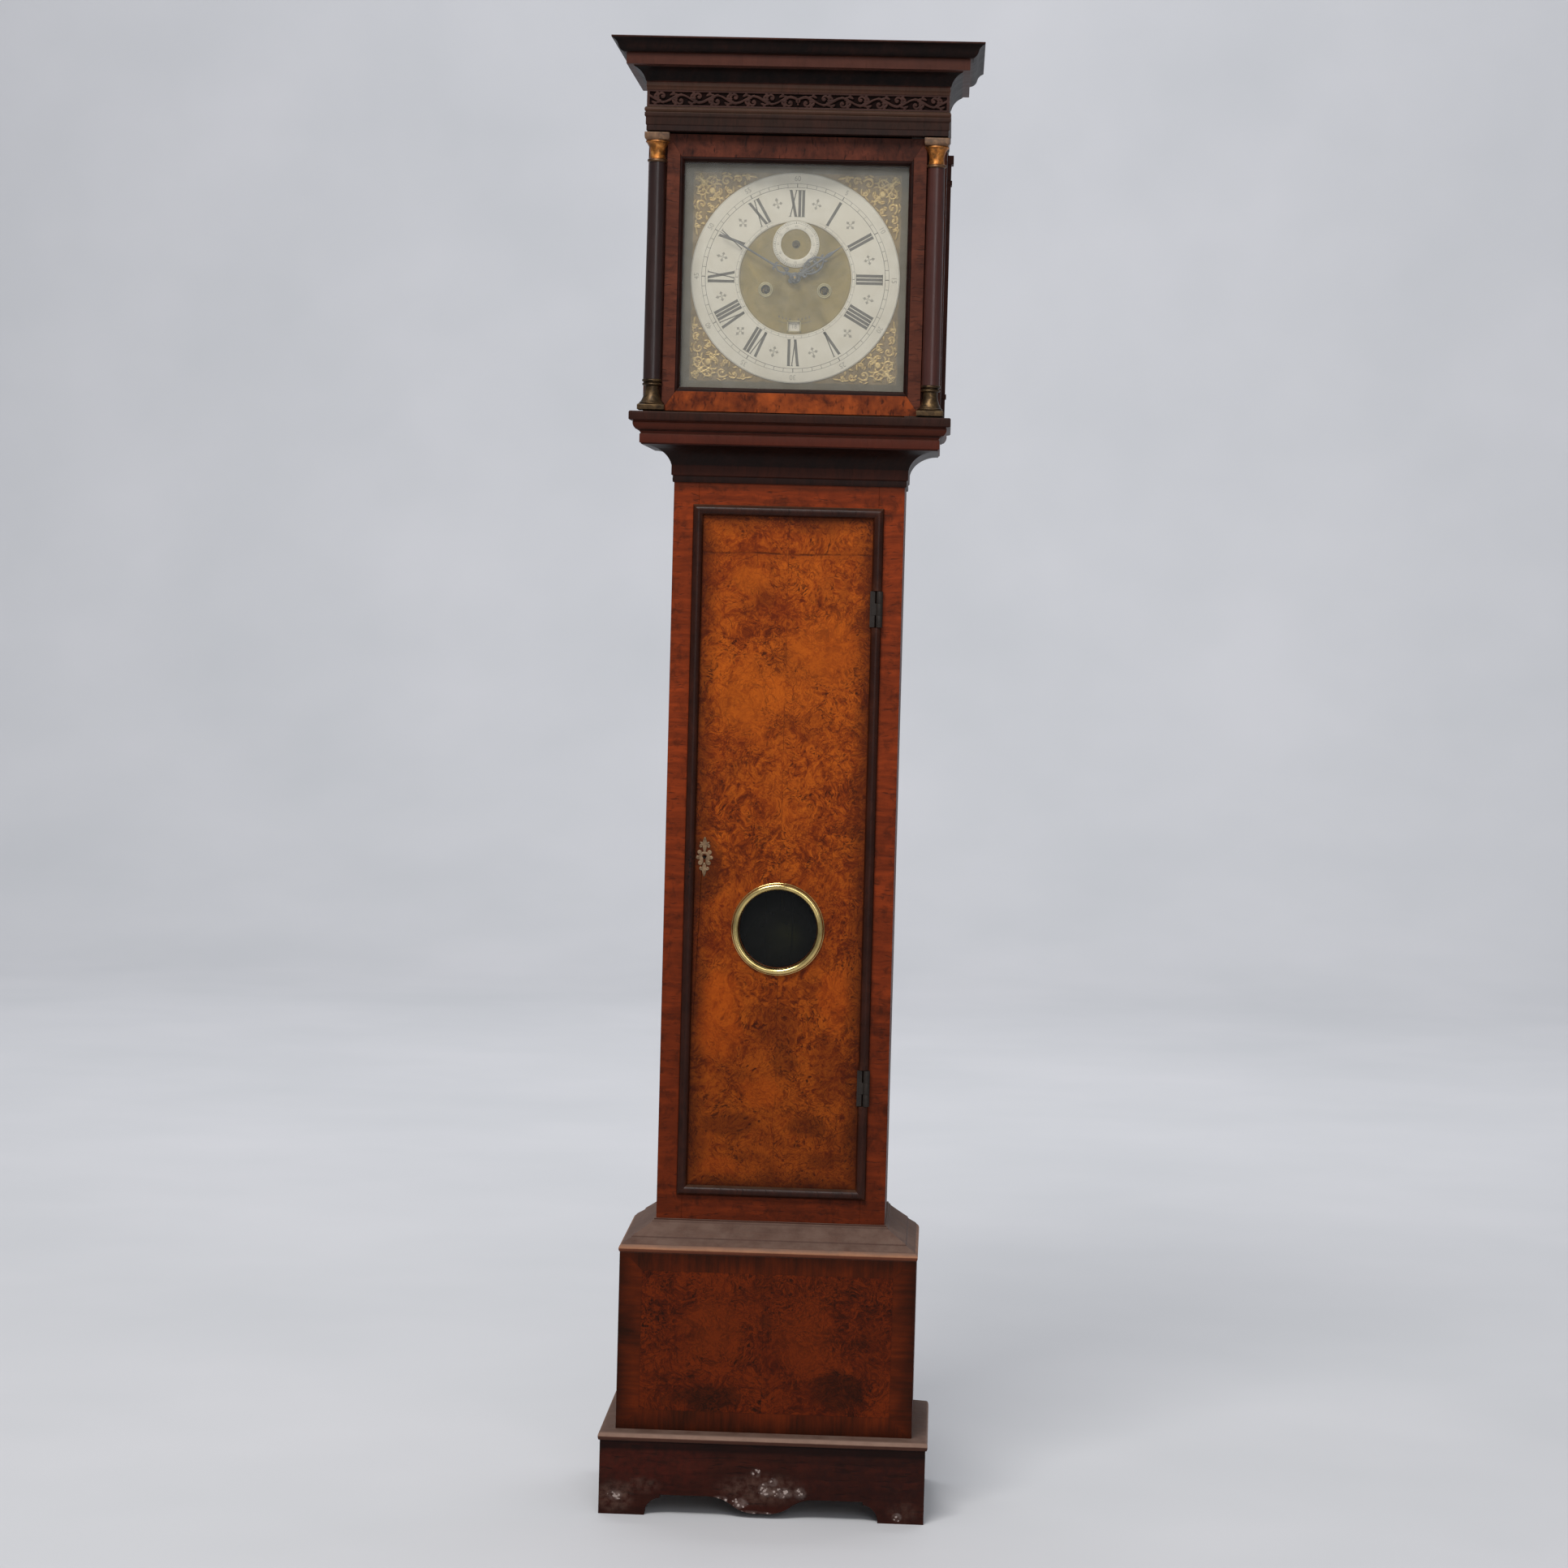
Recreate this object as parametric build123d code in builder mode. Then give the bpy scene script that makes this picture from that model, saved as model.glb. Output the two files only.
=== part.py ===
from build123d import *
import os
from math import atan2, cos, degrees, pi, radians, sin

# Longcase clock, flat-top walnut hood, eight-day movement behind a 12-inch brass dial.
# Millimetres. +Z up, front faces -Y, origin on the floor at the centre of the footprint box.

os.makedirs("parts", exist_ok=True)

# ---------------------------------------------------------------- driving dimensions
Y_TRUNK = -55.0            # front face of the trunk
Y_BACK = 145.0             # rear face of the backboard
BOARD_T = 16.0             # backboard thickness
Y_BOARD = Y_BACK - BOARD_T
TRUNK_HW = 154.0           # half widths
BASE_HW = 198.5
PLINTH_HW = 217.5
HOOD_HW = 198.0
SIDE_T = 14.0
FRAME_T = 20.0             # trunk front frame and trunk door thickness

Z_PANEL_LOW = 34.0         # lowest edge of the base box, behind the plinth
Z_PLINTH = 99.5            # top of the plinth boards
Z_BASE = 350.0             # top edge of the base box
Z_TRUNK_FOOT = 390.0
Z_TRUNK_HEAD = 1380.0
Z_HOOD = 1446.0            # underside of the hood, top of the throat moulding
Z_LEDGE = 1471.0           # top of the hood's base moulding
Z_ARCH = 1840.0            # underside of the architrave
Z_FRIEZE = 1871.5
Z_CORNICE = 1893.0
Z_TOP = 1957.5

# trunk door
DOOR_HW = 119.0
DOOR_Z0, DOOR_Z1 = 430.0, 1343.5
OPEN_HW = 120.0
OPEN_Z0, OPEN_Z1 = 429.0, 1344.5
LIP_OUT, LIP_IN = 127.5, 113.5
LIP_Z0, LIP_Z1 = 422.5, 1351.0
HINGE_X, HINGE_Y = 124.5, -61.2
HINGE_Z = (574.5, 1217.0)
HINGE_H = 48.0
LENT_Z, LENT_R_IN, LENT_R_OUT = 785.0, 52.5, 62.5
LOCK_X, LOCK_Z = -101.0, 879.0

# hood door with its two columns
HD_FRONT, HD_BACK = -84.0, -63.0
HD_Z0, HD_Z1 = 1473.5, 1838.0
SIGHT = 148.5
SIGHT_Z0, SIGHT_Z1 = 1505.5, 1802.5
COL_X, COL_Y, COL_R = 184.5, -86.0, 12.0
PIVOT_X, PIVOT_Y = 196.0, -81.0

# dial
DIAL_Z = 1655.0
DIAL_HALF = 152.5
DIAL_FRONT = -42.0
DIAL_T = 3.0
RING_OUT, RING_IN = 139.5, 75.0
SEC_Z = 1700.0             # escape arbor, centre of the seconds ring
WIND_X, WIND_DZ = 39.2, -15.8
WIND_Z = DIAL_Z + WIND_DZ

# movement
PLATE_HW, PLATE_Z0, PLATE_Z1 = 72.0, 1585.0, 1765.0
FP0, FP1 = -10.0, -7.0     # front plate, front and rear face
BP0, BP1 = 50.0, 53.0      # back plate
ANCHOR_Z = 1737.0
PEND_Y = 72.0
BOB_Z, BOB_R = 748.0, 52.0
BARREL_R = 22.0
LINE_R = 0.8
LINE_Y = 22.0
PULLEY_Z, PULLEY_R = 420.0, 21.0
THIRD = (9.8, 1678.54)
PIN_ARBOR = (-30.0, 1680.45)
MIN_POST = (16.97, 1638.03)
HAMMER = (-56.0, 1712.0)

HAIR = 0.1                 # hairline left at glued mitres and shoulders


def at_y(y):
    """Sketch plane facing the front at depth y: local x is +X, local y is +Z."""
    return Plane(origin=(0, y, 0), x_dir=(1, 0, 0), z_dir=(0, -1, 0))


def trace(start, *steps):
    """Closed outline from straight steps (x, y) and arc steps ((x, y), (x, y))."""
    here = start
    for step in steps:
        if isinstance(step[0], tuple):
            ThreePointArc(here, step[0], step[1])
            here = step[1]
        else:
            Line(here, step)
            here = step
    Line(here, start)


def toothed(n, module, phase, addendum=0.62, dedendum=1.15, width=0.36):
    """Corner points of an n-tooth wheel, one tooth centred on the phase angle."""
    pitch_r = module * n / 2
    root, tip = pitch_r - dedendum * module, pitch_r + addendum * module
    step = 360.0 / n
    points = []
    for k in range(n):
        mid = phase + k * step
        for r, share in ((root, -1.25), (tip, -0.55), (tip, 0.55), (root, 1.25)):
            a = radians(mid + share * width * step / 2)
            points.append((r * cos(a), r * sin(a)))
    return points


def toward(a, b):
    return degrees(atan2(b[1] - a[1], b[0] - a[0]))


CENTRE = (0.0, DIAL_Z)
ESCAPE = (0.0, SEC_Z)
GOING = (WIND_X, WIND_Z)
STRIKE = (-WIND_X, WIND_Z)
M_GREAT = 2 * ((GOING[0] - CENTRE[0]) ** 2 + (GOING[1] - CENTRE[1]) ** 2) ** 0.5 / 104


# ================================================================ case
# Backboard: wide behind the base, narrow behind the trunk, with ears inside the hood.
with BuildPart() as backboard:
    with BuildSketch(at_y(Y_BACK)):
        with BuildLine():
            Polyline((-184, Z_PANEL_LOW), (184, Z_PANEL_LOW), (184, Z_BASE - 1), (TRUNK_HW, Z_BASE - 1),
                     (TRUNK_HW, 1474), (182, 1474), (182, 1888), (-182, 1888), (-182, 1474),
                     (-TRUNK_HW, 1474), (-TRUNK_HW, Z_BASE - 1), (-184, Z_BASE - 1), close=True)
        make_face()
    extrude(amount=BOARD_T)
backboard.part.label = "backboard"
export_step(backboard.part, "parts/backboard.step")

# Trunk sides run on up as the cheeks that carry the seatboard; each has a hood runner.
with BuildPart() as trunk_sides:
    with BuildSketch(Plane.XY.offset(110)):
        with Locations(((TRUNK_HW - SIDE_T / 2), (Y_BOARD + Y_TRUNK + FRAME_T) / 2)):
            Rectangle(SIDE_T, Y_BOARD - Y_TRUNK - FRAME_T)
    extrude(amount=1567 - 110)
    with BuildSketch(Plane.XY.offset(1472)):
        with Locations((TRUNK_HW + HAIR + 7, 52)):
            Rectangle(14, 146)
    extrude(amount=12)
    mirror(about=Plane.YZ)
trunk_sides.part.label = "trunk_sides"
export_step(trunk_sides.part, "parts/trunk_sides.step")

# Front frame of the trunk: two stiles and two rails round the door opening.
STILE_Z0 = 300.0
with BuildPart() as trunk_front_frame:
    with BuildSketch(at_y(Y_TRUNK + FRAME_T)):
        with Locations(((TRUNK_HW + OPEN_HW) / 2, (STILE_Z0 + Z_HOOD) / 2),
                       (-(TRUNK_HW + OPEN_HW) / 2, (STILE_Z0 + Z_HOOD) / 2)):
            Rectangle(TRUNK_HW - OPEN_HW, Z_HOOD - STILE_Z0)
        with Locations((0, (STILE_Z0 + OPEN_Z0) / 2)):
            Rectangle(2 * OPEN_HW - 2 * HAIR, OPEN_Z0 - STILE_Z0)
        with Locations((0, (OPEN_Z1 + Z_HOOD) / 2)):
            Rectangle(2 * OPEN_HW - 2 * HAIR, Z_HOOD - OPEN_Z1)
    extrude(amount=FRAME_T)
    with Locations((-OPEN_HW - 4.5, -41, LOCK_Z)):      # mortise for the lock bolt
        Box(11, 8, 18, mode=Mode.SUBTRACT)
trunk_front_frame.part.label = "trunk_front_frame"
export_step(trunk_front_frame.part, "parts/trunk_front_frame.step")


def mould_front(x_ref, y_ref, start, *steps):
    """Front length of a moulding mitred at both ends; profile is (outward, height)."""
    with BuildPart() as front:
        with BuildSketch(Plane(origin=(0, y_ref, 0), x_dir=(0, -1, 0), z_dir=(-1, 0, 0))):
            with BuildLine():
                trace(start, *steps)
            make_face()
        extrude(amount=x_ref + 90, both=True)
        split(bisect_by=Plane(origin=(x_ref - HAIR, y_ref, 0), z_dir=(1, 1, 0)), keep=Keep.BOTTOM)
        split(bisect_by=Plane(origin=(-x_ref + HAIR, y_ref, 0), z_dir=(-1, 1, 0)), keep=Keep.BOTTOM)
    return front.part


def mould_return(x_ref, y_ref, y_back, start, *steps):
    """Right-hand return of the same moulding, square at the back."""
    with BuildPart() as side:
        with BuildSketch(Plane(origin=(x_ref, y_back, 0), x_dir=(1, 0, 0), z_dir=(0, -1, 0))):
            with BuildLine():
                trace(start, *steps)
            make_face()
        extrude(amount=y_back - y_ref + 90)
        split(bisect_by=Plane(origin=(x_ref, y_ref, 0), z_dir=(1, 1, 0)), keep=Keep.TOP)
    return side.part


# Concave throat moulding under the hood.
THROAT = ((0, 1380), (2, 1380), (2, 1388.5), (4, 1389.5), (4, 1402), ((15.4, 1420.4), (43, 1428.5)),
          (44.5, 1429), (44.5, Z_HOOD), (0, Z_HOOD))
throat_front = mould_front(TRUNK_HW, Y_TRUNK, *THROAT)
throat_side = mould_return(TRUNK_HW, Y_TRUNK, Y_BACK, *THROAT)
with BuildPart() as throat_moulding:
    add(throat_side)
    mirror(about=Plane.YZ)
    add(throat_front)
throat_moulding.part.label = "throat_moulding"
export_step(throat_moulding.part, "parts/throat_moulding.step")

# Base box.
with BuildPart() as base_front_panel:
    with BuildSketch(at_y(-84)):
        with Locations((0, (Z_PANEL_LOW + Z_BASE) / 2)):
            Rectangle(2 * BASE_HW, Z_BASE - Z_PANEL_LOW)
    extrude(amount=16)
base_front_panel.part.label = "base_front_panel"
export_step(base_front_panel.part, "parts/base_front_panel.step")

with BuildPart() as base_sides:
    with BuildSketch(Plane.XY.offset(Z_PANEL_LOW)):
        with Locations((BASE_HW - SIDE_T / 2, (Y_BACK - 84) / 2)):
            Rectangle(SIDE_T, Y_BACK + 84)
    extrude(amount=Z_BASE - Z_PANEL_LOW)
    mirror(about=Plane.YZ)
base_sides.part.label = "base_sides"
export_step(base_sides.part, "parts/base_sides.step")

with BuildPart() as base_floor_board:
    with BuildSketch(Plane.XY.offset(40)):
        with Locations((0, (Y_BOARD - 84) / 2)):
            Rectangle(2 * (BASE_HW - SIDE_T), Y_BOARD + 84)
    extrude(amount=12)
base_floor_board.part.label = "base_floor_board"
export_step(base_floor_board.part, "parts/base_floor_board.step")

# Sloping moulding from the trunk out to the base.
SLOPE = ((0, Z_BASE), (44.5, Z_BASE), ((46.2, 354.5), (44, 359)), (42.5, 359.6),
         ((22, 370.5), (4.5, 386)), (2.5, 387.5), (2.5, Z_TRUNK_FOOT), (0, Z_TRUNK_FOOT))
slope_front = mould_front(TRUNK_HW, Y_TRUNK, *SLOPE)
slope_side = mould_return(TRUNK_HW, Y_TRUNK, Y_BACK, *SLOPE)
with BuildPart() as base_top_moulding:
    add(slope_side)
    mirror(about=Plane.YZ)
    add(slope_front)
base_top_moulding.part.label = "base_top_moulding"
export_step(base_top_moulding.part, "parts/base_top_moulding.step")

# Plinth boards with a shaped apron between bracket feet.
Y_PLINTH = -119.0
with BuildPart() as plinth_boards:
    with BuildSketch(at_y(-100)):
        with BuildLine():
            Line((0, 7), (12, 7))
            ThreePointArc((12, 7), (26, 10), (40, 18))
            ThreePointArc((40, 18), (55, 25.5), (72, 28))
            Line((72, 28), (136, 28))
            Line((136, 28), (136, 24))
            ThreePointArc((136, 24), (150, 17), (156, 0))
            Line((156, 0), (PLINTH_HW, 0))
            Line((PLINTH_HW, 0), (PLINTH_HW, Z_PLINTH))
            Line((PLINTH_HW, Z_PLINTH), (0, Z_PLINTH))
            Line((0, Z_PLINTH), (0, 7))
        make_face()
        mirror(about=Plane.YZ)
    extrude(amount=-100 - Y_PLINTH)
    with BuildSketch(Plane(origin=(BASE_HW, 0, 0), x_dir=(0, 1, 0), z_dir=(1, 0, 0))):
        with BuildLine():
            Line((-100 + HAIR, 0), (-62, 0))
            ThreePointArc((-62, 0), (-56, 17), (-42, 24))
            Line((-42, 24), (-42, 28))
            Line((-42, 28), (86, 28))
            Line((86, 28), (86, 24))
            ThreePointArc((86, 24), (100, 17), (106, 0))
            Line((106, 0), (Y_BACK, 0))
            Line((Y_BACK, 0), (Y_BACK, Z_PLINTH))
            Line((Y_BACK, Z_PLINTH), (-100 + HAIR, Z_PLINTH))
            Line((-100 + HAIR, Z_PLINTH), (-100 + HAIR, 0))
        make_face()
    extrude(amount=PLINTH_HW - BASE_HW)
    mirror(about=Plane.YZ)
plinth_boards.part.label = "plinth_boards"
export_step(plinth_boards.part, "parts/plinth_boards.step")

CAPPING = ((0, Z_PLINTH), (20.5, Z_PLINTH), ((21.8, 105), (20.3, 109.5)), (19, 110.3), (0, 111.5))
cap_front = mould_front(BASE_HW, -100, *CAPPING)
cap_side = mould_return(BASE_HW, -100, Y_BACK, *CAPPING)
with BuildPart() as plinth_moulding:
    add(cap_side)
    mirror(about=Plane.YZ)
    add(cap_front)
plinth_moulding.part.label = "plinth_moulding"
export_step(plinth_moulding.part, "parts/plinth_moulding.step")

# Seatboard across the cheeks, bored for the four runs of line.
with BuildPart() as seatboard:
    with BuildSketch(Plane.XY.offset(1567)):
        with Locations((0, 15)):
            Rectangle(296, 90)
        with Locations((WIND_X - 22.8, LINE_Y), (-WIND_X - 22.8, LINE_Y)):
            SlotOverall(30, 9, rotation=90, mode=Mode.SUBTRACT)
        with Locations((WIND_X - 22.8 + 42, LINE_Y), (-WIND_X - 22.8 + 42, LINE_Y)):
            Circle(3, mode=Mode.SUBTRACT)
    extrude(amount=18)
seatboard.part.label = "seatboard"
export_step(seatboard.part, "parts/seatboard.step")

# ================================================================ trunk door
with BuildPart() as trunk_door_panel:
    with BuildSketch(at_y(Y_TRUNK + FRAME_T)):
        with Locations((0, (DOOR_Z0 + DOOR_Z1) / 2)):
            Rectangle(2 * DOOR_HW, DOOR_Z1 - DOOR_Z0)
        with Locations((0, LENT_Z)):
            Circle(LENT_R_IN, mode=Mode.SUBTRACT)
    extrude(amount=FRAME_T)
    with BuildSketch(at_y(Y_TRUNK + FRAME_T)):           # rebate for the glass
        with Locations((0, LENT_Z)):
            Circle(58)
    extrude(amount=9, mode=Mode.SUBTRACT)
    with Locations((-DOOR_HW + 28.5, -41.5, LOCK_Z - 1.5)):   # bed of the lock
        Box(57, 13, 65, mode=Mode.SUBTRACT)
    with Locations((LOCK_X, -50, LOCK_Z)):               # keyhole
        Cylinder(2.6, 20, rotation=(90, 0, 0), mode=Mode.SUBTRACT)
trunk_door_panel.part.label = "trunk_door_panel"
export_step(trunk_door_panel.part, "parts/trunk_door_panel.step")

# Half-round lip moulding, four mitred lengths, notched for the hinge knuckles.
LIP_H = 9.2
with BuildPart() as lip_right:
    with BuildSketch(Plane(origin=(LIP_IN, Y_TRUNK, LIP_Z0 - 20), x_dir=(1, 0, 0), z_dir=(0, 0, 1))):
        with BuildLine():
            Line((0, 0), (5.5, 0))
            Line((5.5, 0), (5.5, -1))
            Line((5.5, -1), (14, -1))
            Line((14, -1), (14, -2.5))
            ThreePointArc((14, -2.5), (7, -LIP_H), (0, -2.5))
            Line((0, -2.5), (0, 0))
        make_face()
    extrude(amount=LIP_Z1 - LIP_Z0 + 40)
    split(bisect_by=Plane(origin=(LIP_OUT, 0, LIP_Z1), z_dir=(-1, 0, 1)), keep=Keep.BOTTOM)
    split(bisect_by=Plane(origin=(LIP_OUT, 0, LIP_Z0), z_dir=(-1, 0, -1)), keep=Keep.BOTTOM)
    for z in HINGE_Z:
        with Locations((LIP_IN + 8, -60, z)):
            Box(18, 14, HINGE_H + 1, mode=Mode.SUBTRACT)
with BuildPart() as lip_left:
    with BuildSketch(Plane(origin=(LIP_IN, Y_TRUNK, LIP_Z0 - 20), x_dir=(1, 0, 0), z_dir=(0, 0, 1))):
        with BuildLine():
            Line((0, 0), (5.5, 0))
            Line((5.5, 0), (5.5, -1))
            Line((5.5, -1), (14, -1))
            Line((14, -1), (14, -2.5))
            ThreePointArc((14, -2.5), (7, -LIP_H), (0, -2.5))
            Line((0, -2.5), (0, 0))
        make_face()
    extrude(amount=LIP_Z1 - LIP_Z0 + 40)
    split(bisect_by=Plane(origin=(LIP_OUT, 0, LIP_Z1), z_dir=(-1, 0, 1)), keep=Keep.BOTTOM)
    split(bisect_by=Plane(origin=(LIP_OUT, 0, LIP_Z0), z_dir=(-1, 0, -1)), keep=Keep.BOTTOM)
with BuildPart() as lip_top:
    with BuildSketch(Plane(origin=(-150, Y_TRUNK, LIP_Z1 - 14), x_dir=(0, 0, 1), z_dir=(1, 0, 0))):
        with BuildLine():
            Line((0, 0), (6.5, 0))
            Line((6.5, 0), (6.5, 1))
            Line((6.5, 1), (14, 1))
            Line((14, 1), (14, 2.5))
            ThreePointArc((14, 2.5), (7, LIP_H), (0, 2.5))
            Line((0, 2.5), (0, 0))
        make_face()
    extrude(amount=300)
    split(bisect_by=Plane(origin=(LIP_OUT - HAIR, 0, LIP_Z1), z_dir=(1, 0, -1)), keep=Keep.BOTTOM)
    split(bisect_by=Plane(origin=(-LIP_OUT + HAIR, 0, LIP_Z1), z_dir=(-1, 0, -1)), keep=Keep.BOTTOM)
with BuildPart() as lip_bottom:
    with BuildSketch(Plane(origin=(150, Y_TRUNK, LIP_Z0 + 14), x_dir=(0, 0, -1), z_dir=(-1, 0, 0))):
        with BuildLine():
            Line((0, 0), (6.5, 0))
            Line((6.5, 0), (6.5, 1))
            Line((6.5, 1), (14, 1))
            Line((14, 1), (14, 2.5))
            ThreePointArc((14, 2.5), (7, LIP_H), (0, 2.5))
            Line((0, 2.5), (0, 0))
        make_face()
    extrude(amount=300)
    split(bisect_by=Plane(origin=(LIP_OUT - HAIR, 0, LIP_Z0), z_dir=(1, 0, 1)), keep=Keep.BOTTOM)
    split(bisect_by=Plane(origin=(-LIP_OUT + HAIR, 0, LIP_Z0), z_dir=(-1, 0, 1)), keep=Keep.BOTTOM)
with BuildPart() as trunk_door_moulding:
    add(lip_left.part)
    mirror(about=Plane.YZ, mode=Mode.REPLACE)
    add(lip_right.part)
    add(lip_top.part)
    add(lip_bottom.part)
trunk_door_moulding.part.label = "trunk_door_moulding"
export_step(trunk_door_moulding.part, "parts/trunk_door_moulding.step")

with BuildPart() as lenticle_bezel:
    with BuildSketch(Plane(origin=(0, Y_TRUNK, LENT_Z), x_dir=(1, 0, 0), z_dir=(0, 0, 1))):
        with BuildLine():
            Line((LENT_R_IN - 1.5, 9), (LENT_R_IN - 1.5, -3))
            ThreePointArc((LENT_R_IN - 1.5, -3), (LENT_R_IN + 4.5, -7), (LENT_R_OUT, -1.5))
            Line((LENT_R_OUT, -1.5), (LENT_R_OUT, 0))
            Line((LENT_R_OUT, 0), (LENT_R_IN - 0.1, 0))
            Line((LENT_R_IN - 0.1, 0), (LENT_R_IN - 0.1, 9))
            Line((LENT_R_IN - 0.1, 9), (LENT_R_IN - 1.5, 9))
        make_face()
    revolve(axis=Axis((0, 0, LENT_Z), (0, 1, 0)))
lenticle_bezel.part.label = "lenticle_bezel"
export_step(lenticle_bezel.part, "parts/lenticle_bezel.step")

with BuildPart() as lenticle_glass:
    with BuildSketch(at_y(-41)):
        with Locations((0, LENT_Z)):
            Circle(57.5)
    extrude(amount=3)
lenticle_glass.part.label = "lenticle_glass"
export_step(lenticle_glass.part, "parts/lenticle_glass.step")

with BuildPart() as escutcheon:
    with BuildSketch(at_y(Y_TRUNK)):
        with Locations((LOCK_X, LOCK_Z)):
            Ellipse(12, 20)
        with Locations((LOCK_X, LOCK_Z + 20), (LOCK_X, LOCK_Z - 20)):
            Ellipse(5, 7)
        with Locations((LOCK_X, LOCK_Z + 2)):
            Circle(2.4, mode=Mode.SUBTRACT)
        with Locations((LOCK_X, LOCK_Z - 3)):
            Rectangle(2.2, 9, mode=Mode.SUBTRACT)
        with Locations((LOCK_X - 6.5, LOCK_Z + 9), (LOCK_X + 6.5, LOCK_Z + 9),
                       (LOCK_X - 6.5, LOCK_Z - 9), (LOCK_X + 6.5, LOCK_Z - 9)):
            Circle(2.0, mode=Mode.SUBTRACT)
    extrude(amount=1.4)
escutcheon.part.label = "escutcheon"
export_step(escutcheon.part, "parts/escutcheon.step")

BOLT_Z0, BOLT_Z1 = LOCK_Z - 8, LOCK_Z + 8
with BuildPart() as trunk_lock_case:
    with Locations((-DOOR_HW + 28.5, -40.5, LOCK_Z - 1.5)):
        Box(56, 14.6, 64)
    with Locations((-DOOR_HW + 15, -41, LOCK_Z)):
        Box(31, 7, 17, mode=Mode.SUBTRACT)
trunk_lock_case.part.label = "trunk_lock_case"
export_step(trunk_lock_case.part, "parts/trunk_lock_case.step")

with BuildPart() as lock_bolt:
    with Locations((-DOOR_HW + 11.5, -41, LOCK_Z)):
        Box(22, 6, 16)
lock_bolt.part.label = "lock_bolt"
export_step(lock_bolt.part, "parts/lock_bolt.step")

# Trunk door hinges: outer knuckles, pin and plate on the case, middle knuckle on the door.
THIRD_H = HINGE_H / 3
with BuildPart() as case_hinge_leaves:
    for z in HINGE_Z:
        for dz in (-THIRD_H, THIRD_H):
            with Locations((HINGE_X, HINGE_Y, z + dz)):
                Cylinder(4.5, THIRD_H)
            with Locations((HINGE_X, (Y_TRUNK + HINGE_Y) / 2, z + dz)):
                Box(6, Y_TRUNK - HINGE_Y, THIRD_H)
        with Locations((HINGE_X, HINGE_Y, z)):
            Cylinder(1.5, HINGE_H)
case_hinge_leaves.part.label = "case_hinge_leaves"
export_step(case_hinge_leaves.part, "parts/case_hinge_leaves.step")

with BuildPart() as door_hinge_leaves:
    for z in HINGE_Z:
        with Locations((HINGE_X, HINGE_Y, z)):
            Cylinder(4.5, THIRD_H - 0.4)
        with Locations((118.5, -59.5, z)):
            Box(9, 6, THIRD_H - 0.4)
        with Locations((115.2, -58.6, z)):
            Box(6.6, 7.2, HINGE_H)
        with Locations((HINGE_X, HINGE_Y, z)):
            Cylinder(1.56, HINGE_H, mode=Mode.SUBTRACT)
door_hinge_leaves.part.label = "door_hinge_leaves"
export_step(door_hinge_leaves.part, "parts/door_hinge_leaves.step")

# ================================================================ hood
# Base moulding of the hood: front length and two side rails, open at the back.
HB_X, HB_Y = 157.0, -58.0
LEDGE = ((0, Z_HOOD), (45.5, Z_HOOD), (45.5, 1448.5), ((47.5, 1453.5), (51.5, 1456.5)), (51.5, 1458.5),
         (55.5, 1459.5), (55.5, Z_LEDGE), (0, Z_LEDGE))
ledge_front = mould_front(HB_X, HB_Y, *LEDGE)
ledge_side = mould_return(HB_X, HB_Y, 143, *LEDGE)
with BuildPart() as hood_base_moulding:
    add(ledge_side)
    mirror(about=Plane.YZ)
    add(ledge_front)
    with Locations((PIVOT_X, PIVOT_Y, Z_LEDGE)):
        Cylinder(2.57, 24, mode=Mode.SUBTRACT)
hood_base_moulding.part.label = "hood_base_moulding"
export_step(hood_base_moulding.part, "parts/hood_base_moulding.step")

# Hood sides with the front post and the rear pilaster worked on them.
with BuildPart() as hood_sides:
    with BuildSketch(Plane.XY.offset(Z_LEDGE)):
        with BuildLine():
            Polyline((172.5, -62.5), (HOOD_HW, -62.5), (HOOD_HW, 119), (203.5, 119), (203.5, 143), (184, 143),
                     (184, -46), (172.5, -46), close=True)
        make_face()
    extrude(amount=Z_ARCH - Z_LEDGE)
    for low, high in ((Z_LEDGE, 1481), (1828, Z_ARCH)):
        with BuildSketch(Plane.XY.offset(low)):
            with Locations(((HOOD_HW + 206.5) / 2, 129)):
                Rectangle(206.5 - HOOD_HW, 28)
        extrude(amount=high - low)
    for low, high in ((1508, 1514), (1800, 1806)):
        with BuildSketch(Plane.XY.offset(low)):
            with Locations(((HOOD_HW + 205) / 2, 130)):
                Rectangle(205 - HOOD_HW, 26)
        extrude(amount=high - low)
    mirror(about=Plane.YZ)
hood_sides.part.label = "hood_sides"
export_step(hood_sides.part, "parts/hood_sides.step")

# Frame inside the hood that meets the edge of the dial: two stiles and two rails.
MASK_IN = 149.0
with BuildPart() as dial_mask:
    with BuildSketch(at_y(-46)):
        with Locations(((172.4 + MASK_IN) / 2, (Z_LEDGE + Z_ARCH) / 2), (-(172.4 + MASK_IN) / 2, (Z_LEDGE + Z_ARCH) / 2)):
            Rectangle(172.4 - MASK_IN, Z_ARCH - Z_LEDGE)
        with Locations((0, (Z_LEDGE + 1505) / 2)):
            Rectangle(2 * MASK_IN - 2 * HAIR, 1505 - Z_LEDGE)
        with Locations((0, (Z_ARCH + 1803) / 2)):
            Rectangle(2 * MASK_IN - 2 * HAIR, Z_ARCH - 1803)
    extrude(amount=12)
dial_mask.part.label = "dial_mask"
export_step(dial_mask.part, "parts/dial_mask.step")

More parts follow.
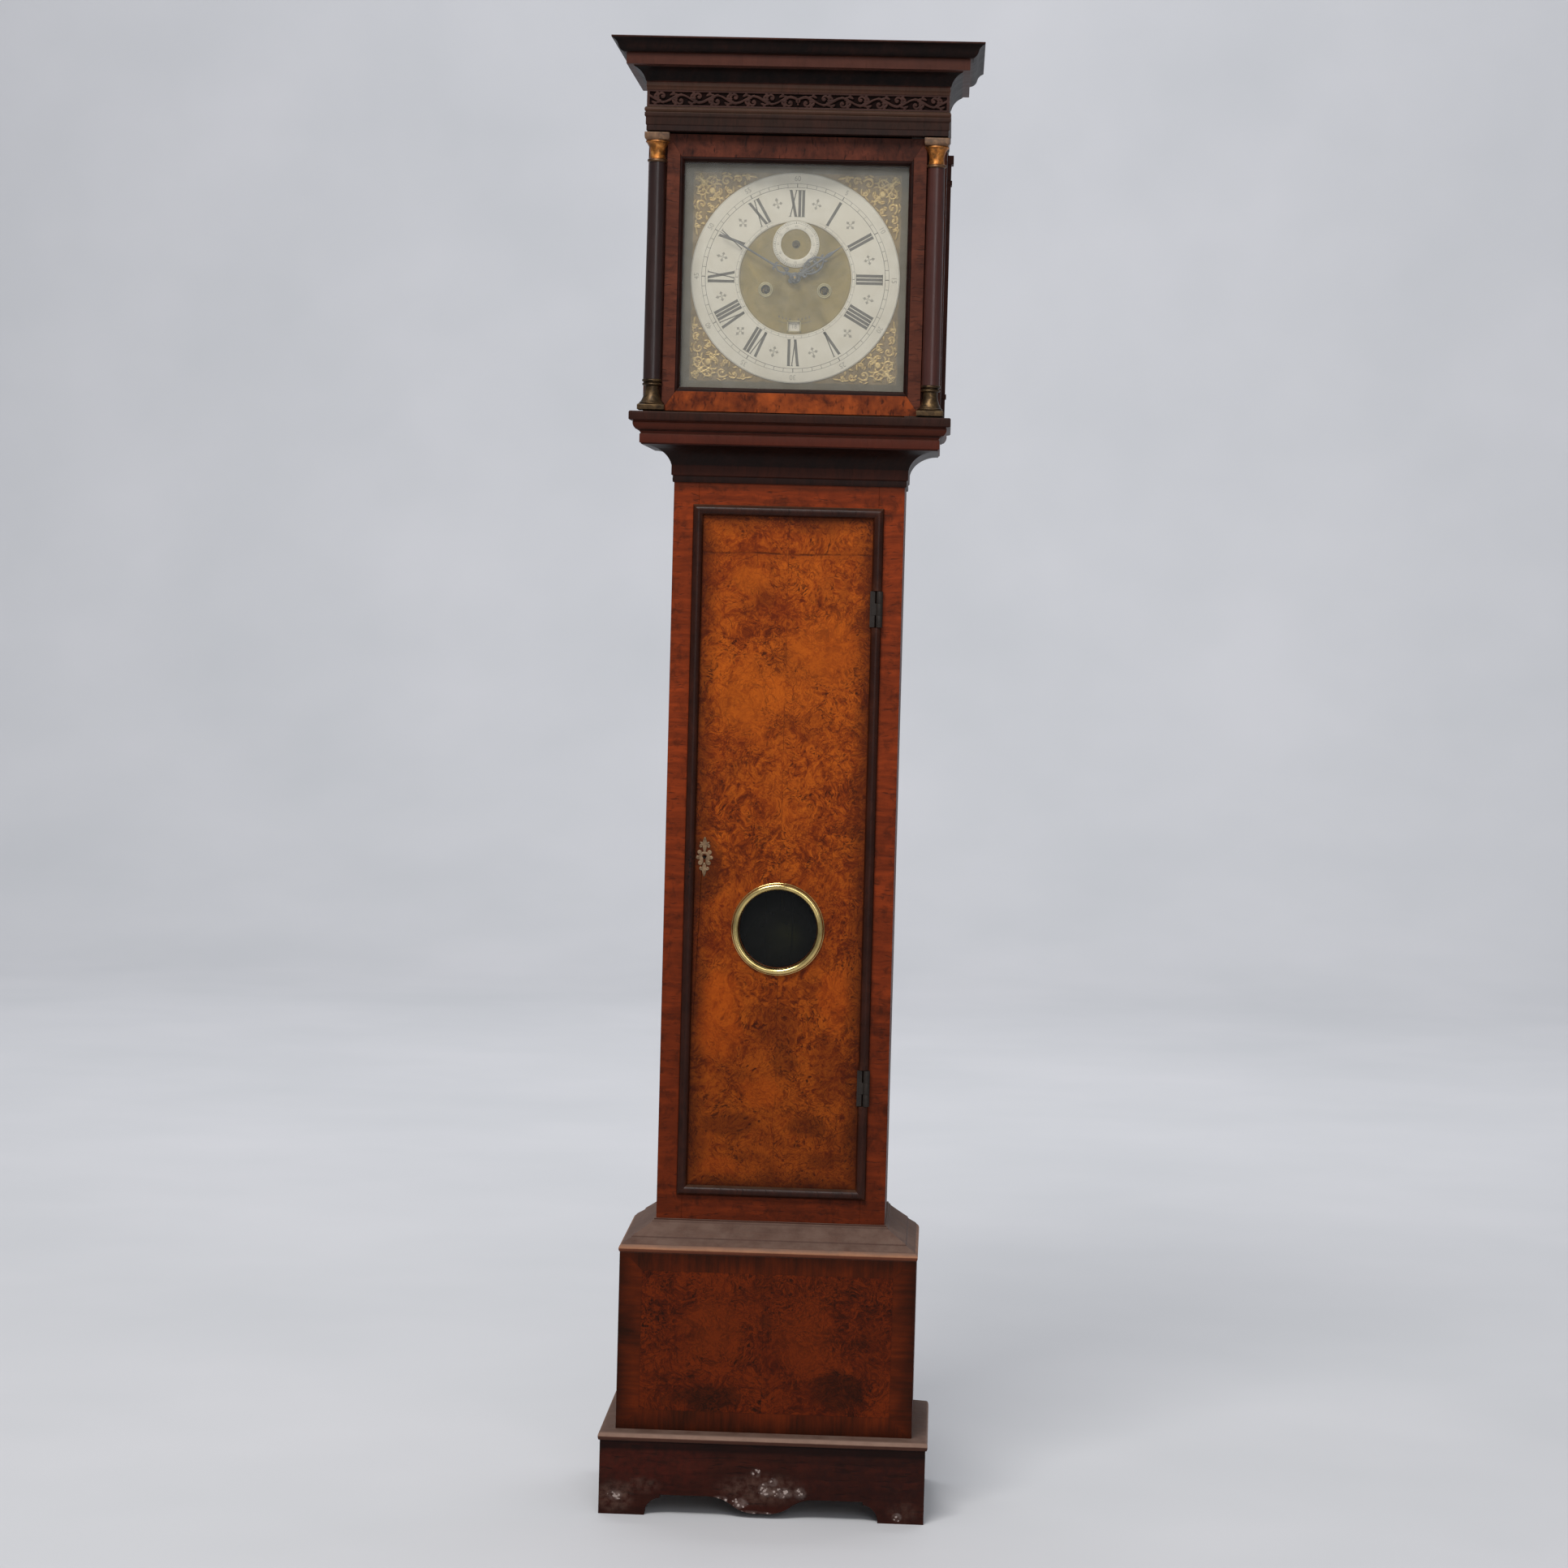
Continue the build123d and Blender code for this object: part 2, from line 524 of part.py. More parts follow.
# Architrave with its small torus, plain frieze board behind the fret, and head board.
EN_X, EN_Y = 184.0, -85.0
ARCH = ((0, Z_ARCH), (15, Z_ARCH), (15, 1847), (16, 1848), (16, 1857), (17.5, 1859), (17.5, 1863.5),
        (16, 1864), ((17.6, 1867.5), (16, 1871)), (16, Z_FRIEZE), (0, Z_FRIEZE))
FRIEZE = ((0, Z_FRIEZE + HAIR), (12, Z_FRIEZE + HAIR), (12, Z_CORNICE), (0, Z_CORNICE))
arch_front = mould_front(EN_X, EN_Y, *ARCH)
arch_side = mould_return(EN_X, EN_Y, 143, *ARCH)
frieze_front = mould_front(EN_X, EN_Y, *FRIEZE)
frieze_side = mould_return(EN_X, EN_Y, 143, *FRIEZE)
with BuildPart() as hood_entablature:
    add(arch_side)
    add(frieze_side)
    mirror(about=Plane.YZ)
    add(arch_front)
    add(frieze_front)
    with BuildSketch(Plane.XY.offset(Z_ARCH)):
        with Locations((0, (EN_Y - 46) / 2 + HAIR / 2)):
            Rectangle(2 * EN_X - 2 * HAIR, -46 - EN_Y - HAIR)
    extrude(amount=24)
    with Locations((PIVOT_X, PIVOT_Y, Z_ARCH)):
        Cylinder(2.57, 24, mode=Mode.SUBTRACT)
hood_entablature.part.label = "hood_entablature"
export_step(hood_entablature.part, "parts/hood_entablature.step")

# Pierced fret on the frieze, front and two sides.
with BuildPart() as frieze_fret:
    with BuildSketch(at_y(-97)):
        with Locations((0, (Z_FRIEZE + Z_CORNICE) / 2)):
            Rectangle(2 * 199, Z_CORNICE - Z_FRIEZE)
            with GridLocations(24.4, 1, 16, 1):
                SlotOverall(17, 7, rotation=25, mode=Mode.SUBTRACT)
    extrude(amount=3)
    with BuildSketch(Plane(origin=(196, 0, 0), x_dir=(0, 1, 0), z_dir=(1, 0, 0))):
        with Locations(((143 - 97 + HAIR) / 2, (Z_FRIEZE + Z_CORNICE) / 2)):
            Rectangle(143 + 97 - HAIR, Z_CORNICE - Z_FRIEZE)
            with GridLocations(24.4, 1, 9, 1):
                SlotOverall(17, 7, rotation=25, mode=Mode.SUBTRACT)
    extrude(amount=3)
    mirror(about=Plane.YZ)
frieze_fret.part.label = "frieze_fret"
export_step(frieze_fret.part, "parts/frieze_fret.step")

# Cornice: fillet, hollow bed mould, corona, cyma and top fillet.
CORNICE = ((0, Z_CORNICE), (15.5, Z_CORNICE), (15.5, 1903.5), (17, 1904.5), ((20.5, 1914), (31, 1921.5)),
           (32.5, 1923), (41, 1923), (41, 1937), (43, 1937.5), ((48.5, 1940.5), (51.5, 1946)),
           ((54, 1951), (58.5, 1954.5)), (60, 1955), (60, Z_TOP), (0, Z_TOP))
corn_front = mould_front(EN_X, EN_Y, *CORNICE)
corn_side = mould_return(EN_X, EN_Y, 143, *CORNICE)
with BuildPart() as cornice:
    add(corn_side)
    mirror(about=Plane.YZ)
    add(corn_front)
cornice.part.label = "cornice"
export_step(cornice.part, "parts/cornice.step")

with BuildPart() as hood_top_board:
    with BuildSketch(Plane.XY.offset(1945)):
        with Locations((0, (EN_Y + 143) / 2)):
            Rectangle(2 * EN_X, 143 - EN_Y)
    extrude(amount=10)
hood_top_board.part.label = "hood_top_board"
export_step(hood_top_board.part, "parts/hood_top_board.step")

# Hood door: stiles with a rebate behind the columns, rails between them.
with BuildPart() as hood_door_frame:
    with BuildSketch(Plane.XY.offset(HD_Z0)):
        with BuildLine():
            Polyline((SIGHT, HD_FRONT), (171.5, HD_FRONT), (171.5, -73), (197, -73), (197, HD_BACK),
                     (SIGHT + 6, HD_BACK), (SIGHT + 6, -72), (SIGHT, -72), close=True)
        make_face()
    extrude(amount=HD_Z1 - HD_Z0)
    mirror(about=Plane.YZ)
    with BuildSketch(Plane(origin=(-SIGHT + HAIR, 0, 0), x_dir=(0, 1, 0), z_dir=(1, 0, 0))):
        with BuildLine():
            Polyline((HD_FRONT, HD_Z0), (HD_BACK, HD_Z0), (HD_BACK, SIGHT_Z0 - 6), (-72, SIGHT_Z0 - 6),
                     (-72, SIGHT_Z0), (HD_FRONT, SIGHT_Z0), close=True)
        make_face()
        with BuildLine():
            Polyline((HD_FRONT, HD_Z1), (HD_BACK, HD_Z1), (HD_BACK, SIGHT_Z1 + 6), (-72, SIGHT_Z1 + 6),
                     (-72, SIGHT_Z1), (HD_FRONT, SIGHT_Z1), close=True)
        make_face()
    extrude(amount=2 * SIGHT - 2 * HAIR)
hood_door_frame.part.label = "hood_door_frame"
export_step(hood_door_frame.part, "parts/hood_door_frame.step")

with BuildPart() as hood_door_glass:
    with BuildSketch(at_y(-69.5)):
        with Locations((0, (SIGHT_Z0 + SIGHT_Z1) / 2)):
            Rectangle(2 * SIGHT + 11, SIGHT_Z1 - SIGHT_Z0 + 11)
    extrude(amount=2.5)
hood_door_glass.part.label = "hood_door_glass"
export_step(hood_door_glass.part, "parts/hood_door_glass.step")

# Slightly tapered columns.
COL_Z0, COL_Z1 = 1514.0, 1800.0
with BuildPart() as hood_columns:
    with BuildSketch(Plane(origin=(COL_X, COL_Y, 0), x_dir=(1, 0, 0), z_dir=(0, -1, 0))):
        with BuildLine():
            Line((0, COL_Z0), (COL_R, COL_Z0))
            ThreePointArc((COL_R, COL_Z0), (COL_R - 0.2, 1650), (COL_R - 1.2, COL_Z1))
            Line((COL_R - 1.2, COL_Z1), (0, COL_Z1))
            Line((0, COL_Z1), (0, COL_Z0))
        make_face()
    revolve(axis=Axis((COL_X, COL_Y, 0), (0, 0, 1)))
    mirror(about=Plane.YZ)
hood_columns.part.label = "hood_columns"
export_step(hood_columns.part, "parts/hood_columns.step")

# Brass caps and bases of the columns, notched round the door stile.
with BuildPart() as column_mounts:
    with BuildSketch(Plane(origin=(COL_X, COL_Y, 0), x_dir=(1, 0, 0), z_dir=(0, -1, 0))):
        with BuildLine():
            Line((0, 1480), (17, 1480))
            Line((17, 1480), (17, 1482.5))
            ThreePointArc((17, 1482.5), (10.8, 1492), (9.5, 1505))
            Line((9.5, 1505), (9.5, 1507.5))
            Line((9.5, 1507.5), (12.1, 1507.5))
            ThreePointArc((12.1, 1507.5), (12.85, 1510.7), (12.1, COL_Z0))
            Line((12.1, COL_Z0), (0, COL_Z0))
            Line((0, COL_Z0), (0, 1480))
        make_face()
        with BuildLine():
            Line((0, COL_Z1), (12, COL_Z1))
            ThreePointArc((12, COL_Z1), (12.85, 1803), (12, 1806))
            Line((12, 1806), (10, 1806.5))
            ThreePointArc((10, 1806.5), (10.8, 1818), (15, 1828))
            Line((15, 1828), (0, 1828))
            Line((0, 1828), (0, COL_Z1))
        make_face()
    revolve(axis=Axis((COL_X, COL_Y, 0), (0, 0, 1)))
    with Locations((COL_X, COL_Y, (HD_Z0 + 1480.5) / 2)):
        Box(36, 36, 1480.5 - HD_Z0)
    with Locations((COL_X, COL_Y, (1827.5 + HD_Z1) / 2)):
        Box(33, 33, HD_Z1 - 1827.5)
    with Locations((150 + 10.8, -50, 1655)):
        Box(21.6, 68.2, 400, mode=Mode.SUBTRACT)
    with Locations((190, -48.1, 1655)):
        Box(60, 50, 400, mode=Mode.SUBTRACT)
    mirror(about=Plane.YZ)
column_mounts.part.label = "column_mounts"
export_step(column_mounts.part, "parts/column_mounts.step")

# Brass pivot plates under and over the door, each with a pin.
with BuildPart() as hood_door_hinges:
    with BuildSketch(Plane.XY.offset(1471.5)):
        with Locations((176, -75)):
            Rectangle(50, 20)
    extrude(amount=2)
    with Locations((PIVOT_X, PIVOT_Y, 1466)):
        Cylinder(2.5, 11)
    with BuildSketch(Plane.XY.offset(1838)):
        with Locations((176, -75)):
            Rectangle(50, 20)
    extrude(amount=1.5)
    with Locations((PIVOT_X, PIVOT_Y, 1844.5)):
        Cylinder(2.5, 12)
hood_door_hinges.part.label = "hood_door_hinges"
export_step(hood_door_hinges.part, "parts/hood_door_hinges.step")

# ================================================================ dial
with BuildPart() as dial_plate:
    with BuildSketch(at_y(DIAL_FRONT + DIAL_T)):
        with Locations((0, DIAL_Z)):
            Rectangle(2 * DIAL_HALF, 2 * DIAL_HALF)
            Circle(4.6, mode=Mode.SUBTRACT)
        with Locations((WIND_X, WIND_Z), (-WIND_X, WIND_Z)):
            Circle(6, mode=Mode.SUBTRACT)
        with Locations((0, SEC_Z)):
            Circle(3.4, mode=Mode.SUBTRACT)
        with Locations((0, DIAL_Z - 64)):
            Rectangle(15, 12, mode=Mode.SUBTRACT)
    extrude(amount=DIAL_T)
    with BuildSketch(at_y(FP0)):                         # four dial feet
        with Locations((60, DIAL_Z + 62), (-60, DIAL_Z + 62), (60, DIAL_Z - 62), (-60, DIAL_Z - 62)):
            Circle(3.2)
    extrude(amount=FP0 - DIAL_FRONT - DIAL_T)
dial_plate.part.label = "dial_plate"
export_step(dial_plate.part, "parts/dial_plate.step")

SEC_OUT, SEC_IN = 31.0, 20.2
with BuildPart() as chapter_ring:
    with BuildSketch(at_y(DIAL_FRONT)):
        with Locations((0, DIAL_Z)):
            Circle(RING_OUT)
            Circle(RING_IN, mode=Mode.SUBTRACT)
        with Locations((0, SEC_Z)):
            Circle(SEC_OUT + 0.3, mode=Mode.SUBTRACT)
    extrude(amount=1.6)
chapter_ring.part.label = "chapter_ring"
export_step(chapter_ring.part, "parts/chapter_ring.step")

with BuildPart() as seconds_ring:
    with BuildSketch(at_y(DIAL_FRONT)):
        with Locations((0, SEC_Z)):
            Circle(SEC_OUT)
            Circle(SEC_IN, mode=Mode.SUBTRACT)
    extrude(amount=1.6)
seconds_ring.part.label = "seconds_ring"
export_step(seconds_ring.part, "parts/seconds_ring.step")

# Corner ornaments of the dial.
with BuildPart() as spandrels:
    with BuildSketch(at_y(DIAL_FRONT)):
        with Locations((96, DIAL_Z + 96)):
            Rectangle(84, 84)
        with Locations((0, DIAL_Z)):
            Circle(RING_OUT + 2, mode=Mode.SUBTRACT)
        with Locations((DIAL_HALF - 24, DIAL_Z + DIAL_HALF - 24), (DIAL_HALF - 24, DIAL_Z + DIAL_HALF - 48),
                       (DIAL_HALF - 48, DIAL_Z + DIAL_HALF - 24)):
            Circle(3.5, mode=Mode.SUBTRACT)
    extrude(amount=2.2)
    mirror(about=Plane.YZ)
    mirror(about=Plane.XY.offset(DIAL_Z))
spandrels.part.label = "spandrels"
export_step(spandrels.part, "parts/spandrels.step")

with BuildPart() as date_ring:
    with BuildSketch(at_y(-37.4)):
        with Locations((0, DIAL_Z)):
            Circle(73)
            Circle(56, mode=Mode.SUBTRACT)
    extrude(amount=1)
date_ring.part.label = "date_ring"
export_step(date_ring.part, "parts/date_ring.step")

# ================================================================ movement frame
PIVOT_R, HOLE_R = 1.5, 1.57
with BuildPart() as front_plate:
    with BuildSketch(at_y(FP1)):
        with Locations((0, (PLATE_Z0 + PLATE_Z1) / 2)):
            Rectangle(2 * PLATE_HW, PLATE_Z1 - PLATE_Z0)
        with Locations(CENTRE, ESCAPE, THIRD, PIN_ARBOR, HAMMER, (0, ANCHOR_Z)):
            Circle(HOLE_R, mode=Mode.SUBTRACT)
        with Locations(GOING, STRIKE):
            Circle(3.07, mode=Mode.SUBTRACT)
    extrude(amount=FP1 - FP0)
    with BuildSketch(at_y(FP0)):                         # stud for the minute wheel
        with Locations(MIN_POST):
            Circle(1.5)
    extrude(amount=12.5)
front_plate.part.label = "front_plate"
export_step(front_plate.part, "parts/front_plate.step")

with BuildPart() as back_plate:
    with BuildSketch(at_y(BP1)):
        with Locations((0, (PLATE_Z0 + PLATE_Z1) / 2)):
            Rectangle(2 * PLATE_HW, PLATE_Z1 - PLATE_Z0)
        with Locations(CENTRE, ESCAPE, THIRD, PIN_ARBOR, HAMMER):
            Circle(HOLE_R, mode=Mode.SUBTRACT)
        with Locations(GOING, STRIKE):
            Circle(2.07, mode=Mode.SUBTRACT)
        with Locations((0, ANCHOR_Z)):
            Circle(6, mode=Mode.SUBTRACT)
    extrude(amount=BP1 - BP0)
back_plate.part.label = "back_plate"
export_step(back_plate.part, "parts/back_plate.step")

with BuildPart() as movement_pillars:
    for x, z in ((52, 1592), (-52, 1592), (0, 1592), (36, 1757), (-36, 1757)):
        with BuildSketch(Plane(origin=(x, 0, z), x_dir=(1, 0, 0), z_dir=(0, 0, 1))):
            with BuildLine():
                Polyline((0, FP1), (5, FP1), (5, FP1 + 2), (3, FP1 + 6), (3, 16), (5.5, 20), (5.5, 23), (3, 27),
                         (3, BP0 - 6), (5, BP0 - 2), (5, BP0), (0, BP0), close=True)
            make_face()
        revolve(axis=Axis((x, 0, z), (0, 1, 0)))
movement_pillars.part.label = "movement_pillars"
export_step(movement_pillars.part, "parts/movement_pillars.step")

# Back cock: bridge for the rear pivot of the pallet arbor, with the suspension post.
with BuildPart() as back_cock:
    with Locations((0, 64, ANCHOR_Z)):
        Box(60, 4, 14)
    with Locations((27, 57.5, ANCHOR_Z), (-27, 57.5, ANCHOR_Z)):
        Box(6, 9, 14)
    with Locations((0, 72, ANCHOR_Z + 6)):
        Box(14, 12, 8)
    with Locations((0, 62, ANCHOR_Z)):
        Cylinder(HOLE_R, 20, rotation=(90, 0, 0), mode=Mode.SUBTRACT)
back_cock.part.label = "back_cock"
export_step(back_cock.part, "parts/back_cock.step")

BELL_X, BELL_Y, BELL_Z, BELL_R = 0.0, 22.0, 1772.0, 46.0
with BuildPart() as bell:
    with BuildSketch(Plane(origin=(BELL_X, BELL_Y, BELL_Z), x_dir=(1, 0, 0), z_dir=(0, -1, 0))):
        with BuildLine():
            Line((BELL_R, 0), (BELL_R - 3, 0))
            ThreePointArc((BELL_R - 3, 0), (34, 20), (8, 28))
            Line((8, 28), (2.3, 28))
            Line((2.3, 28), (2.3, 31))
            Line((2.3, 31), (9, 31))
            ThreePointArc((9, 31), (36.5, 22), (BELL_R, 0))
        make_face()
    revolve(axis=Axis((BELL_X, BELL_Y, 0), (0, 0, 1)))
    with Locations((-48, 54.6, 1765)):
        Box(9, 3.2, 92)
    with BuildSketch(Plane.XY.offset(1808)):
        with BuildLine():
            Polyline((-52.5, 53), (-52.5, 56.2), (-43.5, 56.2), (5, 25), (5, 18), (-2, 17), (-50, 48), close=True)
        make_face()
    extrude(amount=3)
    with Locations((BELL_X, BELL_Y, 1803)):
        Cylinder(2.1, 13)
    with Locations((BELL_X, BELL_Y, 1805.5)):
        Cylinder(5, 5)
    with Locations((BELL_X, BELL_Y, 1798)):
        Cylinder(4.5, 4)
bell.part.label = "bell"
export_step(bell.part, "parts/bell.step")

# ================================================================ wheels
def spokes(rim, hub, width=3.2):
    """Cross the wheel out: clear the web inside the rim, put back four arms and a hub."""
    Circle(rim, mode=Mode.SUBTRACT)
    Rectangle(2 * rim + 1, width)
    Rectangle(width, 2 * rim + 1)
    Circle(hub)


# Great wheels run free on the barrel arbors and carry the click.
with BuildPart() as going_great_wheel:
    with BuildSketch(at_y(41.5)):
        with BuildLine():
            Polyline(*[(GOING[0] + x, GOING[1] + z) for x, z in toothed(96, M_GREAT, toward(GOING, CENTRE))], close=True)
        make_face()
        with Locations(GOING):
            Circle(3.07, mode=Mode.SUBTRACT)
    extrude(amount=2.5)
    with BuildSketch(at_y(39)):
        with Locations((GOING[0] + 21, GOING[1])):
            Rectangle(4, 12)
    extrude(amount=2)
going_great_wheel.part.label = "going_great_wheel"
export_step(going_great_wheel.part, "parts/going_great_wheel.step")

with BuildPart() as strike_great_wheel:
    with BuildSketch(at_y(5.5)):
        with BuildLine():
            Polyline(*[(STRIKE[0] + x, STRIKE[1] + z) for x, z in toothed(96, M_GREAT, toward(STRIKE, PIN_ARBOR))], close=True)
        make_face()
        with Locations(STRIKE):
            Circle(3.07, mode=Mode.SUBTRACT)
    extrude(amount=2.5)
    with BuildSketch(at_y(7.5)):
        with Locations((STRIKE[0] - 21, STRIKE[1])):
            Rectangle(4, 12)
    extrude(amount=2)
strike_great_wheel.part.label = "strike_great_wheel"
export_step(strike_great_wheel.part, "parts/strike_great_wheel.step")


def ratchet(n, tip, root, centre):
    points = []
    for k in range(n):
        a, b = radians(k * 360 / n), radians((k + 0.92) * 360 / n)
        points.append((centre[0] + tip * cos(a), centre[1] + tip * sin(a)))
        points.append((centre[0] + root * cos(b), centre[1] + root * sin(b)))
    return points


# Barrels: drum with flanges, ratchet, arbor with rear pivot and winding square.
with BuildPart() as going_barrel:
    for y0, y1, r in ((-30, 50, 3.0), (8, 36, BARREL_R), (8, 9.5, 23.2), (34.5, 36, 23.2), (50, 53, 2.0)):
        with BuildSketch(at_y(y1)):
            with Locations(GOING):
                Circle(r)
        extrude(amount=y1 - y0)
    with BuildSketch(at_y(37.8)):
        with BuildLine():
            Polyline(*ratchet(28, 17.5, 15.5, GOING), close=True)
        make_face()
    extrude(amount=1.8)
    with BuildSketch(at_y(-30)):
        with Locations(GOING):
            Rectangle(4.4, 4.4)
    extrude(amount=13)
going_barrel.part.label = "going_barrel"
export_step(going_barrel.part, "parts/going_barrel.step")

with BuildPart() as strike_barrel:
    for y0, y1, r in ((-30, 50, 3.0), (9, 36, BARREL_R), (9, 10.5, 23.2), (34.5, 36, 23.2), (50, 53, 2.0)):
        with BuildSketch(at_y(y1)):
            with Locations(STRIKE):
                Circle(r)
        extrude(amount=y1 - y0)
    with BuildSketch(at_y(9)):
        with BuildLine():
            Polyline(*ratchet(28, 17.5, 15.5, STRIKE), close=True)
        make_face()
    extrude(amount=1.8)
    with BuildSketch(at_y(-30)):
        with Locations(STRIKE):
            Rectangle(4.4, 4.4)
    extrude(amount=13)
strike_barrel.part.label = "strike_barrel"
export_step(strike_barrel.part, "parts/strike_barrel.step")

# Centre wheel, its pinion driven by the going great wheel.
with BuildPart() as centre_wheel:
    with BuildSketch(at_y(-1)):
        with BuildLine():
            Polyline(*[(CENTRE[0] + x, CENTRE[1] + z) for x, z in toothed(60, 0.75, toward(CENTRE, THIRD))], close=True)
        make_face()
        with Locations(CENTRE):
            spokes(18.6, 6)
    extrude(amount=2)
    for y0, y1, r in ((-7, 49.8, 2.0), (49.8, 53, PIVOT_R), (-57, -7, PIVOT_R)):
        with BuildSketch(at_y(y1)):
            with Locations(CENTRE):
                Circle(r)
        extrude(amount=y1 - y0)
    with BuildSketch(at_y(43)):
        with BuildLine():
            Polyline(*[(CENTRE[0] + x, CENTRE[1] + z)
                       for x, z in toothed(8, M_GREAT, toward(CENTRE, GOING) + 22.5, 0.6, 1.25, 0.30)], close=True)
        make_face()
    extrude(amount=6)
centre_wheel.part.label = "centre_wheel"
export_step(centre_wheel.part, "parts/centre_wheel.step")

with BuildPart() as third_wheel:
    with BuildSketch(at_y(32)):
        with BuildLine():
            Polyline(*[(THIRD[0] + x, THIRD[1] + z) for x, z in toothed(56, 0.75, toward(THIRD, ESCAPE))], close=True)
        make_face()
        with Locations(THIRD):
            spokes(17.2, 5.5)
    extrude(amount=2)
    for y0, y1, r in ((-7, 49.8, 1.7), (49.8, 53, PIVOT_R), (-10, -7, PIVOT_R)):
        with BuildSketch(at_y(y1)):
            with Locations(THIRD):
                Circle(r)
        extrude(amount=y1 - y0)
    with BuildSketch(at_y(1)):
        with BuildLine():
            Polyline(*[(THIRD[0] + x, THIRD[1] + z)
                       for x, z in toothed(8, 0.75, toward(THIRD, CENTRE) + 22.5, 0.6, 1.15, 0.30)], close=True)
        make_face()
    extrude(amount=5.5)
third_wheel.part.label = "third_wheel"
export_step(third_wheel.part, "parts/third_wheel.step")

# Escape wheel with pointed teeth; its arbor reaches through the dial to a small boss.
ESC_TIP, ESC_ROOT = 21.0, 17.6
with BuildPart() as escape_wheel:
    with BuildSketch(at_y(44)):
        with BuildLine():
            esc = []
            for k in range(30):
                mid = 96 + k * 12
                for r, da in ((ESC_ROOT, -3.4), (ESC_TIP, -0.7), (ESC_TIP, 0.5), (ESC_ROOT, 2.0)):
                    esc.append((ESCAPE[0] + r * cos(radians(mid + da)), ESCAPE[1] + r * sin(radians(mid + da))))
            Polyline(*esc, close=True)
        make_face()
        with Locations(ESCAPE):
            spokes(15.2, 5)
    extrude(amount=2)
    for y0, y1, r in ((-7, 49.8, 1.7), (49.8, 53, PIVOT_R), (-44, -7, PIVOT_R), (-46.5, -43.8, 2.6)):
        with BuildSketch(at_y(y1)):
            with Locations(ESCAPE):
                Circle(r)
        extrude(amount=y1 - y0)
    with BuildSketch(at_y(34)):
        with BuildLine():
            Polyline(*[(ESCAPE[0] + x, ESCAPE[1] + z)
                       for x, z in toothed(7, 0.75, toward(ESCAPE, THIRD) + 180 / 7, 0.6, 1.0, 0.30)], close=True)
        make_face()
    extrude(amount=6)
escape_wheel.part.label = "escape_wheel"
export_step(escape_wheel.part, "parts/escape_wheel.step")

# Pin wheel of the striking train with eight lifting pins.
with BuildPart() as pin_wheel:
    with BuildSketch(at_y(14.5)):
        with BuildLine():
            Polyline(*[(PIN_ARBOR[0] + x, PIN_ARBOR[1] + z) for x, z in toothed(48, 0.75, 0)], close=True)
        make_face()
        with Locations(PIN_ARBOR):
            spokes(12.6, 5)
    extrude(amount=2.5)
    with BuildSketch(at_y(19)):
        with Locations(PIN_ARBOR):
            with PolarLocations(14.6, 8, start_angle=22.5):
                Circle(0.9)
    extrude(amount=5)
    for y0, y1, r in ((-7, 49.8, 1.7), (49.8, 53, PIVOT_R), (-10, -7, PIVOT_R)):
        with BuildSketch(at_y(y1)):
            with Locations(PIN_ARBOR):
                Circle(r)
        extrude(amount=y1 - y0)
    with BuildSketch(at_y(7)):
        with BuildLine():
            Polyline(*[(PIN_ARBOR[0] + x, PIN_ARBOR[1] + z)
                       for x, z in toothed(8, M_GREAT, toward(PIN_ARBOR, STRIKE) + 22.5, 0.6, 1.25, 0.30)], close=True)
        make_face()
    extrude(amount=5.5)
pin_wheel.part.label = "pin_wheel"
export_step(pin_wheel.part, "parts/pin_wheel.step")

# Hammer: arbor, arm up beside the bell, head, and a tail towards the lifting pins.
with BuildPart() as hammer:
    for y0, y1, r in ((-7, 49.8, 2.0), (49.8, 53, PIVOT_R), (-10, -7, PIVOT_R)):
        with BuildSketch(at_y(y1)):
            with Locations(HAMMER):
                Circle(r)
        extrude(amount=y1 - y0)
    with BuildSketch(at_y(24)):
        with BuildLine():
            Polyline((-58, 1712), (-54, 1712), (-54, 1781), (-58, 1781), close=True)
        make_face()
        with BuildLine():
            Polyline((-57.2, 1710), (-53.5, 1712), (-46, 1700), (-48.5, 1698), close=True)
        make_face()
    extrude(amount=4)
    with Locations((-55.5, LINE_Y, 1778)):
        Cylinder(5, 13, rotation=(0, 90, 0))
hammer.part.label = "hammer"
export_step(hammer.part, "parts/hammer.step")

# ================================================================ hands and motion work
def clock_dir(angle):
    """Unit vector in the dial plane for an angle clockwise from twelve."""
    return sin(radians(angle)), cos(radians(angle))


MINUTE_ANGLE, HOUR_ANGLE = 300.0, 55.0


def hand_outline(angle, rows):
    """Outline of a hand: rows of (distance along, half width), mirrored about its axis."""
    dx, dz = clock_dir(angle)
    left = [(s * dx - w * dz, DIAL_Z + s * dz + w * dx) for s, w in rows]
    right = [(s * dx + w * dz, DIAL_Z + s * dz - w * dx) for s, w in reversed(rows)]
    return left + right


with BuildPart() as minute_hand:
    with BuildSketch(at_y(-53.6)):
        with BuildLine():
            Polyline(*hand_outline(MINUTE_ANGLE, [(-7, 2.5), (0, 6.5), (7, 4.5), (11, 2), (16, 4.2), (24, 4.4), (30, 1.6),
                                                  (60, 1.3), (110, 0.9), (118, 0.35)]), close=True)
        make_face()
    extrude(amount=1.4)
    with BuildSketch(at_y(-12)):                         # pipe on the centre arbor
        with Locations(CENTRE):
            Circle(2.6)
    extrude(amount=45)
    with BuildSketch(at_y(-12)):                         # cannon wheel
        with BuildLine():
            Polyline(*[(CENTRE[0] + x, CENTRE[1] + z) for x, z in toothed(30, 0.64, toward(CENTRE, MIN_POST))], close=True)
        make_face()
    extrude(amount=2)
    with BuildSketch(at_y(-10)):
        with Locations(CENTRE):
            Circle(1.57)
    extrude(amount=60, mode=Mode.SUBTRACT)
minute_hand.part.label = "minute_hand"
export_step(minute_hand.part, "parts/minute_hand.step")

